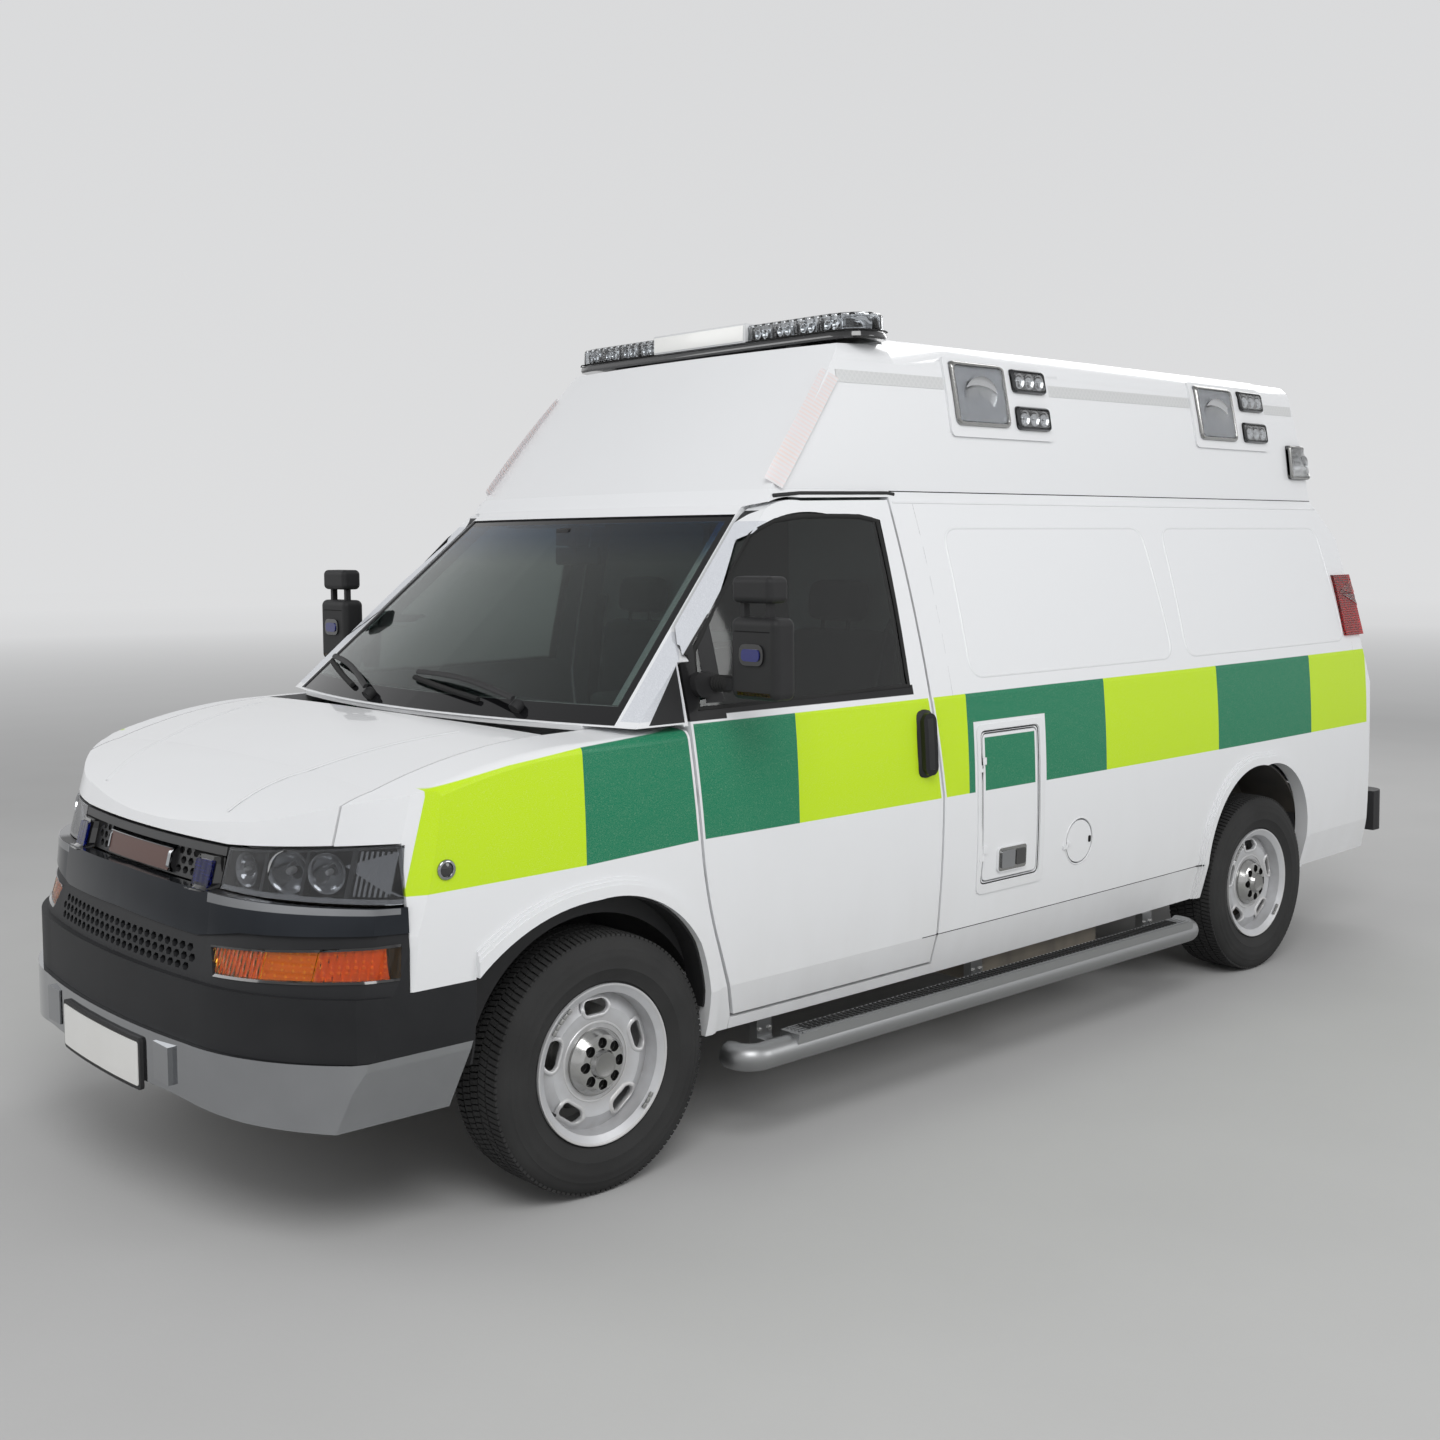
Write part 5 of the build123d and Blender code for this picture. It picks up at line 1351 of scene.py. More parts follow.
@dataclass
class Nose:
    """Lamps, mesh panel frames, plate and trim on the nose."""

    shop: Workshop
    skin: Skin
    corner: Pair = (957, -608)

    LAMP = ((474, 925), (955, 921), (985, 921), (985, 1066), (840, 1056), (478, 1029))
    DIAGONAL = (-0.62, 0.785, 0)

    def build(self) -> None:
        """Make every piece of the nose."""
        self._headlamps()
        self._amber_lamps()
        self._blue_lamps()
        self._panel()
        self._number_plate()
        self._crossbar_painted_highlight()
        self._recess()

    def _slanted(self, sign: float) -> Point:
        """The way in which sheets are pressed on the nose's corner."""
        return (sign * self.DIAGONAL[0], self.DIAGONAL[1], 0)

    def _corner_outline(self, points: Sequence[Pair], sign: float) -> list[Point]:
        """Front-view corners laid on the skin first, so that a slanted sheet keeps them."""
        placed = []
        for x, z in points:
            if x > self.corner[0]:
                placed.append((sign * self.corner[0] / MM, y_of(self.corner[1]), z_of(z)))
                continue
            hit = self.skin.hit((sign * x / MM, AHEAD, z_of(z)), FRONT)
            placed.append((hit.x, hit.y, hit.z))
        return placed if sign > 0 else placed[::-1]

    def _sheet(self, name: str, points: Sequence[Pair], finish: str, slot: str, proud: float,
               sunk: float, slanted: bool = True, replaces: tuple[str, ...] = ()) -> None:
        """One sheet on each side of the nose."""
        for side, sign in SIDES:
            piece = self.shop.lay(f"{name}_{side}", self.skin, [self._corner_outline(points, sign)],
                                  self._slanted(sign) if slanted else FRONT, (proud, sunk), finish, slot, step=0.02)
            if replaces:
                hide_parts(*replaces)

    def _inner_at(self, x: float, z: float, sign: float, back: float) -> Vector:
        """A point behind the skin along the slanted way."""
        hit = self.skin.hit((sign * x / MM, AHEAD, z_of(z)), FRONT)
        return hit + Vector(self._slanted(sign)) * back

    def _bowl_into(self, bm: Mesh, at: Vector, facing: Vector, radius: float, depth: float,
                   high: float = 1) -> None:
        """A reflector bowl that opens towards a direction."""
        profile = [(radius * k / 8, -depth + depth * (radius * k / 8 / radius) ** 2) for k in range(9)]
        profile += [(radius + 0.004, 0.001), (radius + 0.004, -0.003), (radius * 0.6, -depth * 0.78),
                    (0, -depth - 0.004)]
        turned_into(bm, profile, facing_base(at, facing, high), 36)

    def _bulb_into(self, bm: Mesh, at: Vector, facing: Vector, radius: float, length: float) -> None:
        """A bulb or cap that stands along a direction."""
        turned_into(bm, ((0, 0), (radius, 0), (radius, length * 0.7), (radius * 0.75, length * 0.92), (0, length)),
                    facing_base(at, facing), 18)

    def _headlamps(self) -> None:
        """Clear lens over a grey housing with an inner chamber, a bright reflector and a fluted outer part."""
        self._sheet("headlamp_lens", self.LAMP, "smoked_lens", "lamp_lens", 0, 0.0035,
                    replaces=("front_lamps",))
        self._sheet("headlamp_back", self.LAMP, "lamp_dark", "black_plastic", -0.058, 0.062)
        for side, sign in SIDES:
            facing = -Vector(self._slanted(sign))
            straight = Vector((0.25 * sign, -1, 0)).normalized()
            bowls, bulbs = bmesh.new(), bmesh.new()
            for x, z, way, (radius, depth, high), (back, thick, length) in (
                    (560, 978, straight, (0.037, 0.030, 1.1), (0.042, 0.006, 0.022)),
                    (700, 987, facing, (0.052, 0.042, 1), (0.050, 0.010, 0.034)),
                    (800, 990, facing, (0.046, 0.036, 1.05), (0.046, 0.008, 0.026))):
                self._bowl_into(bowls, self._inner_at(x, z, sign, 0.018), way, radius, depth, high)
                self._bulb_into(bulbs, self._inner_at(x, z, sign, back), way, thick, length)
            self.shop.make(f"headlamp_bowls_{side}", bowls, "reflector", "bright_trim", angle=50)
            self.shop.make(f"headlamp_bulbs_{side}", bulbs, "blank_white", "bright_trim", angle=50)
            bars = [self._corner_outline(rectangle(x - wide, x + wide, 930, z1), sign)
                    for x, z1, wide in ((630, 1034, 5), (750, 1042, 4), (858, 1050, 6))]
            self.shop.lay(f"headlamp_dividers_{side}", self.skin, bars, self._slanted(sign), (-0.008, 0.050),
                          "lamp_grey", "black_plastic", step=0.02)
        rim = 7
        frame_parts = (
            ((474, 925), (985, 921), (985, 921 + rim + 5), (481, 925 + rim + 5)),
            ((478, 1029), (481, 1029 - rim), (840, 1056 - rim), (985, 1066 - rim), (985, 1066), (840, 1056)),
            ((474, 925), (474 + rim, 930), (478 + rim, 1024), (478, 1029)),
        )
        for index, part in enumerate(frame_parts):
            self._sheet(f"headlamp_edge_{index}", part, "lamp_grey" if index else "reflector", "black_plastic",
                        -0.0042, 0.016)
        for side, sign in SIDES:
            flutes = [self._corner_outline(rectangle(x, x + 5, 938, 1048), sign) for x in range(868, 949, 10)]
            self.shop.lay(f"headlamp_flutes_{side}", self.skin, flutes, self._slanted(sign), (-0.012, 0.024),
                          "reflector", "black_plastic")

    def _amber_lamps(self) -> None:
        """Amber lamps in the cover: flat inner part, bright centre, ribbed outer part."""
        parts = (
            ("amber_inner", ((551, 724), (700, 731), (700, 802), (513, 788)), "amber_lens", 0.001),
            ("amber_middle", ((703, 731), (830, 736), (830, 811), (703, 802)), "amber_clear", 0.002),
            ("amber_outer", ((833, 736), (984, 742), (984, 823), (833, 811)), "amber_lens", 0.001),
        )
        for name, points, finish, proud in parts:
            self._sheet(name, points, finish, "lamp_lens", proud, 0.004)
        whole_lamp = ((549, 723), (984, 741), (984, 824), (511, 789))
        self._sheet("amber_back", whole_lamp, "amber_back", "black_plastic", -0.012, 0.016)
        rim = (
            ((546, 720), (986, 738), (986, 744), (549, 726)),
            ((509, 786), (986, 820), (986, 827), (507, 792)),
        )
        for index, part in enumerate(rim):
            self._sheet(f"amber_rim_{index}", part, "piano_black", "black_plastic", 0.003, 0.006)

    def _blue_lamps(self) -> None:
        """Blue lamps beside the mesh panel: a dark bezel with a dotted blue lens."""
        outer = rounded(rectangle(362, 456, 917, 1003), 12)
        inner = rounded(rectangle(370, 448, 926, 994), 9)
        self._sheet("blue_bezel", outer, "piano_black", "black_plastic", 0.004, 0.006, slanted=False)
        self._sheet("blue_lens", inner, "blue_lens", "lamp_lens", 0.013, -0.0045, slanted=False)
        self._sheet("blue_back", inner, "blue_dots", "lamp_lens", 0.0062, -0.0041, slanted=False)

    def _panel(self) -> None:
        """The plain panel in the middle of the mesh, with its bright frame."""
        self.shop.lay("grille_panel", self.skin, [front_outline(rounded(rectangle(-202, 202, 936, 996), 8))], FRONT,
                      (0.003, 0.001), "maroon_panel")
        parts = [front_outline(rectangle(*part)) for part in (
            (-208, 208, 931, 937), (-208, 208, 995, 1001), (-208, -198, 931, 1001),
            (192, 208, 931, 1001))]
        self.shop.lay("grille_panel_frame", self.skin, parts, FRONT, (0.006, 0.001), "chrome", "bright_trim", step=0.02)

    def _number_plate(self) -> None:
        """A blank white plate in a black frame on the bright bumper."""
        outer = rounded(rectangle(-268, 268, 372, 512), 14)
        inner = rounded(rectangle(-258, 258, 383, 501), 8)
        self.shop.lay("plate_holder", self.skin, [front_outline(outer)], FRONT, (0.010, 0.001), "black_plastic",
                      "black_plastic", step=0.05)
        self.shop.lay("plate_blank", self.skin, [front_outline(inner)], FRONT, (0.0125, -0.0095), "plate_white",
                      step=0.05)

    def _crossbar_painted_highlight(self) -> None:
        """A painted highlight: a bright chrome strip along the crossbar's upper edge under the headlamps, where the bar
        catches the light.
        """
        # Painted highlight: brighter chrome than the darkened bar below it.
        self._sheet("crossbar_painted_highlight", ((474, 896), (985, 900), (985, 915), (474, 920)), "chrome",
                    "bright_trim", 0.0015, 0.001)

    def _recess(self) -> None:
        """Near-black backing behind the meshes as painted shade, with a few radiator fins."""
        # Painted shade: near-black boxes behind the upper and lower meshes stand for the dark space behind them.
        bm = bmesh.new()
        box_into(bm, (-0.455, y_of(-845), z_of(935)), (0.455, y_of(-838), z_of(1005)), 0.002)
        box_into(bm, (-0.47, y_of(-900), z_of(705)), (0.47, y_of(-893), z_of(806)), 0.002)
        self.shop.make("mesh_painted_shade_backing", bm, "black_and_painted_shade", "black_plastic")
        bm = bmesh.new()
        box_into(bm, (-0.45, -0.0012, -0.045), (0.45, 0.0012, 0.045), 0.0004)
        unit = from_bmesh("fin_unit", bm, None)
        unit.data.transform(Matrix.Rotation(math.radians(90), 4, "X"))
        fins = self.shop.along_line.run(unit, "radiator_fins", self.shop.finishes["aluminium"], 8, step=(0, 0, 0.012),
                                        start=(0, y_of(-862) + 0, z_of(712)))
        dress(fins, self.shop.finishes["aluminium"], "chassis")


def path_on(skin: Skin, points: Sequence[Pair], sign: float, proud: float,
            step: float = 0.04) -> list[Vector]:
    """Drawing (y, z) points laid on a side of the skin, with points added between them."""
    out = []
    for (y0, z0), (y1, z1) in zip(points, points[1:]):
        count = max(1, math.ceil(math.hypot(y1 - y0, z1 - z0) / MM / step))
        for k in range(count):
            t = k / count
            out.append((y0 + (y1 - y0) * t, z0 + (z1 - z0) * t))
    out.append(points[-1])
    hits = [skin.meets((sign * 3, y_of(y), z_of(z)), (-sign, 0, 0)) for y, z in out]
    return [hit + Vector((sign * proud, 0, 0)) for hit in hits if hit]


@dataclass
class CabTrim:
    """Seals, wipers, cowl slats and small lamps of the cab."""

    shop: Workshop
    front_skin: Skin
    screen_skin: Skin

    WINDOW = ((356, 1334), (362, 1440), (384, 1532), (470, 1622), (560, 1715), (656, 1808),
              (720, 1847), (800, 1874), (920, 1887), (1047, 1889), (1180, 1888), (1262, 1874),
              (1258, 1600), (1248, 1345), (900, 1338), (600, 1334), (356, 1334))
    DRIP = ((812, 1951), (930, 1960), (1341, 1966), (1372, 1962))

    SAIL = ((392, 1350), (456, 1350), (450, 1590), (444, 1588), (404, 1546), (392, 1528))

    def build(self) -> None:
        """Make every piece."""
        for side, sign in SIDES:
            self._seals(side, sign)
            self._repeater(side, sign)
            self._handle(side, sign)
        self._wipers()
        self._cowl()
        self._inside_mirror()
        self._hood_lines()

    def _seals(self, side: str, sign: float) -> None:
        """The rubber seal round the door window and the drip rail over the door."""
        bm = bmesh.new()
        pane = Skin(f"door_{side}_glass")
        tube_into(bm, path_on(pane, self.WINDOW, sign, 0.002), 0.0085, 8, 0.5, Vector((sign, 0, 0)))
        self.shop.make(f"window_seal_{side}", bm, "rubber", "black_plastic", f"door_{side}", angle=50)
        self.shop.lay(f"window_sail_{side}", pane, [side_outline(self.SAIL)], (-sign, 0, 0), (0.0012, 0.0004),
                      "black_plastic", "black_plastic", f"door_{side}")
        bm = bmesh.new()
        tube_into(bm, path_on(self.shop.body_skin, self.DRIP, sign, 0.003), 0.006, 8, 0.8, Vector((sign, 0, 0)))
        self.shop.make(f"drip_rail_{side}", bm, "black_plastic", "black_plastic", angle=50)

    def _repeater(self, side: str, sign: float) -> None:
        """A small round lamp on the fender: bright ring and dark lens."""
        hit = self.shop.body_skin.side(y_of(-498), z_of(996), sign)
        near = self.shop.body_skin.side(y_of(-470), z_of(996), sign)
        along = (near - hit).normalized()
        out = along.cross(Vector((0, 0, 1))).normalized()
        if out.x * sign < 0:
            out = -out
        up = out.cross(along)
        base = base_at(hit, out, along, up)
        bm = bmesh.new()
        turned_into(bm, ((0.017, -0.002), (0.026, -0.002), (0.0265, 0.003), (0.024, 0.0065), (0.0195, 0.0070),
                         (0.017, 0.004)), base, 32)
        self.shop.make(f"repeater_ring_{side}", bm, "chrome", "bright_trim", angle=50)
        bm = bmesh.new()
        turned_into(bm, ((0, -0.001), (0.018, -0.001), (0.018, 0.003), (0.010, 0.0062), (0, 0.0072)), base, 28)
        self.shop.make(f"repeater_lens_{side}", bm, "piano_black", "lamp_lens", angle=60)

    def _handle(self, side: str, sign: float) -> None:
        """A black cup behind the door's pull handle and the lock's bright barrel."""
        outline = side_outline(rounded(rectangle(1262, 1338, 1048, 1264), 26))
        self.shop.lay(f"handle_cup_{side}", self.shop.door_skin, [outline if sign > 0 else outline[::-1]],
                      LEFT if sign > 0 else RIGHT, (0.0016, 0.001), "black_plastic", "black_plastic", f"door_{side}")

    def _wipers(self) -> None:
        """Two wiper arms with their caps, hinges and rubber blades."""
        for name, pivot, tip in (("left", (520, 1330), (-60, 1390)), ("right", (-250, 1322), (-806, 1400))):
            bm = bmesh.new()
            blade = bmesh.new()
            start = self._screen_point(pivot[0], pivot[1], 0.012)
            ends = []
            for k in range(15):
                t = k / 14
                x = pivot[0] + (tip[0] - pivot[0]) * t
                z = pivot[1] + (tip[1] - pivot[1]) * t + 16 * math.sin(math.pi * t)
                lift = 0.040 - 0.020 * t
                ends.append(self._screen_point(x, z, lift))
            tube_into(bm, ends, 0.010, 8, 0.55, Vector((0, -1, 1)))
            turned_into(bm, ((0, -0.020), (0.020, -0.020), (0.020, 0.004), (0.014, 0.012), (0, 0.014)),
                        Matrix.Translation(start) @ Matrix.Rotation(math.radians(-50), 4, "X") @ Matrix.Rotation(
                            math.radians(-90), 4, "Y"), 20)
            self.shop.make(f"wiper_arm_{name}", bm, "black_plastic", "black_plastic", angle=50)
            rubber = []
            for k in range(17):
                t = 0.32 + 0.70 * k / 16
                x = pivot[0] + (tip[0] - pivot[0]) * t
                z = pivot[1] + (tip[1] - pivot[1]) * t - 12
                rubber.append(self._screen_point(x, z, 0.010))
            tube_into(blade, rubber, 0.0095, 6, 0.8, Vector((0, -1, 1)))
            self.shop.make(f"wiper_blade_{name}", blade, "rubber", "black_plastic", angle=50)

    def _screen_point(self, x: float, z: float, lift: float) -> Vector:
        """A point lifted off the windscreen."""
        hit = self.screen_skin.hit((x / MM, AHEAD, z_of(z)), FRONT)
        return hit + Vector((0, -0.66, 0.75)) * lift

    def _cowl(self) -> None:
        """Slats across the cowl's air inlet."""
        slats = self.shop.row("cowl_slats_row", (0.0035, 0.034, 0.003), "black_plastic", "black_plastic", 72,
                              (0.014, 0, 0), (-0.5, 0, 0))
        cowl = Skin("black_trim")
        for vert in slats.data.vertices:
            x = vert.co.x
            spot = cowl.hit((x, y_of(-86) + 0.09 * (x / 0.5) ** 2 * 0.5 + vert.co.y, 3), (0, 0, -1))
            vert.co = (x, spot.y, min(spot.z, z_of(1330)) + 0.0035 + vert.co.z)

    def _inside_mirror(self) -> None:
        """The inside mirror on its stalk behind the windscreen."""
        bm = bmesh.new()
        top = self._screen_point(0, 1840, -0.016)
        box_into(bm, (-0.12, top.y + 0.055, top.z - 0.095), (0.12, top.y + 0.075, top.z - 0.035), 0.008)
        tube_into(bm, [top, top + Vector((0, 0.03, -0.02)), top + Vector((0, 0.06, -0.05))], 0.008, 10)
        box_into(bm, (-0.035, top.y - 0.004, top.z - 0.03), (0.035, top.y + 0.03, top.z + 0.03), 0.006)
        self.shop.make("inside_mirror", bm, "black_plastic", "black_plastic")

    def _hood_lines(self) -> None:
        """Two raised creases that run back over the hood."""
        for side, sign in SIDES:
            bm = bmesh.new()
            path = []
            for k in range(19):
                t = k / 18
                x = sign * (0.40 + 0.20 * t)
                y = y_of(-800 + 590 * t)
                spot = self.front_skin.hit((x, y, 3), (0, 0, -1))
                path.append(spot + Vector((0, 0, -0.0006)))
            tube_into(bm, path, 0.013, 10, 0.22)
            self.shop.make(f"hood_crease_{side}", bm, "white_paint", "white_paint", "hood", angle=70)


@dataclass
class DoorMirror:
    """The glass, lamp, strips and seams of one door mirror."""

    shop: Workshop
    side: str
    sign: float

    def build(self) -> None:
        """Make the mirror's pieces."""
        skin = Skin(f"mirror_{self.side}")
        self._sheet(skin, "mirror_glass", rounded(self._flip(rectangle(1092, 1246, 1388, 1584)), 18), REAR,
                    0.0006, 0.002, "mirror_glass", "")
        self._sheet(skin, "mirror_wide_glass", rounded(self._flip(rectangle(1098, 1224, 1652, 1702)), 14), REAR,
                    0.0006, 0.002, "mirror_glass", "")
        oval = rounded(self._flip(rectangle(1134, 1206, 1480, 1514)), 17)
        rim = rounded(self._flip(rectangle(1122, 1218, 1468, 1528)), 26)
        self._sheet(skin, "mirror_lamp_bezel", rim, FRONT, 0.006, 0.002, "piano_black", "black_plastic")
        self._sheet(skin, "mirror_lamp", oval, FRONT, 0.0095, -0.0055, "blue_dots", "lamp_lens")
        strip = self._flip(((1110, 1384), (1240, 1384), (1240, 1394), (1110, 1394)))
        self._sheet(skin, "mirror_repeater", strip, FRONT, 0.003, 0.002, "amber_lens", "lamp_lens")
        seam = self._flip(((1080, 1560), (1258, 1560), (1258, 1563), (1080, 1563)))
        self._sheet(skin, "mirror_seam", seam, FRONT, 0.0006, 0.001, "black_and_painted_shade", "black_plastic")
        self._boot()

    @staticmethod
    def _turn(count: int) -> list[float]:
        """Angles once round."""
        return [2 * math.pi * k / count for k in range(count)]

    def _flip(self, points: Iterable[Pair]) -> list[Pair]:
        """Front-view points on this mirror's side."""
        return [(self.sign * x, z) for x, z in points]

    def _sheet(self, skin: Skin, name: str, points: Sequence[Pair], way: Point, proud: float, sunk: float,
               finish: str, slot: str) -> None:
        """One sheet laid on the mirror."""
        self.shop.lay(f"{name}_{self.side}", skin, [front_outline(points)], way, (proud, sunk), finish, slot,
                      f"door_{self.side}", 0.02)

    def _boot(self) -> None:
        """The ribbed boot round the arm's root."""
        bm = bmesh.new()
        turn = ORIGIN if self.sign > 0 else Matrix.Rotation(math.pi, 4, "Z")
        base = Matrix.Translation((self.sign * 1.010, y_of(412), z_of(1408))) @ turn
        profile = [(0.016, -0.030)]
        for k in range(5):
            x = -0.030 + 0.012 * k
            profile += [(0.0245, x + 0.003), (0.0245, x + 0.007), (0.0205, x + 0.010)]
        profile += [(0.016, 0.032)]
        turned_into(bm, profile, base, 24)
        self.shop.make(f"mirror_boot_{self.side}", bm, "rubber", "black_plastic", f"door_{self.side}")


@dataclass
class SideTrim:
    """Seams, locker frame and latch, filler ring and pressed lines on the body sides."""

    shop: Workshop

    LOCKER = (1558, 1925, 622, 1194)
    LEAF = (1584, 1890, 660, 1166)

    def build(self) -> None:
        """Make every piece."""
        self._locker_frame()
        self._latch()
        self._fuel_ring()
        for side, sign in SIDES:
            self._seams(side, sign)
            self._pressed_panel(side, sign)
            self._mud_flap_bracket(side, sign)
        self._slider_rail()

    def _tube(self, name: str, points: Sequence[Pair], sign: float, radius: float, flat: float,
              finish: str, slot: str, proud: float = 0) -> None:
        """A round or flat line laid on the side."""
        bm = bmesh.new()
        path = path_on(self.shop.body_skin, points, sign, proud, 0.05)
        tube_into(bm, path, radius, 8, flat, Vector((sign, 0, 0)))
        self.shop.make(name, bm, finish, slot, angle=60)

    def _locker_frame(self) -> None:
        """The raised frame round the locker door and the thin seal inside it."""
        y0, y1, z0, z1 = self.LOCKER
        a0, a1, b0, b1 = self.LEAF
        outer = rounded(rectangle(y0, y1, z0, z1), 30)
        inner = rounded(rectangle(a0 - 9, a1 + 9, b0 - 9, b1 + 9), 26)
        bm = bmesh.new()
        count = len(outer)
        for i in range(count):
            j = (i + 1) % count
            quad = [outer[i], outer[j], inner[j], inner[i]]
            laid_into(bm, self.shop.body_skin, side_outline(quad), LEFT, 0.0045, 0.001, 0.12)
        bmesh.ops.remove_doubles(bm, verts=bm.verts, dist=0.0002)
        self._drop_inner_walls(bm)
        self.shop.make("locker_frame", bm, "white_paint", "white_paint")
        loop = rounded(rectangle(a0 - 4, a1 + 4, b0 - 4, b1 + 4), 22)
        self._tube("locker_seal", loop + [loop[0]], 1, 0.0032, 0.6, "rubber", "black_plastic", -0.001)

    @staticmethod
    def _drop_inner_walls(bm: Mesh) -> None:
        """Remove the faces shared by neighbouring parts of a laid ring."""
        seen: dict[frozenset, list[bmesh.types.BMFace]] = {}
        for face in bm.faces:
            key = frozenset(tuple(round(c, 4) for c in v.co) for v in face.verts)
            seen.setdefault(key, []).append(face)
        double = [face for faces in seen.values() if len(faces) > 1 for face in faces]
        bmesh.ops.delete(bm, geom=double, context="FACES_ONLY")

    def _latch(self) -> None:
        """The paddle and the lock in the locker door's latch plate."""
        skin = Skin("locker_door")
        for name, points, finish, proud in (
                ("locker_latch_plate", rounded(rectangle(1668, 1819, 688, 767), 12), "cap_chrome", 0.0012),
                ("locker_latch_paddle", rounded(rectangle(1678, 1750, 698, 757), 8), "chrome", 0.007),
                ("locker_latch_grip", rounded(rectangle(1760, 1812, 700, 755), 8), "piano_black", 0.004)):
            self.shop.lay(name, skin, [side_outline(points)], LEFT, (proud, 0.001), finish, "bright_trim",
                          "locker_door", 0.04)

    def _fuel_ring(self) -> None:
        """A thin ring round the filler flap, and a near-black sheet in its finger notch as painted shade."""
        loop = [(2140 + 84 * math.cos(a), 732 + 84 * math.sin(a)) for a in DoorMirror._turn(40)]
        self._tube("filler_ring", loop + [loop[0]], 1, 0.0030, 0.7, "white_paint", "white_paint", 0)
        # Painted shade: the finger notch is filled with a near-black sheet.
        notch = side_outline(rounded(rectangle(2196, 2212, 720, 744), 7))
        self.shop.lay("filler_notch_painted_shade", Skin("fuel_flap"), [notch], LEFT, (0.0012, 0.001), "black_and_painted_shade", "black_plastic",
                      "fuel_flap")

    def _seams(self, side: str, sign: float) -> None:
        """Dark seams: cap foot, gutter and the panel joints behind the doors."""
        for name, points, radius, flat, finish, slot, proud in (
                ("cap_seam", ((1360, 1971), (4380, 1971)), 0.0030, 0.7, "black_and_painted_shade", "black_plastic", -0.0016),
                ("gutter", ((1352, 1935), (4390, 1935)), 0.0042, 0.6, "white_paint", "white_paint", 0),
                ("side_joint", ((1452, 1300), (1452, 1930)), 0.0022, 0.6, "black_and_painted_shade", "black_plastic", -0.0013),
                ("rear_joint", ((4330, 660), (4330, 1340)), 0.0022, 0.6, "black_and_painted_shade", "black_plastic", -0.0013),
                ("sill_joint", ((1300, 520), (3010, 520)), 0.0026, 0.6, "black_and_painted_shade", "black_plastic", -0.0013)):
            self._tube(f"{name}_{side}", points, sign, radius, flat, finish, slot, proud)

    def _pressed_panel(self, side: str, sign: float) -> None:
        """The pressed outline of the blank window panels on the side."""
        for index, (y0, y1) in enumerate(((1560, 2800), (2900, 4260))):
            if side == "right" and index == 0:
                continue
            loop = rounded([(y0, 1352), (y1, 1352), (y1 - 30, 1850), (y0 + 14, 1850)], 70, 6)
            self._tube(f"pressed_panel_{side}_{index}", loop + [loop[0]], sign, 0.0065, 0.35, "white_paint",
                       "white_paint", -0.0002)

    def _mud_flap_bracket(self, side: str, sign: float) -> None:
        """A small black bracket behind the rear wheel."""
        bm = bmesh.new()
        x0, x1 = sorted((sign * 0.745, sign * 0.870))
        box_into(bm, (x0, y_of(3864), z_of(560)), (x1, y_of(3872), z_of(612)), 0.002)
        for k in range(3):
            cx = x0 + 0.02 + 0.042 * k
            turned_into(bm, ((0, 0), (0.006, 0), (0.006, 0.004), (0, 0.005)),
                        Matrix.Translation((cx, y_of(3872), z_of(585))) @ Matrix.Rotation(math.radians(90), 4, "Z"), 6)
        self.shop.make(f"mud_flap_bracket_{side}", bm, "steel")

    def _slider_rail(self) -> None:
        """The sliding door's guide rail on the right side."""
        self._tube("slider_rail", ((2775, 1290), (4260, 1290)), -1, 0.011, 0.8, "black_plastic", "black_plastic",
                   0.002)


@dataclass(frozen=True)
class SceneLight:
    """One lamp on the side of the roof cap, in drawing millimetres."""

    y: float
    z: float
    wide: float
    high: float
    kind: str


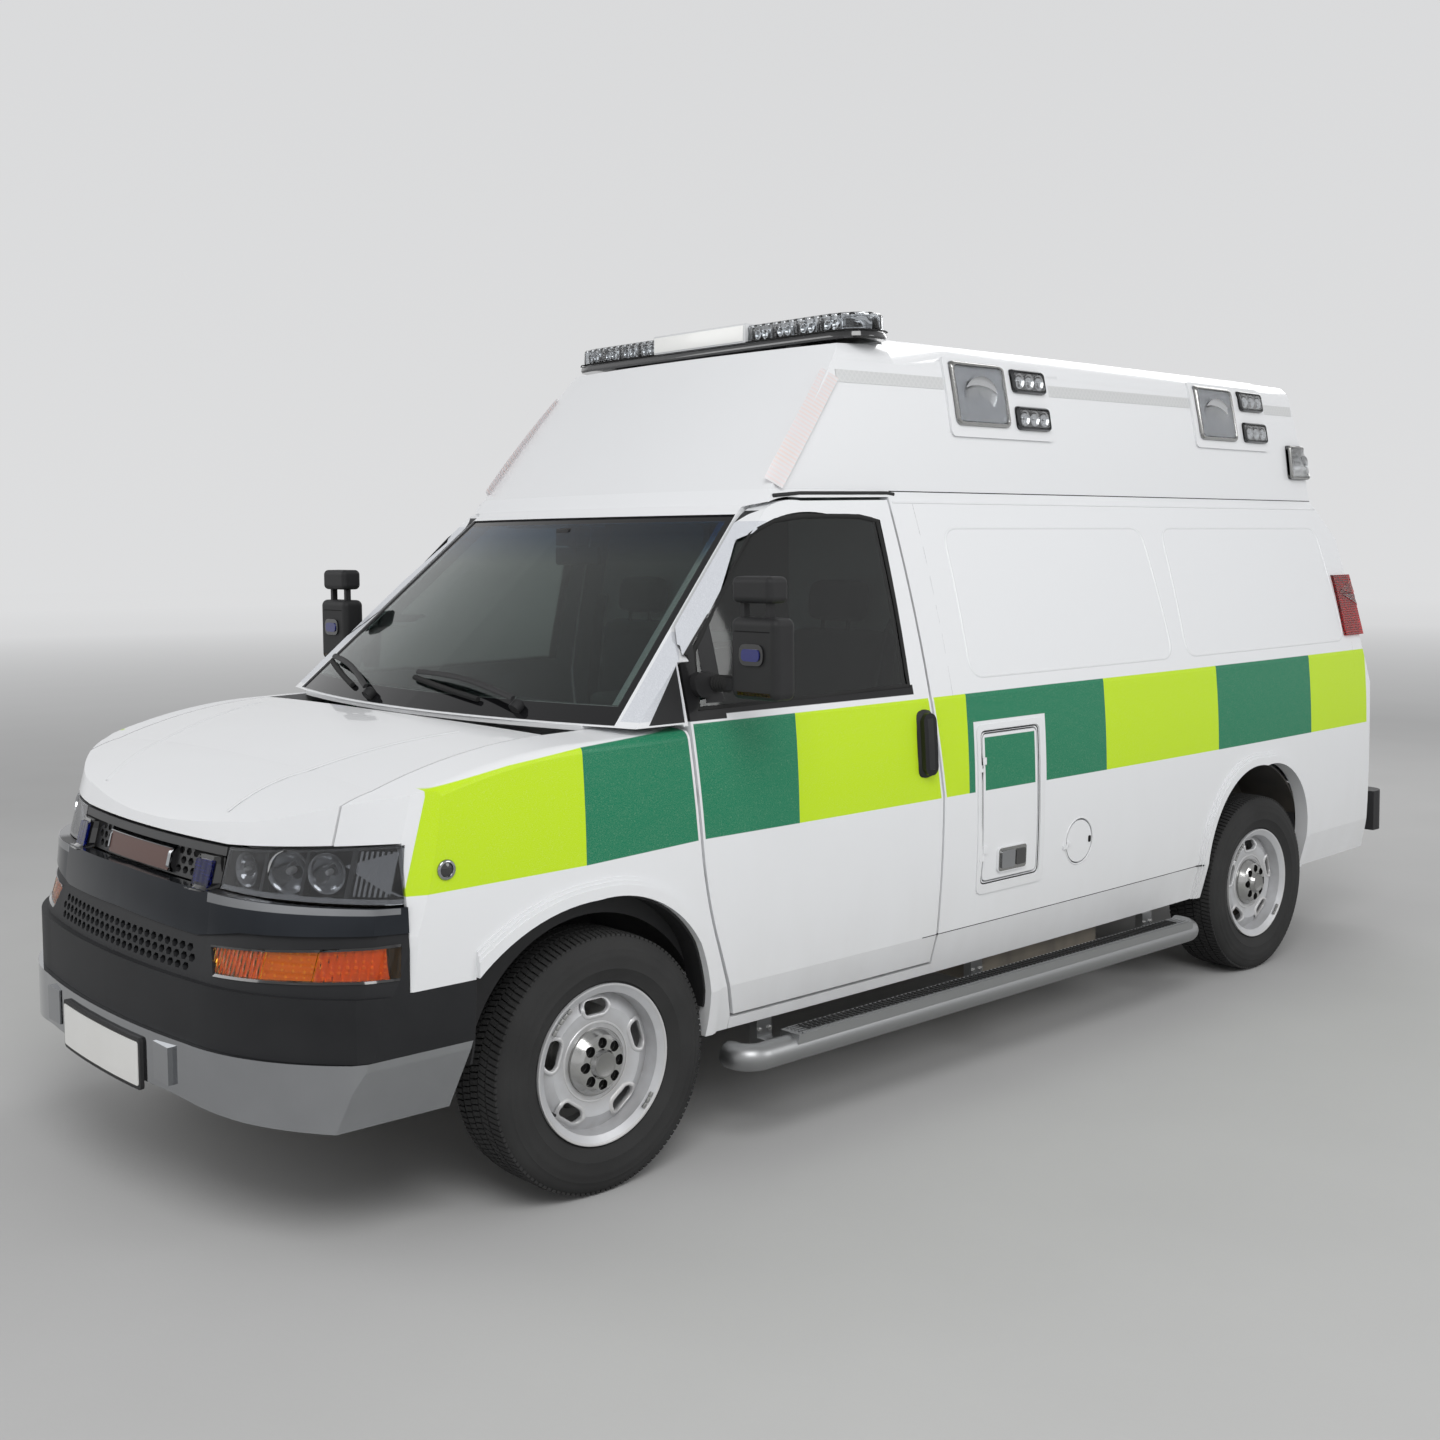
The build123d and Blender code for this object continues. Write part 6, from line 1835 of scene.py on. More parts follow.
@dataclass
class CapTrim:
    """Side lamps, mounting plates and strips on the roof cap."""

    shop: Workshop

    LIGHTS = (
        SceneLight(1882, 2320, 300, 225, "work"),
        SceneLight(2171, 2382, 196, 86, "strobe"),
        SceneLight(2171, 2247, 196, 86, "strobe"),
        SceneLight(3489, 2330, 300, 225, "work"),
        SceneLight(3800, 2396, 196, 86, "strobe"),
        SceneLight(3800, 2261, 196, 86, "strobe"),
        SceneLight(4178, 2144, 176, 150, "corner"),
    )
    PLATES = ((1704, 2296, 2168, 2446), (3306, 3924, 2184, 2456))

    def build(self) -> None:
        """Make every piece."""
        for side, sign in SIDES:
            for index, light in enumerate(self.LIGHTS):
                self._light(light, f"{index}_{side}", sign)
            self._plates(side, sign)
            self._bands(side, sign)
        self._hip_strips()
        self._roof_ribs()

    def _sheet(self, name: str, points: Sequence[Pair], sign: float, proud: float, sunk: float,
               finish: str, slot: str, replaced: bool = False, step: float = 0.06) -> Piece:
        """One sheet laid on a side of the cap."""
        outline = side_outline(points)
        piece = self.shop.lay(name, self.shop.cap_skin, [outline if sign > 0 else outline[::-1]],
                              LEFT if sign > 0 else RIGHT, (proud, sunk), finish, slot, step=step)
        if replaced:
            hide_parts("warning_lights")
        return piece

    def _light(self, light: SceneLight, tag: str, sign: float) -> None:
        """A lamp: bright rim, housing, reflectors and lens."""
        y0, y1 = light.y - light.wide / 2, light.y + light.wide / 2
        z0, z1 = light.z - light.high / 2, light.z + light.high / 2
        work = light.kind == "work"
        corner = 24 if work else 18
        outer = rounded(rectangle(y0, y1, z0, z1), corner)
        rim = 16 if work else 12
        inner = rounded(rectangle(y0 + rim, y1 - rim, z0 + rim, z1 - rim), corner - 8)
        deep = 0.0115 if work else 0.014
        base, rim_finish, lens = {
            "work": ("lamp_pale", "cap_chrome", "milky_lens"), "strobe": ("piano_black", "dark_chrome", "clear_lens"),
            "corner": ("lamp_grey", "cap_chrome", "ribbed_lens")}[light.kind]
        self._sheet(f"side_lamp_base_{tag}", outer, sign, deep, 0.001, base, "black_plastic", replaced=True)
        self._rim(f"side_lamp_rim_{tag}", outer, inner, sign, deep, rim_finish)
        self._bowls(light, tag, sign, deep)
        self._sheet(f"side_lamp_lens_{tag}", inner, sign, deep + 0.0095, -(deep + 0.0072), lens, "lamp_lens")

    def _rim(self, name: str, outer: Sequence[Pair], inner: Sequence[Pair], sign: float,
             deep: float, finish: str) -> None:
        """A rounded rim between two outlines."""
        bm = bmesh.new()
        rings = []
        for outline, lift in ((outer, 0.002), (outer, deep + 0.003), (self._between(outer, inner, 0.35), deep + 0.0105),
                              (self._between(outer, inner, 0.75), deep + 0.0105), (inner, deep + 0.004),
                              (inner, 0.002)):
            ring = []
            for y, z in outline:
                hit = self.shop.cap_skin.side(y_of(y), z_of(z), sign)
                ring.append(bm.verts.new(hit + Vector((sign * lift, 0, 0))))
            rings.append(ring)
        rings_into(bm, rings, closed=True)
        self.shop.make(name, bm, finish, "bright_trim", angle=50)

    @staticmethod
    def _between(outer: Sequence[Pair], inner: Sequence[Pair],
                 share: float) -> list[Pair]:
        """Points between two outlines."""
        return [(a + (c - a) * share, b + (d - b) * share) for (a, b), (c, d) in zip(outer, inner)]

    def _bowls(self, light: SceneLight, tag: str, sign: float, deep: float) -> None:
        """Reflectors inside a lamp."""
        bm = bmesh.new()
        spots = ((0, 0, 0.062, 1.35),) if light.kind == "work" else (
            (-58, 0, 0.026, 1), (0, 0, 0.026, 1), (58, 0, 0.026, 1)) if light.kind == "strobe" else (
            (-34, 0, 0.034, 1.2), (38, 0, 0.030, 1.2))
        for dy, dz, radius, stretch in spots:
            hit = self.shop.cap_skin.side(y_of(light.y + dy), z_of(light.z + dz), sign)
            at = hit + Vector((sign * (deep + 0.0062), 0, 0))
            base = Matrix.Translation(at) @ Matrix(((sign, 0, 0, 0), (0, stretch, 0, 0), (0.12, 0, 1, 0), (0, 0, 0, 1)))
            profile = [(0, -0.0052)] + [(radius * k / 6, -0.0052 + 0.0052 * (k / 6) ** 2) for k in range(1, 7)]
            profile += [(radius + 0.002, 0.0006), (radius + 0.002, -0.0012), (0, -0.0058)]
            turned_into(bm, profile, base, 32)
            turned_into(bm, ((0, -0.004), (0.005, -0.004), (0.005, 0), (0, 0.0006)), base, 14)
        self.shop.make(f"side_lamp_bowls_{tag}", bm, "reflector", "bright_trim", angle=50)

    def _plates(self, side: str, sign: float) -> None:
        """Raised white plates that carry the lamps."""
        for index, (y0, y1, z0, z1) in enumerate(self.PLATES):
            self._sheet(f"lamp_plate_{index}_{side}", rounded(rectangle(y0, y1, z0, z1), 26), sign, 0.009, 0.001,
                        "white_paint", "white_paint", step=0.05)

    def _bands(self, side: str, sign: float) -> None:
        """The thin pale strip along the cap."""
        for index, (a, b) in enumerate((((1087, 2323), (1700, 2329)), ((2300, 2336), (3304, 2345)),
                                        ((3926, 2350), (4200, 2353)))):
            points = [(a[0], a[1]), (b[0], b[1]), (b[0], b[1] + 42), (a[0], a[1] + 42)]
            self._sheet(f"cap_band_{index}_{side}", points, sign, 0.0014, 0.0006, "pale_film", "", step=0.08)

    def _hip_strips(self) -> None:
        """The shining strip along the hip between the cap's front and its side."""
        for side, sign in SIDES:
            bm = bmesh.new()
            way = Vector((-sign * 0.8, 0.6, 0)).normalized()
            points = []
            for k in range(9):
                t = k / 8
                points.append((sign * (0.800 - 0.085 * t), y_of(820 + 330 * t), z_of(1990 + 360 * t)))
            rail = [self.shop.cap_skin.hit(Vector(p) - way * 1, way) - way * 0.0006 for p in points]
            tube_into(bm, rail, 0.033, 10, 0.05, Vector(way))
            self.shop.make(f"hip_strip_{side}", bm, "pearl_film", angle=60)

    def _roof_ribs(self) -> None:
        """Pressed ribs along the roof."""
        bm = bmesh.new()
        for x in (-0.45, -0.27, -0.09, 0.09, 0.27, 0.45):
            path = [self.shop.cap_skin.hit((x, y_of(1560 + 2600 * k / 20), 4), (0, 0, -1)) + Vector((0, 0, -0.001))
                    for k in range(21)]
            tube_into(bm, path, 0.022, 8, 0.22)
        self.shop.make("roof_ribs", bm, "white_paint", "white_paint", angle=70)


@dataclass
class LightBar:
    """The roof light bar: black base, clear sections with reflectors and a blank middle panel."""

    shop: Workshop
    foot: float = 2472
    tray: float = 2500
    top: float = 2560

    OUTLINE = ((0, 1217), (650, 1219), (709, 1229), (746, 1254), (763, 1290), (768, 1330),
               (761, 1372), (742, 1404), (703, 1424), (650, 1430), (0, 1430))

    def build(self) -> None:
        """Make every piece."""
        self._layer("light_bar_base", self.foot, self.tray, 0, "piano_black", "black_plastic")
        self._layer("light_bar_tray", self.tray, self.tray + 4, -7, "black_and_painted_shade", "black_plastic")
        self._layer("light_bar_lens", self.tray, self.top, -9, "bar_lens", "lamp_lens", hollow=3)
        self._seam()
        self._modules()
        self._middle()
        self._feet()

    def _plan(self, grow: float) -> list[Pair]:
        """The whole plan, grown outward."""
        centre_y = 1323.5
        half = [(x + (grow if x > 0 else 0), y + (grow if y > centre_y else -grow)) for x, y in self.OUTLINE]
        return half + [(-x, y) for x, y in reversed(half) if x > 0]

    def _layer(self, name: str, z0: float, z1: float, grow: float, finish: str, slot: str, hollow: float = 0) -> None:
        """One layer with softened upper and lower edges."""
        bm = bmesh.new()
        rings = []
        cut = min(7, (z1 - z0) * 0.3)
        stages = [(z0, -cut * 0.6), (z0 + cut, 0), (z1 - cut, -cut * 0.3), (z1 - cut * 0.3, -cut * 0.9), (z1, -cut * 2)]
        if hollow:
            stages += [(z1 - hollow, -cut * 2 - hollow), (z1 - cut - hollow, -cut * 0.3 - hollow),
                       (z0, -cut * 0.6 - hollow)]
        for z, inset in stages:
            rings.append([bm.verts.new((x / MM, y_of(y), z_of(z))) for x, y in self._plan(grow + inset)])
        rings_into(bm, rings[:5])
        bm.faces.new(rings[4])
        if hollow:
            rings_into(bm, [*rings[5:], rings[0]])
            bm.faces.new(rings[5][::-1])
        else:
            bm.faces.new(rings[0][::-1])
        piece = self.shop.make(name, bm, finish, slot)
        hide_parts("warning_lights")

    def _seam(self) -> None:
        """A thin bead where the lens meets the base."""
        bm = bmesh.new()
        loop = [(x / MM, y_of(y), z_of(self.tray)) for x, y in self._plan(-1)]
        tube_into(bm, loop + [loop[0]], 0.0022, 6)
        self.shop.make("light_bar_seam", bm, "rubber", "black_plastic", angle=60)

    def _modules(self) -> None:
        """Reflector modules and dark dividers along the bar."""
        bm = bmesh.new()
        for dy in (-0.062, 0.062):
            way = -1 if dy < 0 else 1
            box_into(bm, (-0.036, dy - 0.012, 0.004), (0.036, dy + 0.012, 0.038), 0.003)
            for dx in (-0.018, 0.018):
                base = Matrix.Translation((dx, dy + way * 0.013, 0.021)) @ Matrix.Rotation(way * math.pi / 2, 4, "Z")
                turned_into(bm, ((0, -0.004), (0.008, 0), (0.0135, 0.0075), (0.0150, 0.0075), (0.0150, -0.004),
                                 (0, -0.006)), base, 16)
        for start in (-0.647, 0.301):
            copy = bm.copy()
            unit = from_bmesh("module_unit", copy, 30)
            row = self.shop.along_line.run(unit, f"light_bar_modules_{'right' if start < 0 else 'left'}",
                                           self.shop.finishes["reflector"], 4, step=(0.112, 0, 0),
                                           start=(start + 0.005, y_of(1323.5), z_of(self.tray + 4)))
            dress(row, self.shop.finishes["reflector"], "chassis")
        bm.free()
        bm = bmesh.new()
        for sign in (-1, 1):
            for x in (0.262, 0.362, 0.474, 0.586):
                box_into(bm, (sign * x - 0.002, y_of(1236), z_of(self.tray + 2)),
                         (sign * x + 0.002, y_of(1411), z_of(self.top - 10)), 0.0008)
        self.shop.make("light_bar_dividers", bm, "piano_black", "black_plastic")

    def _middle(self) -> None:
        """The blank pale panel block in the middle of the bar."""
        bm = bmesh.new()
        box_into(bm, (-0.250, y_of(1214), z_of(self.tray - 2)), (0.250, y_of(1432), z_of(2566)), 0.006)
        self.shop.make("light_bar_middle", bm, "grey_paint", "white_paint")
        bm = bmesh.new()
        for y in (1212.5, 1433.5):
            box_into(bm, (-0.240, y_of(y - 1.5), z_of(self.tray + 5)), (0.240, y_of(y + 1.5), z_of(2559)), 0.001)
        self.shop.make("light_bar_panel", bm, "blank_white")

    def _feet(self) -> None:
        """Two shaped feet and the cable gland under the bar."""
        skin = self.shop.cap_skin
        bm = bmesh.new()
        for x in (-0.465, 0.465):
            low = skin.hit((x, y_of(1323.5), 4), (0, 0, -1)).z
            box_into(bm, (x - 0.036, y_of(1234), low - 0.004), (x + 0.036, y_of(1412), z_of(self.foot + 2)), 0.006)
        box_into(bm, (-0.03, y_of(1400), skin.hit((0, y_of(1410), 4), (0, 0, -1)).z - 0.003),
                 (0.03, y_of(1425), z_of(self.foot + 2)), 0.004)
        self.shop.make("light_bar_feet", bm, "black_plastic", "black_plastic")


@dataclass
class CrewSeat:
    """One cab seat: puffed cushion, backrest and head rest over a plinth."""

    shop: Workshop
    side: str
    centre: float
    voxel: float = 0.016
    settle: int = 16
    swell: float = 0.006

    def build(self) -> None:
        """Make the seat's pieces."""
        self._pad("cushion", (-0.235, 0.905, 0.735), (0.235, 1.300, 0.872), 0.05, 0)
        self._pad("backrest", (-0.225, 1.235, 0.86), (0.225, 1.370, 1.520), 0.05, -9)
        self._pad("head_rest", (-0.125, 1.335, 1.535), (0.125, 1.415, 1.675), 0.03, -6)
        bm = bmesh.new()
        x = self.centre
        box_into(bm, (x - 0.215, y_of(930), z_of(601)), (x + 0.215, y_of(1360), z_of(742)), 0.02)
        for dx in (-0.06, 0.06):
            tube_into(bm, [(x + dx, y_of(1362), z_of(1500)), (x + dx, y_of(1372), z_of(1560))], 0.007, 10)
        self.shop.make(f"seat_plinth_{self.side}", bm, "cab_plastic", "grey_plastic")

    def _pad(self, name: str, low: Point, high: Point, bevel: float, lean: float) -> None:
        """One stuffed pad, puffed out as cloth over its filling."""
        a = (self.centre + low[0], y_of(low[1] * MM), z_of(low[2] * MM))
        b = (self.centre + high[0], y_of(high[1] * MM), z_of(high[2] * MM))
        bm = bmesh.new()
        box_into(bm, a, b, bevel)
        foot = Vector(((a[0] + b[0]) / 2, (a[1] + b[1]) / 2, a[2]))
        turn = Matrix.Translation(foot) @ Matrix.Rotation(math.radians(lean), 4, "X") @ Matrix.Translation(-foot)
        bmesh.ops.transform(bm, matrix=turn, verts=bm.verts)
        piece = from_bmesh(f"seat_{name}_{self.side}", bm, 40)
        piece.data.materials.append(self.shop.finishes["seat_cloth"])
        self._puff(piece)
        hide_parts("seats")
        dress(piece, self.shop.finishes["seat_cloth"], "chassis")

    def _puff(self, piece: Piece) -> None:
        """Blow the pad up a little as cloth, by no more than the swell."""
        remesh = piece.modifiers.new("remesh", "REMESH")
        remesh.mode = "VOXEL"
        remesh.voxel_size = self.voxel
        graph = bpy.context.evaluated_depsgraph_get()
        fine = bpy.data.meshes.new_from_object(piece.evaluated_get(graph))
        piece.modifiers.clear()
        piece.data = fine
        before = [v.co.copy() for v in fine.vertices]
        cloth = piece.modifiers.new("cloth", "CLOTH")
        cloth.settings.use_pressure = True
        cloth.settings.uniform_pressure_force = 4
        cloth.settings.effector_weights.gravity = 0
        cloth.settings.quality = 4
        cloth.point_cache.frame_start = 1
        cloth.point_cache.frame_end = self.settle
        scene = bpy.context.scene
        for number in range(1, self.settle + 1):
            scene.frame_set(number)
        graph = bpy.context.evaluated_depsgraph_get()
        blown = bpy.data.meshes.new_from_object(piece.evaluated_get(graph))
        piece.modifiers.clear()
        scene.frame_set(1)
        for vert, old in zip(blown.vertices, before):
            move = vert.co - old
            if move.length > self.swell:
                vert.co = old + move.normalized() * self.swell
        for polygon in blown.polygons:
            polygon.use_smooth = True
        piece.data = blown
        if not blown.materials:
            blown.materials.append(self.shop.finishes["seat_cloth"])


@dataclass
class Cabin:
    """Seats and dashboard details seen through the glass."""

    shop: Workshop

    def build(self) -> None:
        """Make every piece."""
        for side, centre in (("left", 0.530), ("right", -0.530)):
            CrewSeat(self.shop, side, centre).build()
        self._belts()
        self._dash()
        self._pillar_linings()

    def _belts(self) -> None:
        """Seat belts from the pillar over each backrest."""
        bm = bmesh.new()
        for sign in (-1, 1):
            path = [(sign * 0.80, y_of(1395), z_of(1600)), (sign * 0.775, y_of(1350), z_of(1500)),
                    (sign * 0.745, y_of(1290), z_of(1200)), (sign * 0.745, y_of(1290), z_of(840))]
            tube_into(bm, path, 0.022, 8, 0.12, Vector((sign, 0.4, 0)))
        self.shop.make("seat_belts", bm, "webbing", "seat_fabric")

    def _dash(self) -> None:
        """Vents, instrument hood and a row of keys on the dashboard."""
        skin = Skin("dashboard")
        vents = [front_outline(rounded(rectangle(x - 62, x + 62, 1150, 1200), 10)) for x in (-740, -300, 60, 740)]
        self.shop.lay("dash_vents", skin, vents, REAR, (0.004, 0.001), "piano_black", "grey_plastic", step=0.05)
        bm = bmesh.new()
        hood_top = skin.hit((0.47, y_of(560), 3), (0, 0, -1)).z
        box_into(bm, (0.30, y_of(470), hood_top - 0.01), (0.64, y_of(600), hood_top + 0.055), 0.022)
        self.shop.make("instrument_hood", bm, "cab_plastic", "grey_plastic")
        y = skin.hit((0, 3, z_of(1110)), (0, -1, 0)).y
        self.shop.row("dash_keys", (0.006, 0.004, 0.006), "piano_black", "grey_plastic", 9, (0.019, 0, 0),
                      (-0.076, y + 0.002, z_of(1110)), 0.0015)

    def _pillar_linings(self) -> None:
        """Sun visors under the header."""
        bm = bmesh.new()
        for sign in (-1, 1):
            x0, x1 = sorted((sign * 0.18, sign * 0.60))
            box_into(bm, (x0, y_of(790), z_of(1862)), (x1, y_of(930), z_of(1880)), 0.006)
        self.shop.make("sun_visors", bm, "lining", "white_lining")


@dataclass
class RearTrim:
    """Tail lamp sections, handles, plate, glass surrounds and bumper tread at the back."""

    shop: Workshop

    def build(self) -> None:
        """Make every piece."""
        self._tail_lamps()
        for side, sign in SIDES:
            self._window_surround(side, sign)
            self._hinge_caps(side, sign)
        self._handle()
        self._plate()
        self._bumper_tread()
        self._corner_reflectors()

    def _tail_lamps(self) -> None:
        """Clear and amber sections between the red ones."""
        skin = Skin("tail_lamps")
        for side, sign in SIDES:
            for name, z0, z1, finish in (("amber", 1560, 1630, "amber_lens"), ("clear", 1500, 1552, "ribbed_lens")):
                points = [tuple(skin.hit((sign * x / MM, BEHIND, z_of(z)), REAR))
                          for x, z in rectangle(782, 846, z0, z1)]
                self.shop.lay(f"tail_{name}_{side}", skin, [points if sign > 0 else points[::-1]],
                              (-0.7 * sign, -0.72, 0), (0.0025, 0.001), finish, "lamp_lens", step=0.02)

    def _window_surround(self, side: str, sign: float) -> None:
        """Black rubber round the rear window."""
        skin = Skin(f"rear_door_{side}", f"rear_glass_{side}")
        loop = [(70, 1240), (742, 1240), (640, 1790), (70, 1790)]
        path = []
        points = loop + [loop[0]]
        for (x0, z0), (x1, z1) in zip(points, points[1:]):
            for k in range(8):
                t = k / 8
                x, z = x0 + (x1 - x0) * t, z0 + (z1 - z0) * t
                path.append(skin.hit((sign * x / MM, BEHIND, z_of(z)), REAR) + Vector((0, 0.001, 0)))
        path.append(path[0])
        bm = bmesh.new()
        tube_into(bm, path, 0.011, 8, 0.5, Vector((0, 1, 0)))
        self.shop.make(f"rear_window_seal_{side}", bm, "rubber", "black_plastic", f"rear_door_{side}", angle=60)

    def _hinge_caps(self, side: str, sign: float) -> None:
        """Bright caps on the rear hinge pins."""
        bm = bmesh.new()
        for z in (780, 1060):
            base = Matrix.Translation((sign * 0.842, y_of(4545), z_of(z + 30.5))) @ Matrix.Rotation(
                math.radians(-90), 4, "Y")
            turned_into(bm, ((0, 0), (0.0075, 0), (0.0065, 0.003), (0, 0.004)), base, 18)
        self.shop.make(f"rear_hinge_caps_{side}", bm, "steel", "", f"rear_door_{side}")

    def _handle(self) -> None:
        """The rear door's pull handle with its dark cup."""
        skin = Skin("rear_door_left")
        cup = front_outline(rounded(rectangle(40, 112, 980, 1180), 20))
        self.shop.lay("rear_handle_cup", skin, [cup], REAR, (0.002, 0.001), "black_plastic", "black_plastic",
                      "rear_door_left", 0.05)
        bm = bmesh.new()
        path = []
        for k in range(11):
            t = k / 10
            z = 1000 + 160 * t
            spot = skin.hit((0.076, BEHIND, z_of(z)), REAR)
            path.append(spot + Vector((0, 0.006 + 0.020 * math.sin(math.pi * t), 0)))
        tube_into(bm, path, 0.013, 12, 0.7, Vector((0, 1, 0)))
        self.shop.make("rear_handle_grip", bm, "black_plastic", "black_plastic", "rear_door_left", angle=50)

    def _plate(self) -> None:
        """A blank plate in its frame on the left rear door."""
        skin = Skin("rear_door_left", "rear_door_right")
        for name, points, finish, lift, slot in (
                ("rear_plate_frame", rounded(rectangle(150, 688, 930, 1066), 12), "black_plastic",
                 (0.006, 0.001), "black_plastic"),
                ("rear_plate_blank", rounded(rectangle(160, 678, 942, 1054), 8), "plate_white",
                 (0.008, -0.0055), "")):
            self.shop.lay(name, skin, [front_outline(points)], REAR, lift, finish, slot, "rear_door_left", 0.06)

    def _bumper_tread(self) -> None:
        """Ribs on the rear step."""
        bm = bmesh.new()
        box_into(bm, (-0.004, -0.042, -0.0015), (0.004, 0.042, 0.0022), 0.0012)
        unit = from_bmesh("tread_bar_unit", bm, None)
        ribs = self.shop.along_line.run(unit, "rear_step_ribs", self.shop.finishes["rubber"], 82, step=(0.0185, 0, 0),
                                        start=(-0.749, y_of(4632), z_of(637.2)))
        dress(ribs, self.shop.finishes["rubber"], "chassis")

    def _corner_reflectors(self) -> None:
        """Red reflectors on the rear bumper."""
        outlines = [front_outline(rounded([(sign * x, z) for x, z in rectangle(560, 700, 560, 596)], 8))
                    for sign in (-1, 1)]
        self.shop.lay("rear_reflectors", Skin("rear_bumper"), outlines, REAR, (0.003, 0.001), "red_lens", "lamp_lens",
                      step=0.05)


@dataclass
class StepTrim:
    """Rubber treads and end caps on the running boards."""

    shop: Workshop

    def build(self) -> None:
        """Make the treads and caps."""
        for side, sign in SIDES:
            bm = bmesh.new()
            box_into(bm, (-0.026, -0.0045, -0.001), (0.026, 0.0045, 0.0026), 0.0012)
            unit = from_bmesh("stud_unit", bm, None)
            for_board = self.shop.along_line.run(unit, f"board_studs_{side}", self.shop.finishes["rubber"], 96,
                                                 step=(0, 0.0205, 0),
                                                 start=(sign * 1.042, y_of(700), z_of(364)))
            dress(for_board, self.shop.finishes["rubber"], "chassis")
            bm = bmesh.new()
            for y in (640, 1640, 2660):
                for dy in (-0.02, 0.02):
                    base = Matrix.Translation((sign * 0.9325, y_of(y) + dy, z_of(345)))
                    turn = ORIGIN if sign > 0 else Matrix.Rotation(math.pi, 4, "Z")
                    turned_into(bm, ((0, 0), (0.008, 0), (0.008, 0.005), (0.006, 0.006), (0, 0.006)), base @ turn, 6)
            self.shop.make(f"board_bolts_{side}", bm, "steel")


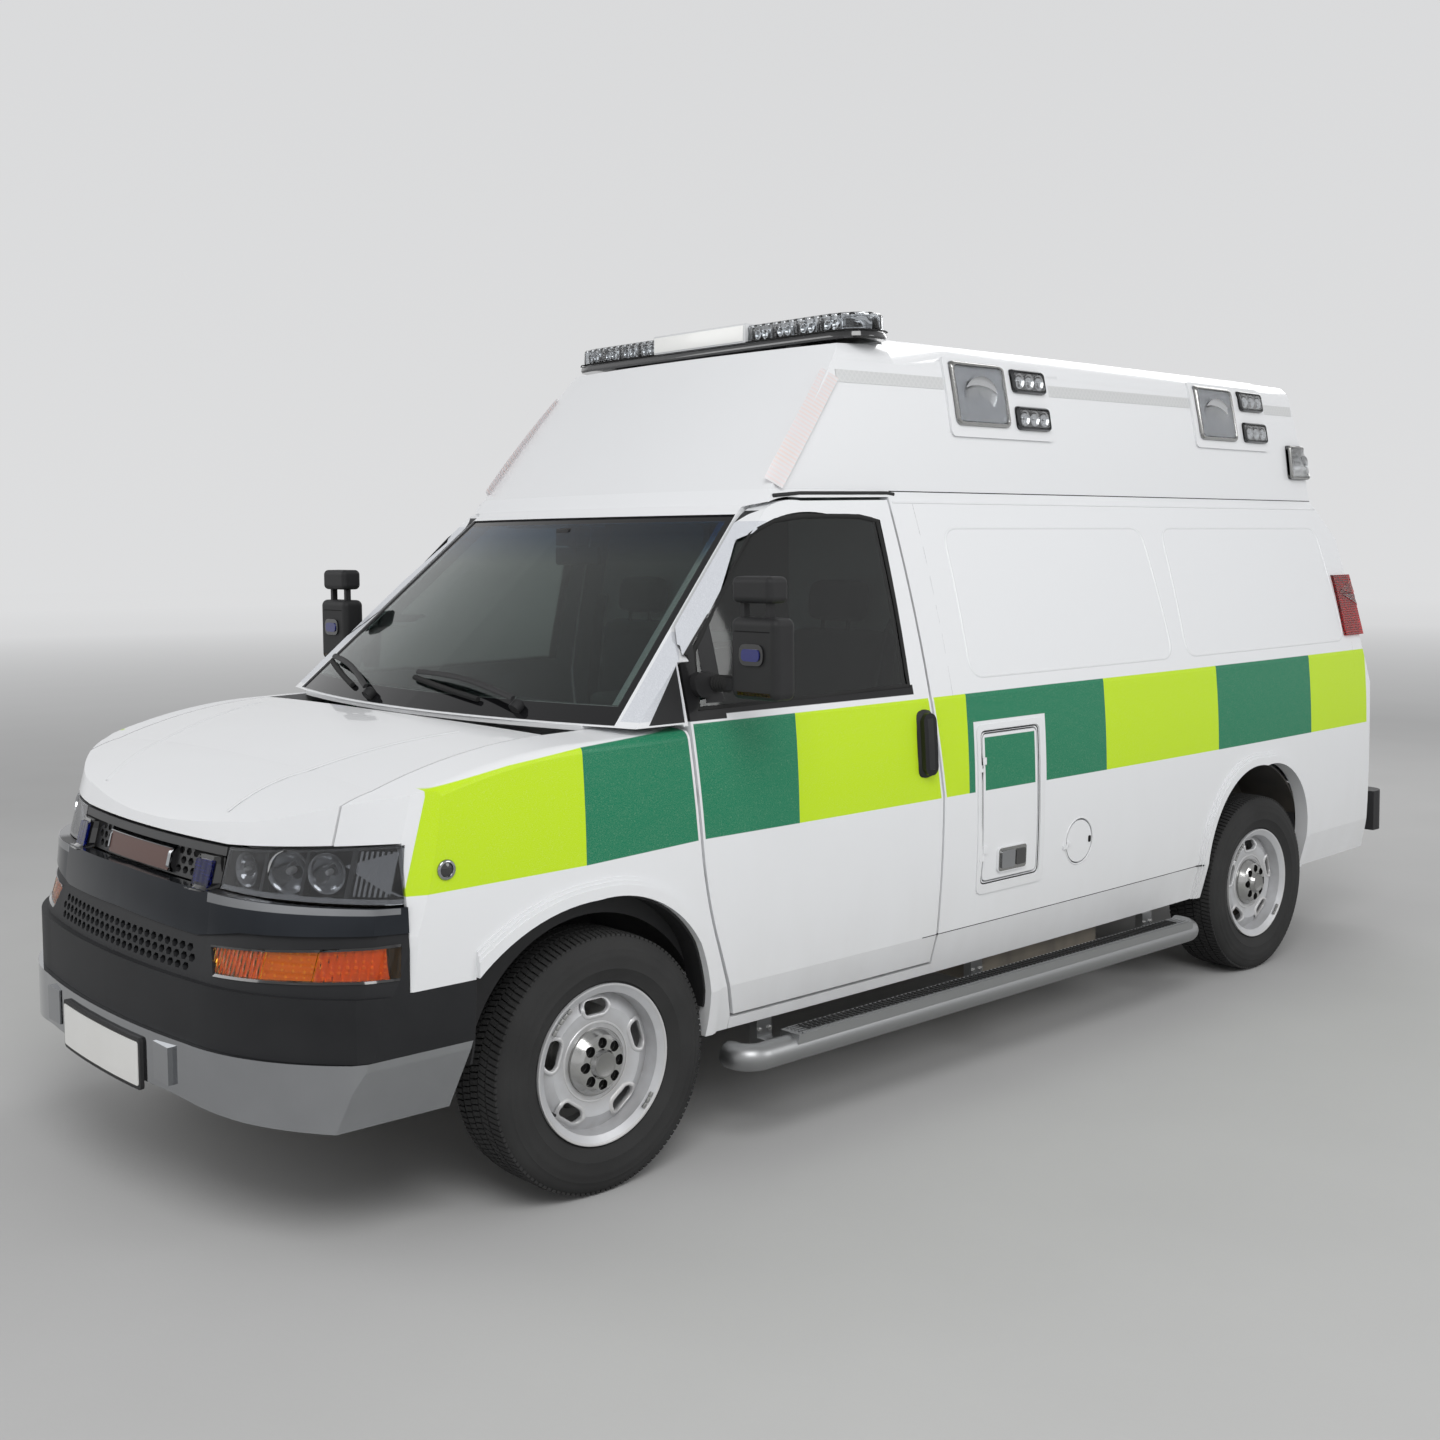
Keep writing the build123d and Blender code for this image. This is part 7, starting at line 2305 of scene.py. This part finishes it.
@dataclass
class Studio:
    """Floor, light and camera."""

    lens: float = 41.15
    azimuth: float = 47.95
    elevation: float = 3.65
    roll: float = -0.44
    eye: Point = (4.476, -4.554, 1.782)
    shift: Pair = (-0.0028, -0.0507)
    floor_half: float = 60
    sensor: float = 36
    sight: float = 200

    def build(self) -> None:
        """Make the stage."""
        self._world()
        self._floor()
        self._lamps()
        self._camera()

    def _world(self) -> None:
        """A pale room that darkens overhead."""
        world = bpy.data.worlds.new("studio")
        bpy.context.scene.world = world
        world.use_nodes = True
        tree = world.node_tree
        tree.nodes.clear()
        out = tree.nodes.new("ShaderNodeOutputWorld")
        back = tree.nodes.new("ShaderNodeBackground")
        tree.links.new(back.outputs[0], out.inputs[0])
        coords = tree.nodes.new("ShaderNodeTexCoord")
        split = tree.nodes.new("ShaderNodeSeparateXYZ")
        tree.links.new(coords.outputs["Generated"], split.inputs[0])
        ramp = tree.nodes.new("ShaderNodeValToRGB")
        stops = ((0, 0.93), (0.38, 0.89), (0.62, 0.60), (1, 0.46))
        for index, (at, grey) in enumerate(stops):
            stop = ramp.color_ramp.elements[index] if index < 2 else ramp.color_ramp.elements.new(at)
            stop.position = at
            stop.color = (grey, grey * 1.005, grey * 1.015, 1)
        tree.links.new(split.outputs[2], ramp.inputs[0])
        tree.links.new(ramp.outputs[0], back.inputs[0])
        back.inputs[1].default_value = 0.78

    def _floor(self) -> None:
        """A plain pale floor."""
        bm = bmesh.new()
        bmesh.ops.create_grid(bm, x_segments=2, y_segments=2, size=self.floor_half)
        floor = from_bmesh("floor", bm, None)
        net = NodeNet("floor_pale")
        tone = net.mix(net.noise(1.5, 5), (0.50, 0.50, 0.497), (0.54, 0.54, 0.537))
        net.relief(net.noise(60, 4), 0.0004)
        away = net.calc("SQRT", net.calc("ADD", net.calc("POWER", net.x, 2), net.calc("POWER", net.y, 2)))
        fade = net.line(away, ((7, 0), (14, 0.35), (30, 0.9), (45, 1)))
        floor.data.materials.append(net.set(
            Base_Color=net.mix(fade, tone, (0, 0, 0)), Roughness=0.9, Specular_IOR_Level=0,
            Emission_Color=(0.722, 0.726, 0.733, 1), Emission_Strength=fade))

    def _lamps(self) -> None:
        """Soft boxes: key from the front left, fill from the front, rim from behind."""
        table = (
            # name, place, aims at, width, power
            ("key", (6, -5, 7), (0, -0.5, 0.8), 5, 330),
            ("fill", (-5, -7, 4.5), (0, -1, 0.9), 5, 130),
            ("rim", (-2, 7.5, 6), (0, 0.5, 1.5), 5, 160),
            ("side", (8, 3, 4.5), (0.9, 1, 1.2), 4, 120),
        )
        for name, place, aim, width, power in table:
            data = bpy.data.lights.new(name, "AREA")
            data.shape = "DISK"
            data.size = width
            data.energy = power
            lamp = bpy.data.objects.new(name, data)
            lamp.location = place
            lamp.rotation_euler = (Vector(aim) - Vector(place)).to_track_quat("-Z", "Y").to_euler()
            bpy.context.scene.collection.objects.link(lamp)

    def _camera(self) -> None:
        """The camera at the photograph's angle."""
        a = math.radians(self.azimuth)
        e = math.radians(self.elevation)
        back = Vector((math.sin(a) * math.cos(e), -math.cos(a) * math.cos(e), math.sin(e)))
        right = Vector((0, 0, 1)).cross(back).normalized()
        up = back.cross(right)
        r = math.radians(self.roll)
        rolled = right * math.cos(r) + up * math.sin(r)
        top = up * math.cos(r) - right * math.sin(r)
        data = bpy.data.cameras.new("camera")
        data.sensor_width = self.sensor
        data.sensor_fit = "HORIZONTAL"
        data.lens = self.lens
        data.shift_x, data.shift_y = self.shift
        data.clip_end = self.sight
        camera = bpy.data.objects.new("camera", data)
        camera.matrix_world = base_at(Vector(self.eye), rolled, top, back)
        bpy.context.scene.collection.objects.link(camera)
        bpy.context.scene.camera = camera


def main() -> None:
    """Build every sub-assembly in order."""
    logging.basicConfig(level=logging.INFO, format="%(name)s %(message)s")
    scene = bpy.context.scene
    scene.view_settings.view_transform = "Standard"
    finishes = Finishes()
    shop = Workshop(finishes, Repeater(Repeat.ROUND_AXLE), Repeater(Repeat.ALONG_LINE),
                    Skin("side_left", "side_right", "fenders", "cab_frame", "door_left", "door_right", "locker_door",
                         "fuel_flap", "sliding_door"),
                    Skin("door_left", "door_right", "door_left_glass", "door_right_glass"), Skin("roof_cap"))
    CadDressing(shop).dress()
    for place in WHEELS:
        Tyre(shop, place).build()
        WheelDressing(shop, place).build()
    Nose(shop, Skin("front_lamps", "bumper_cover", "grille", "front_bumper")).build()
    CabTrim(shop, Skin("hood"), Skin("windscreen")).build()
    for side, sign in SIDES:
        DoorMirror(shop, side, sign).build()
    for trim in (SideTrim, CapTrim, LightBar, Cabin, RearTrim, StepTrim):
        trim(shop).build()
    Studio().build()


if __name__ == "__main__":
    main()
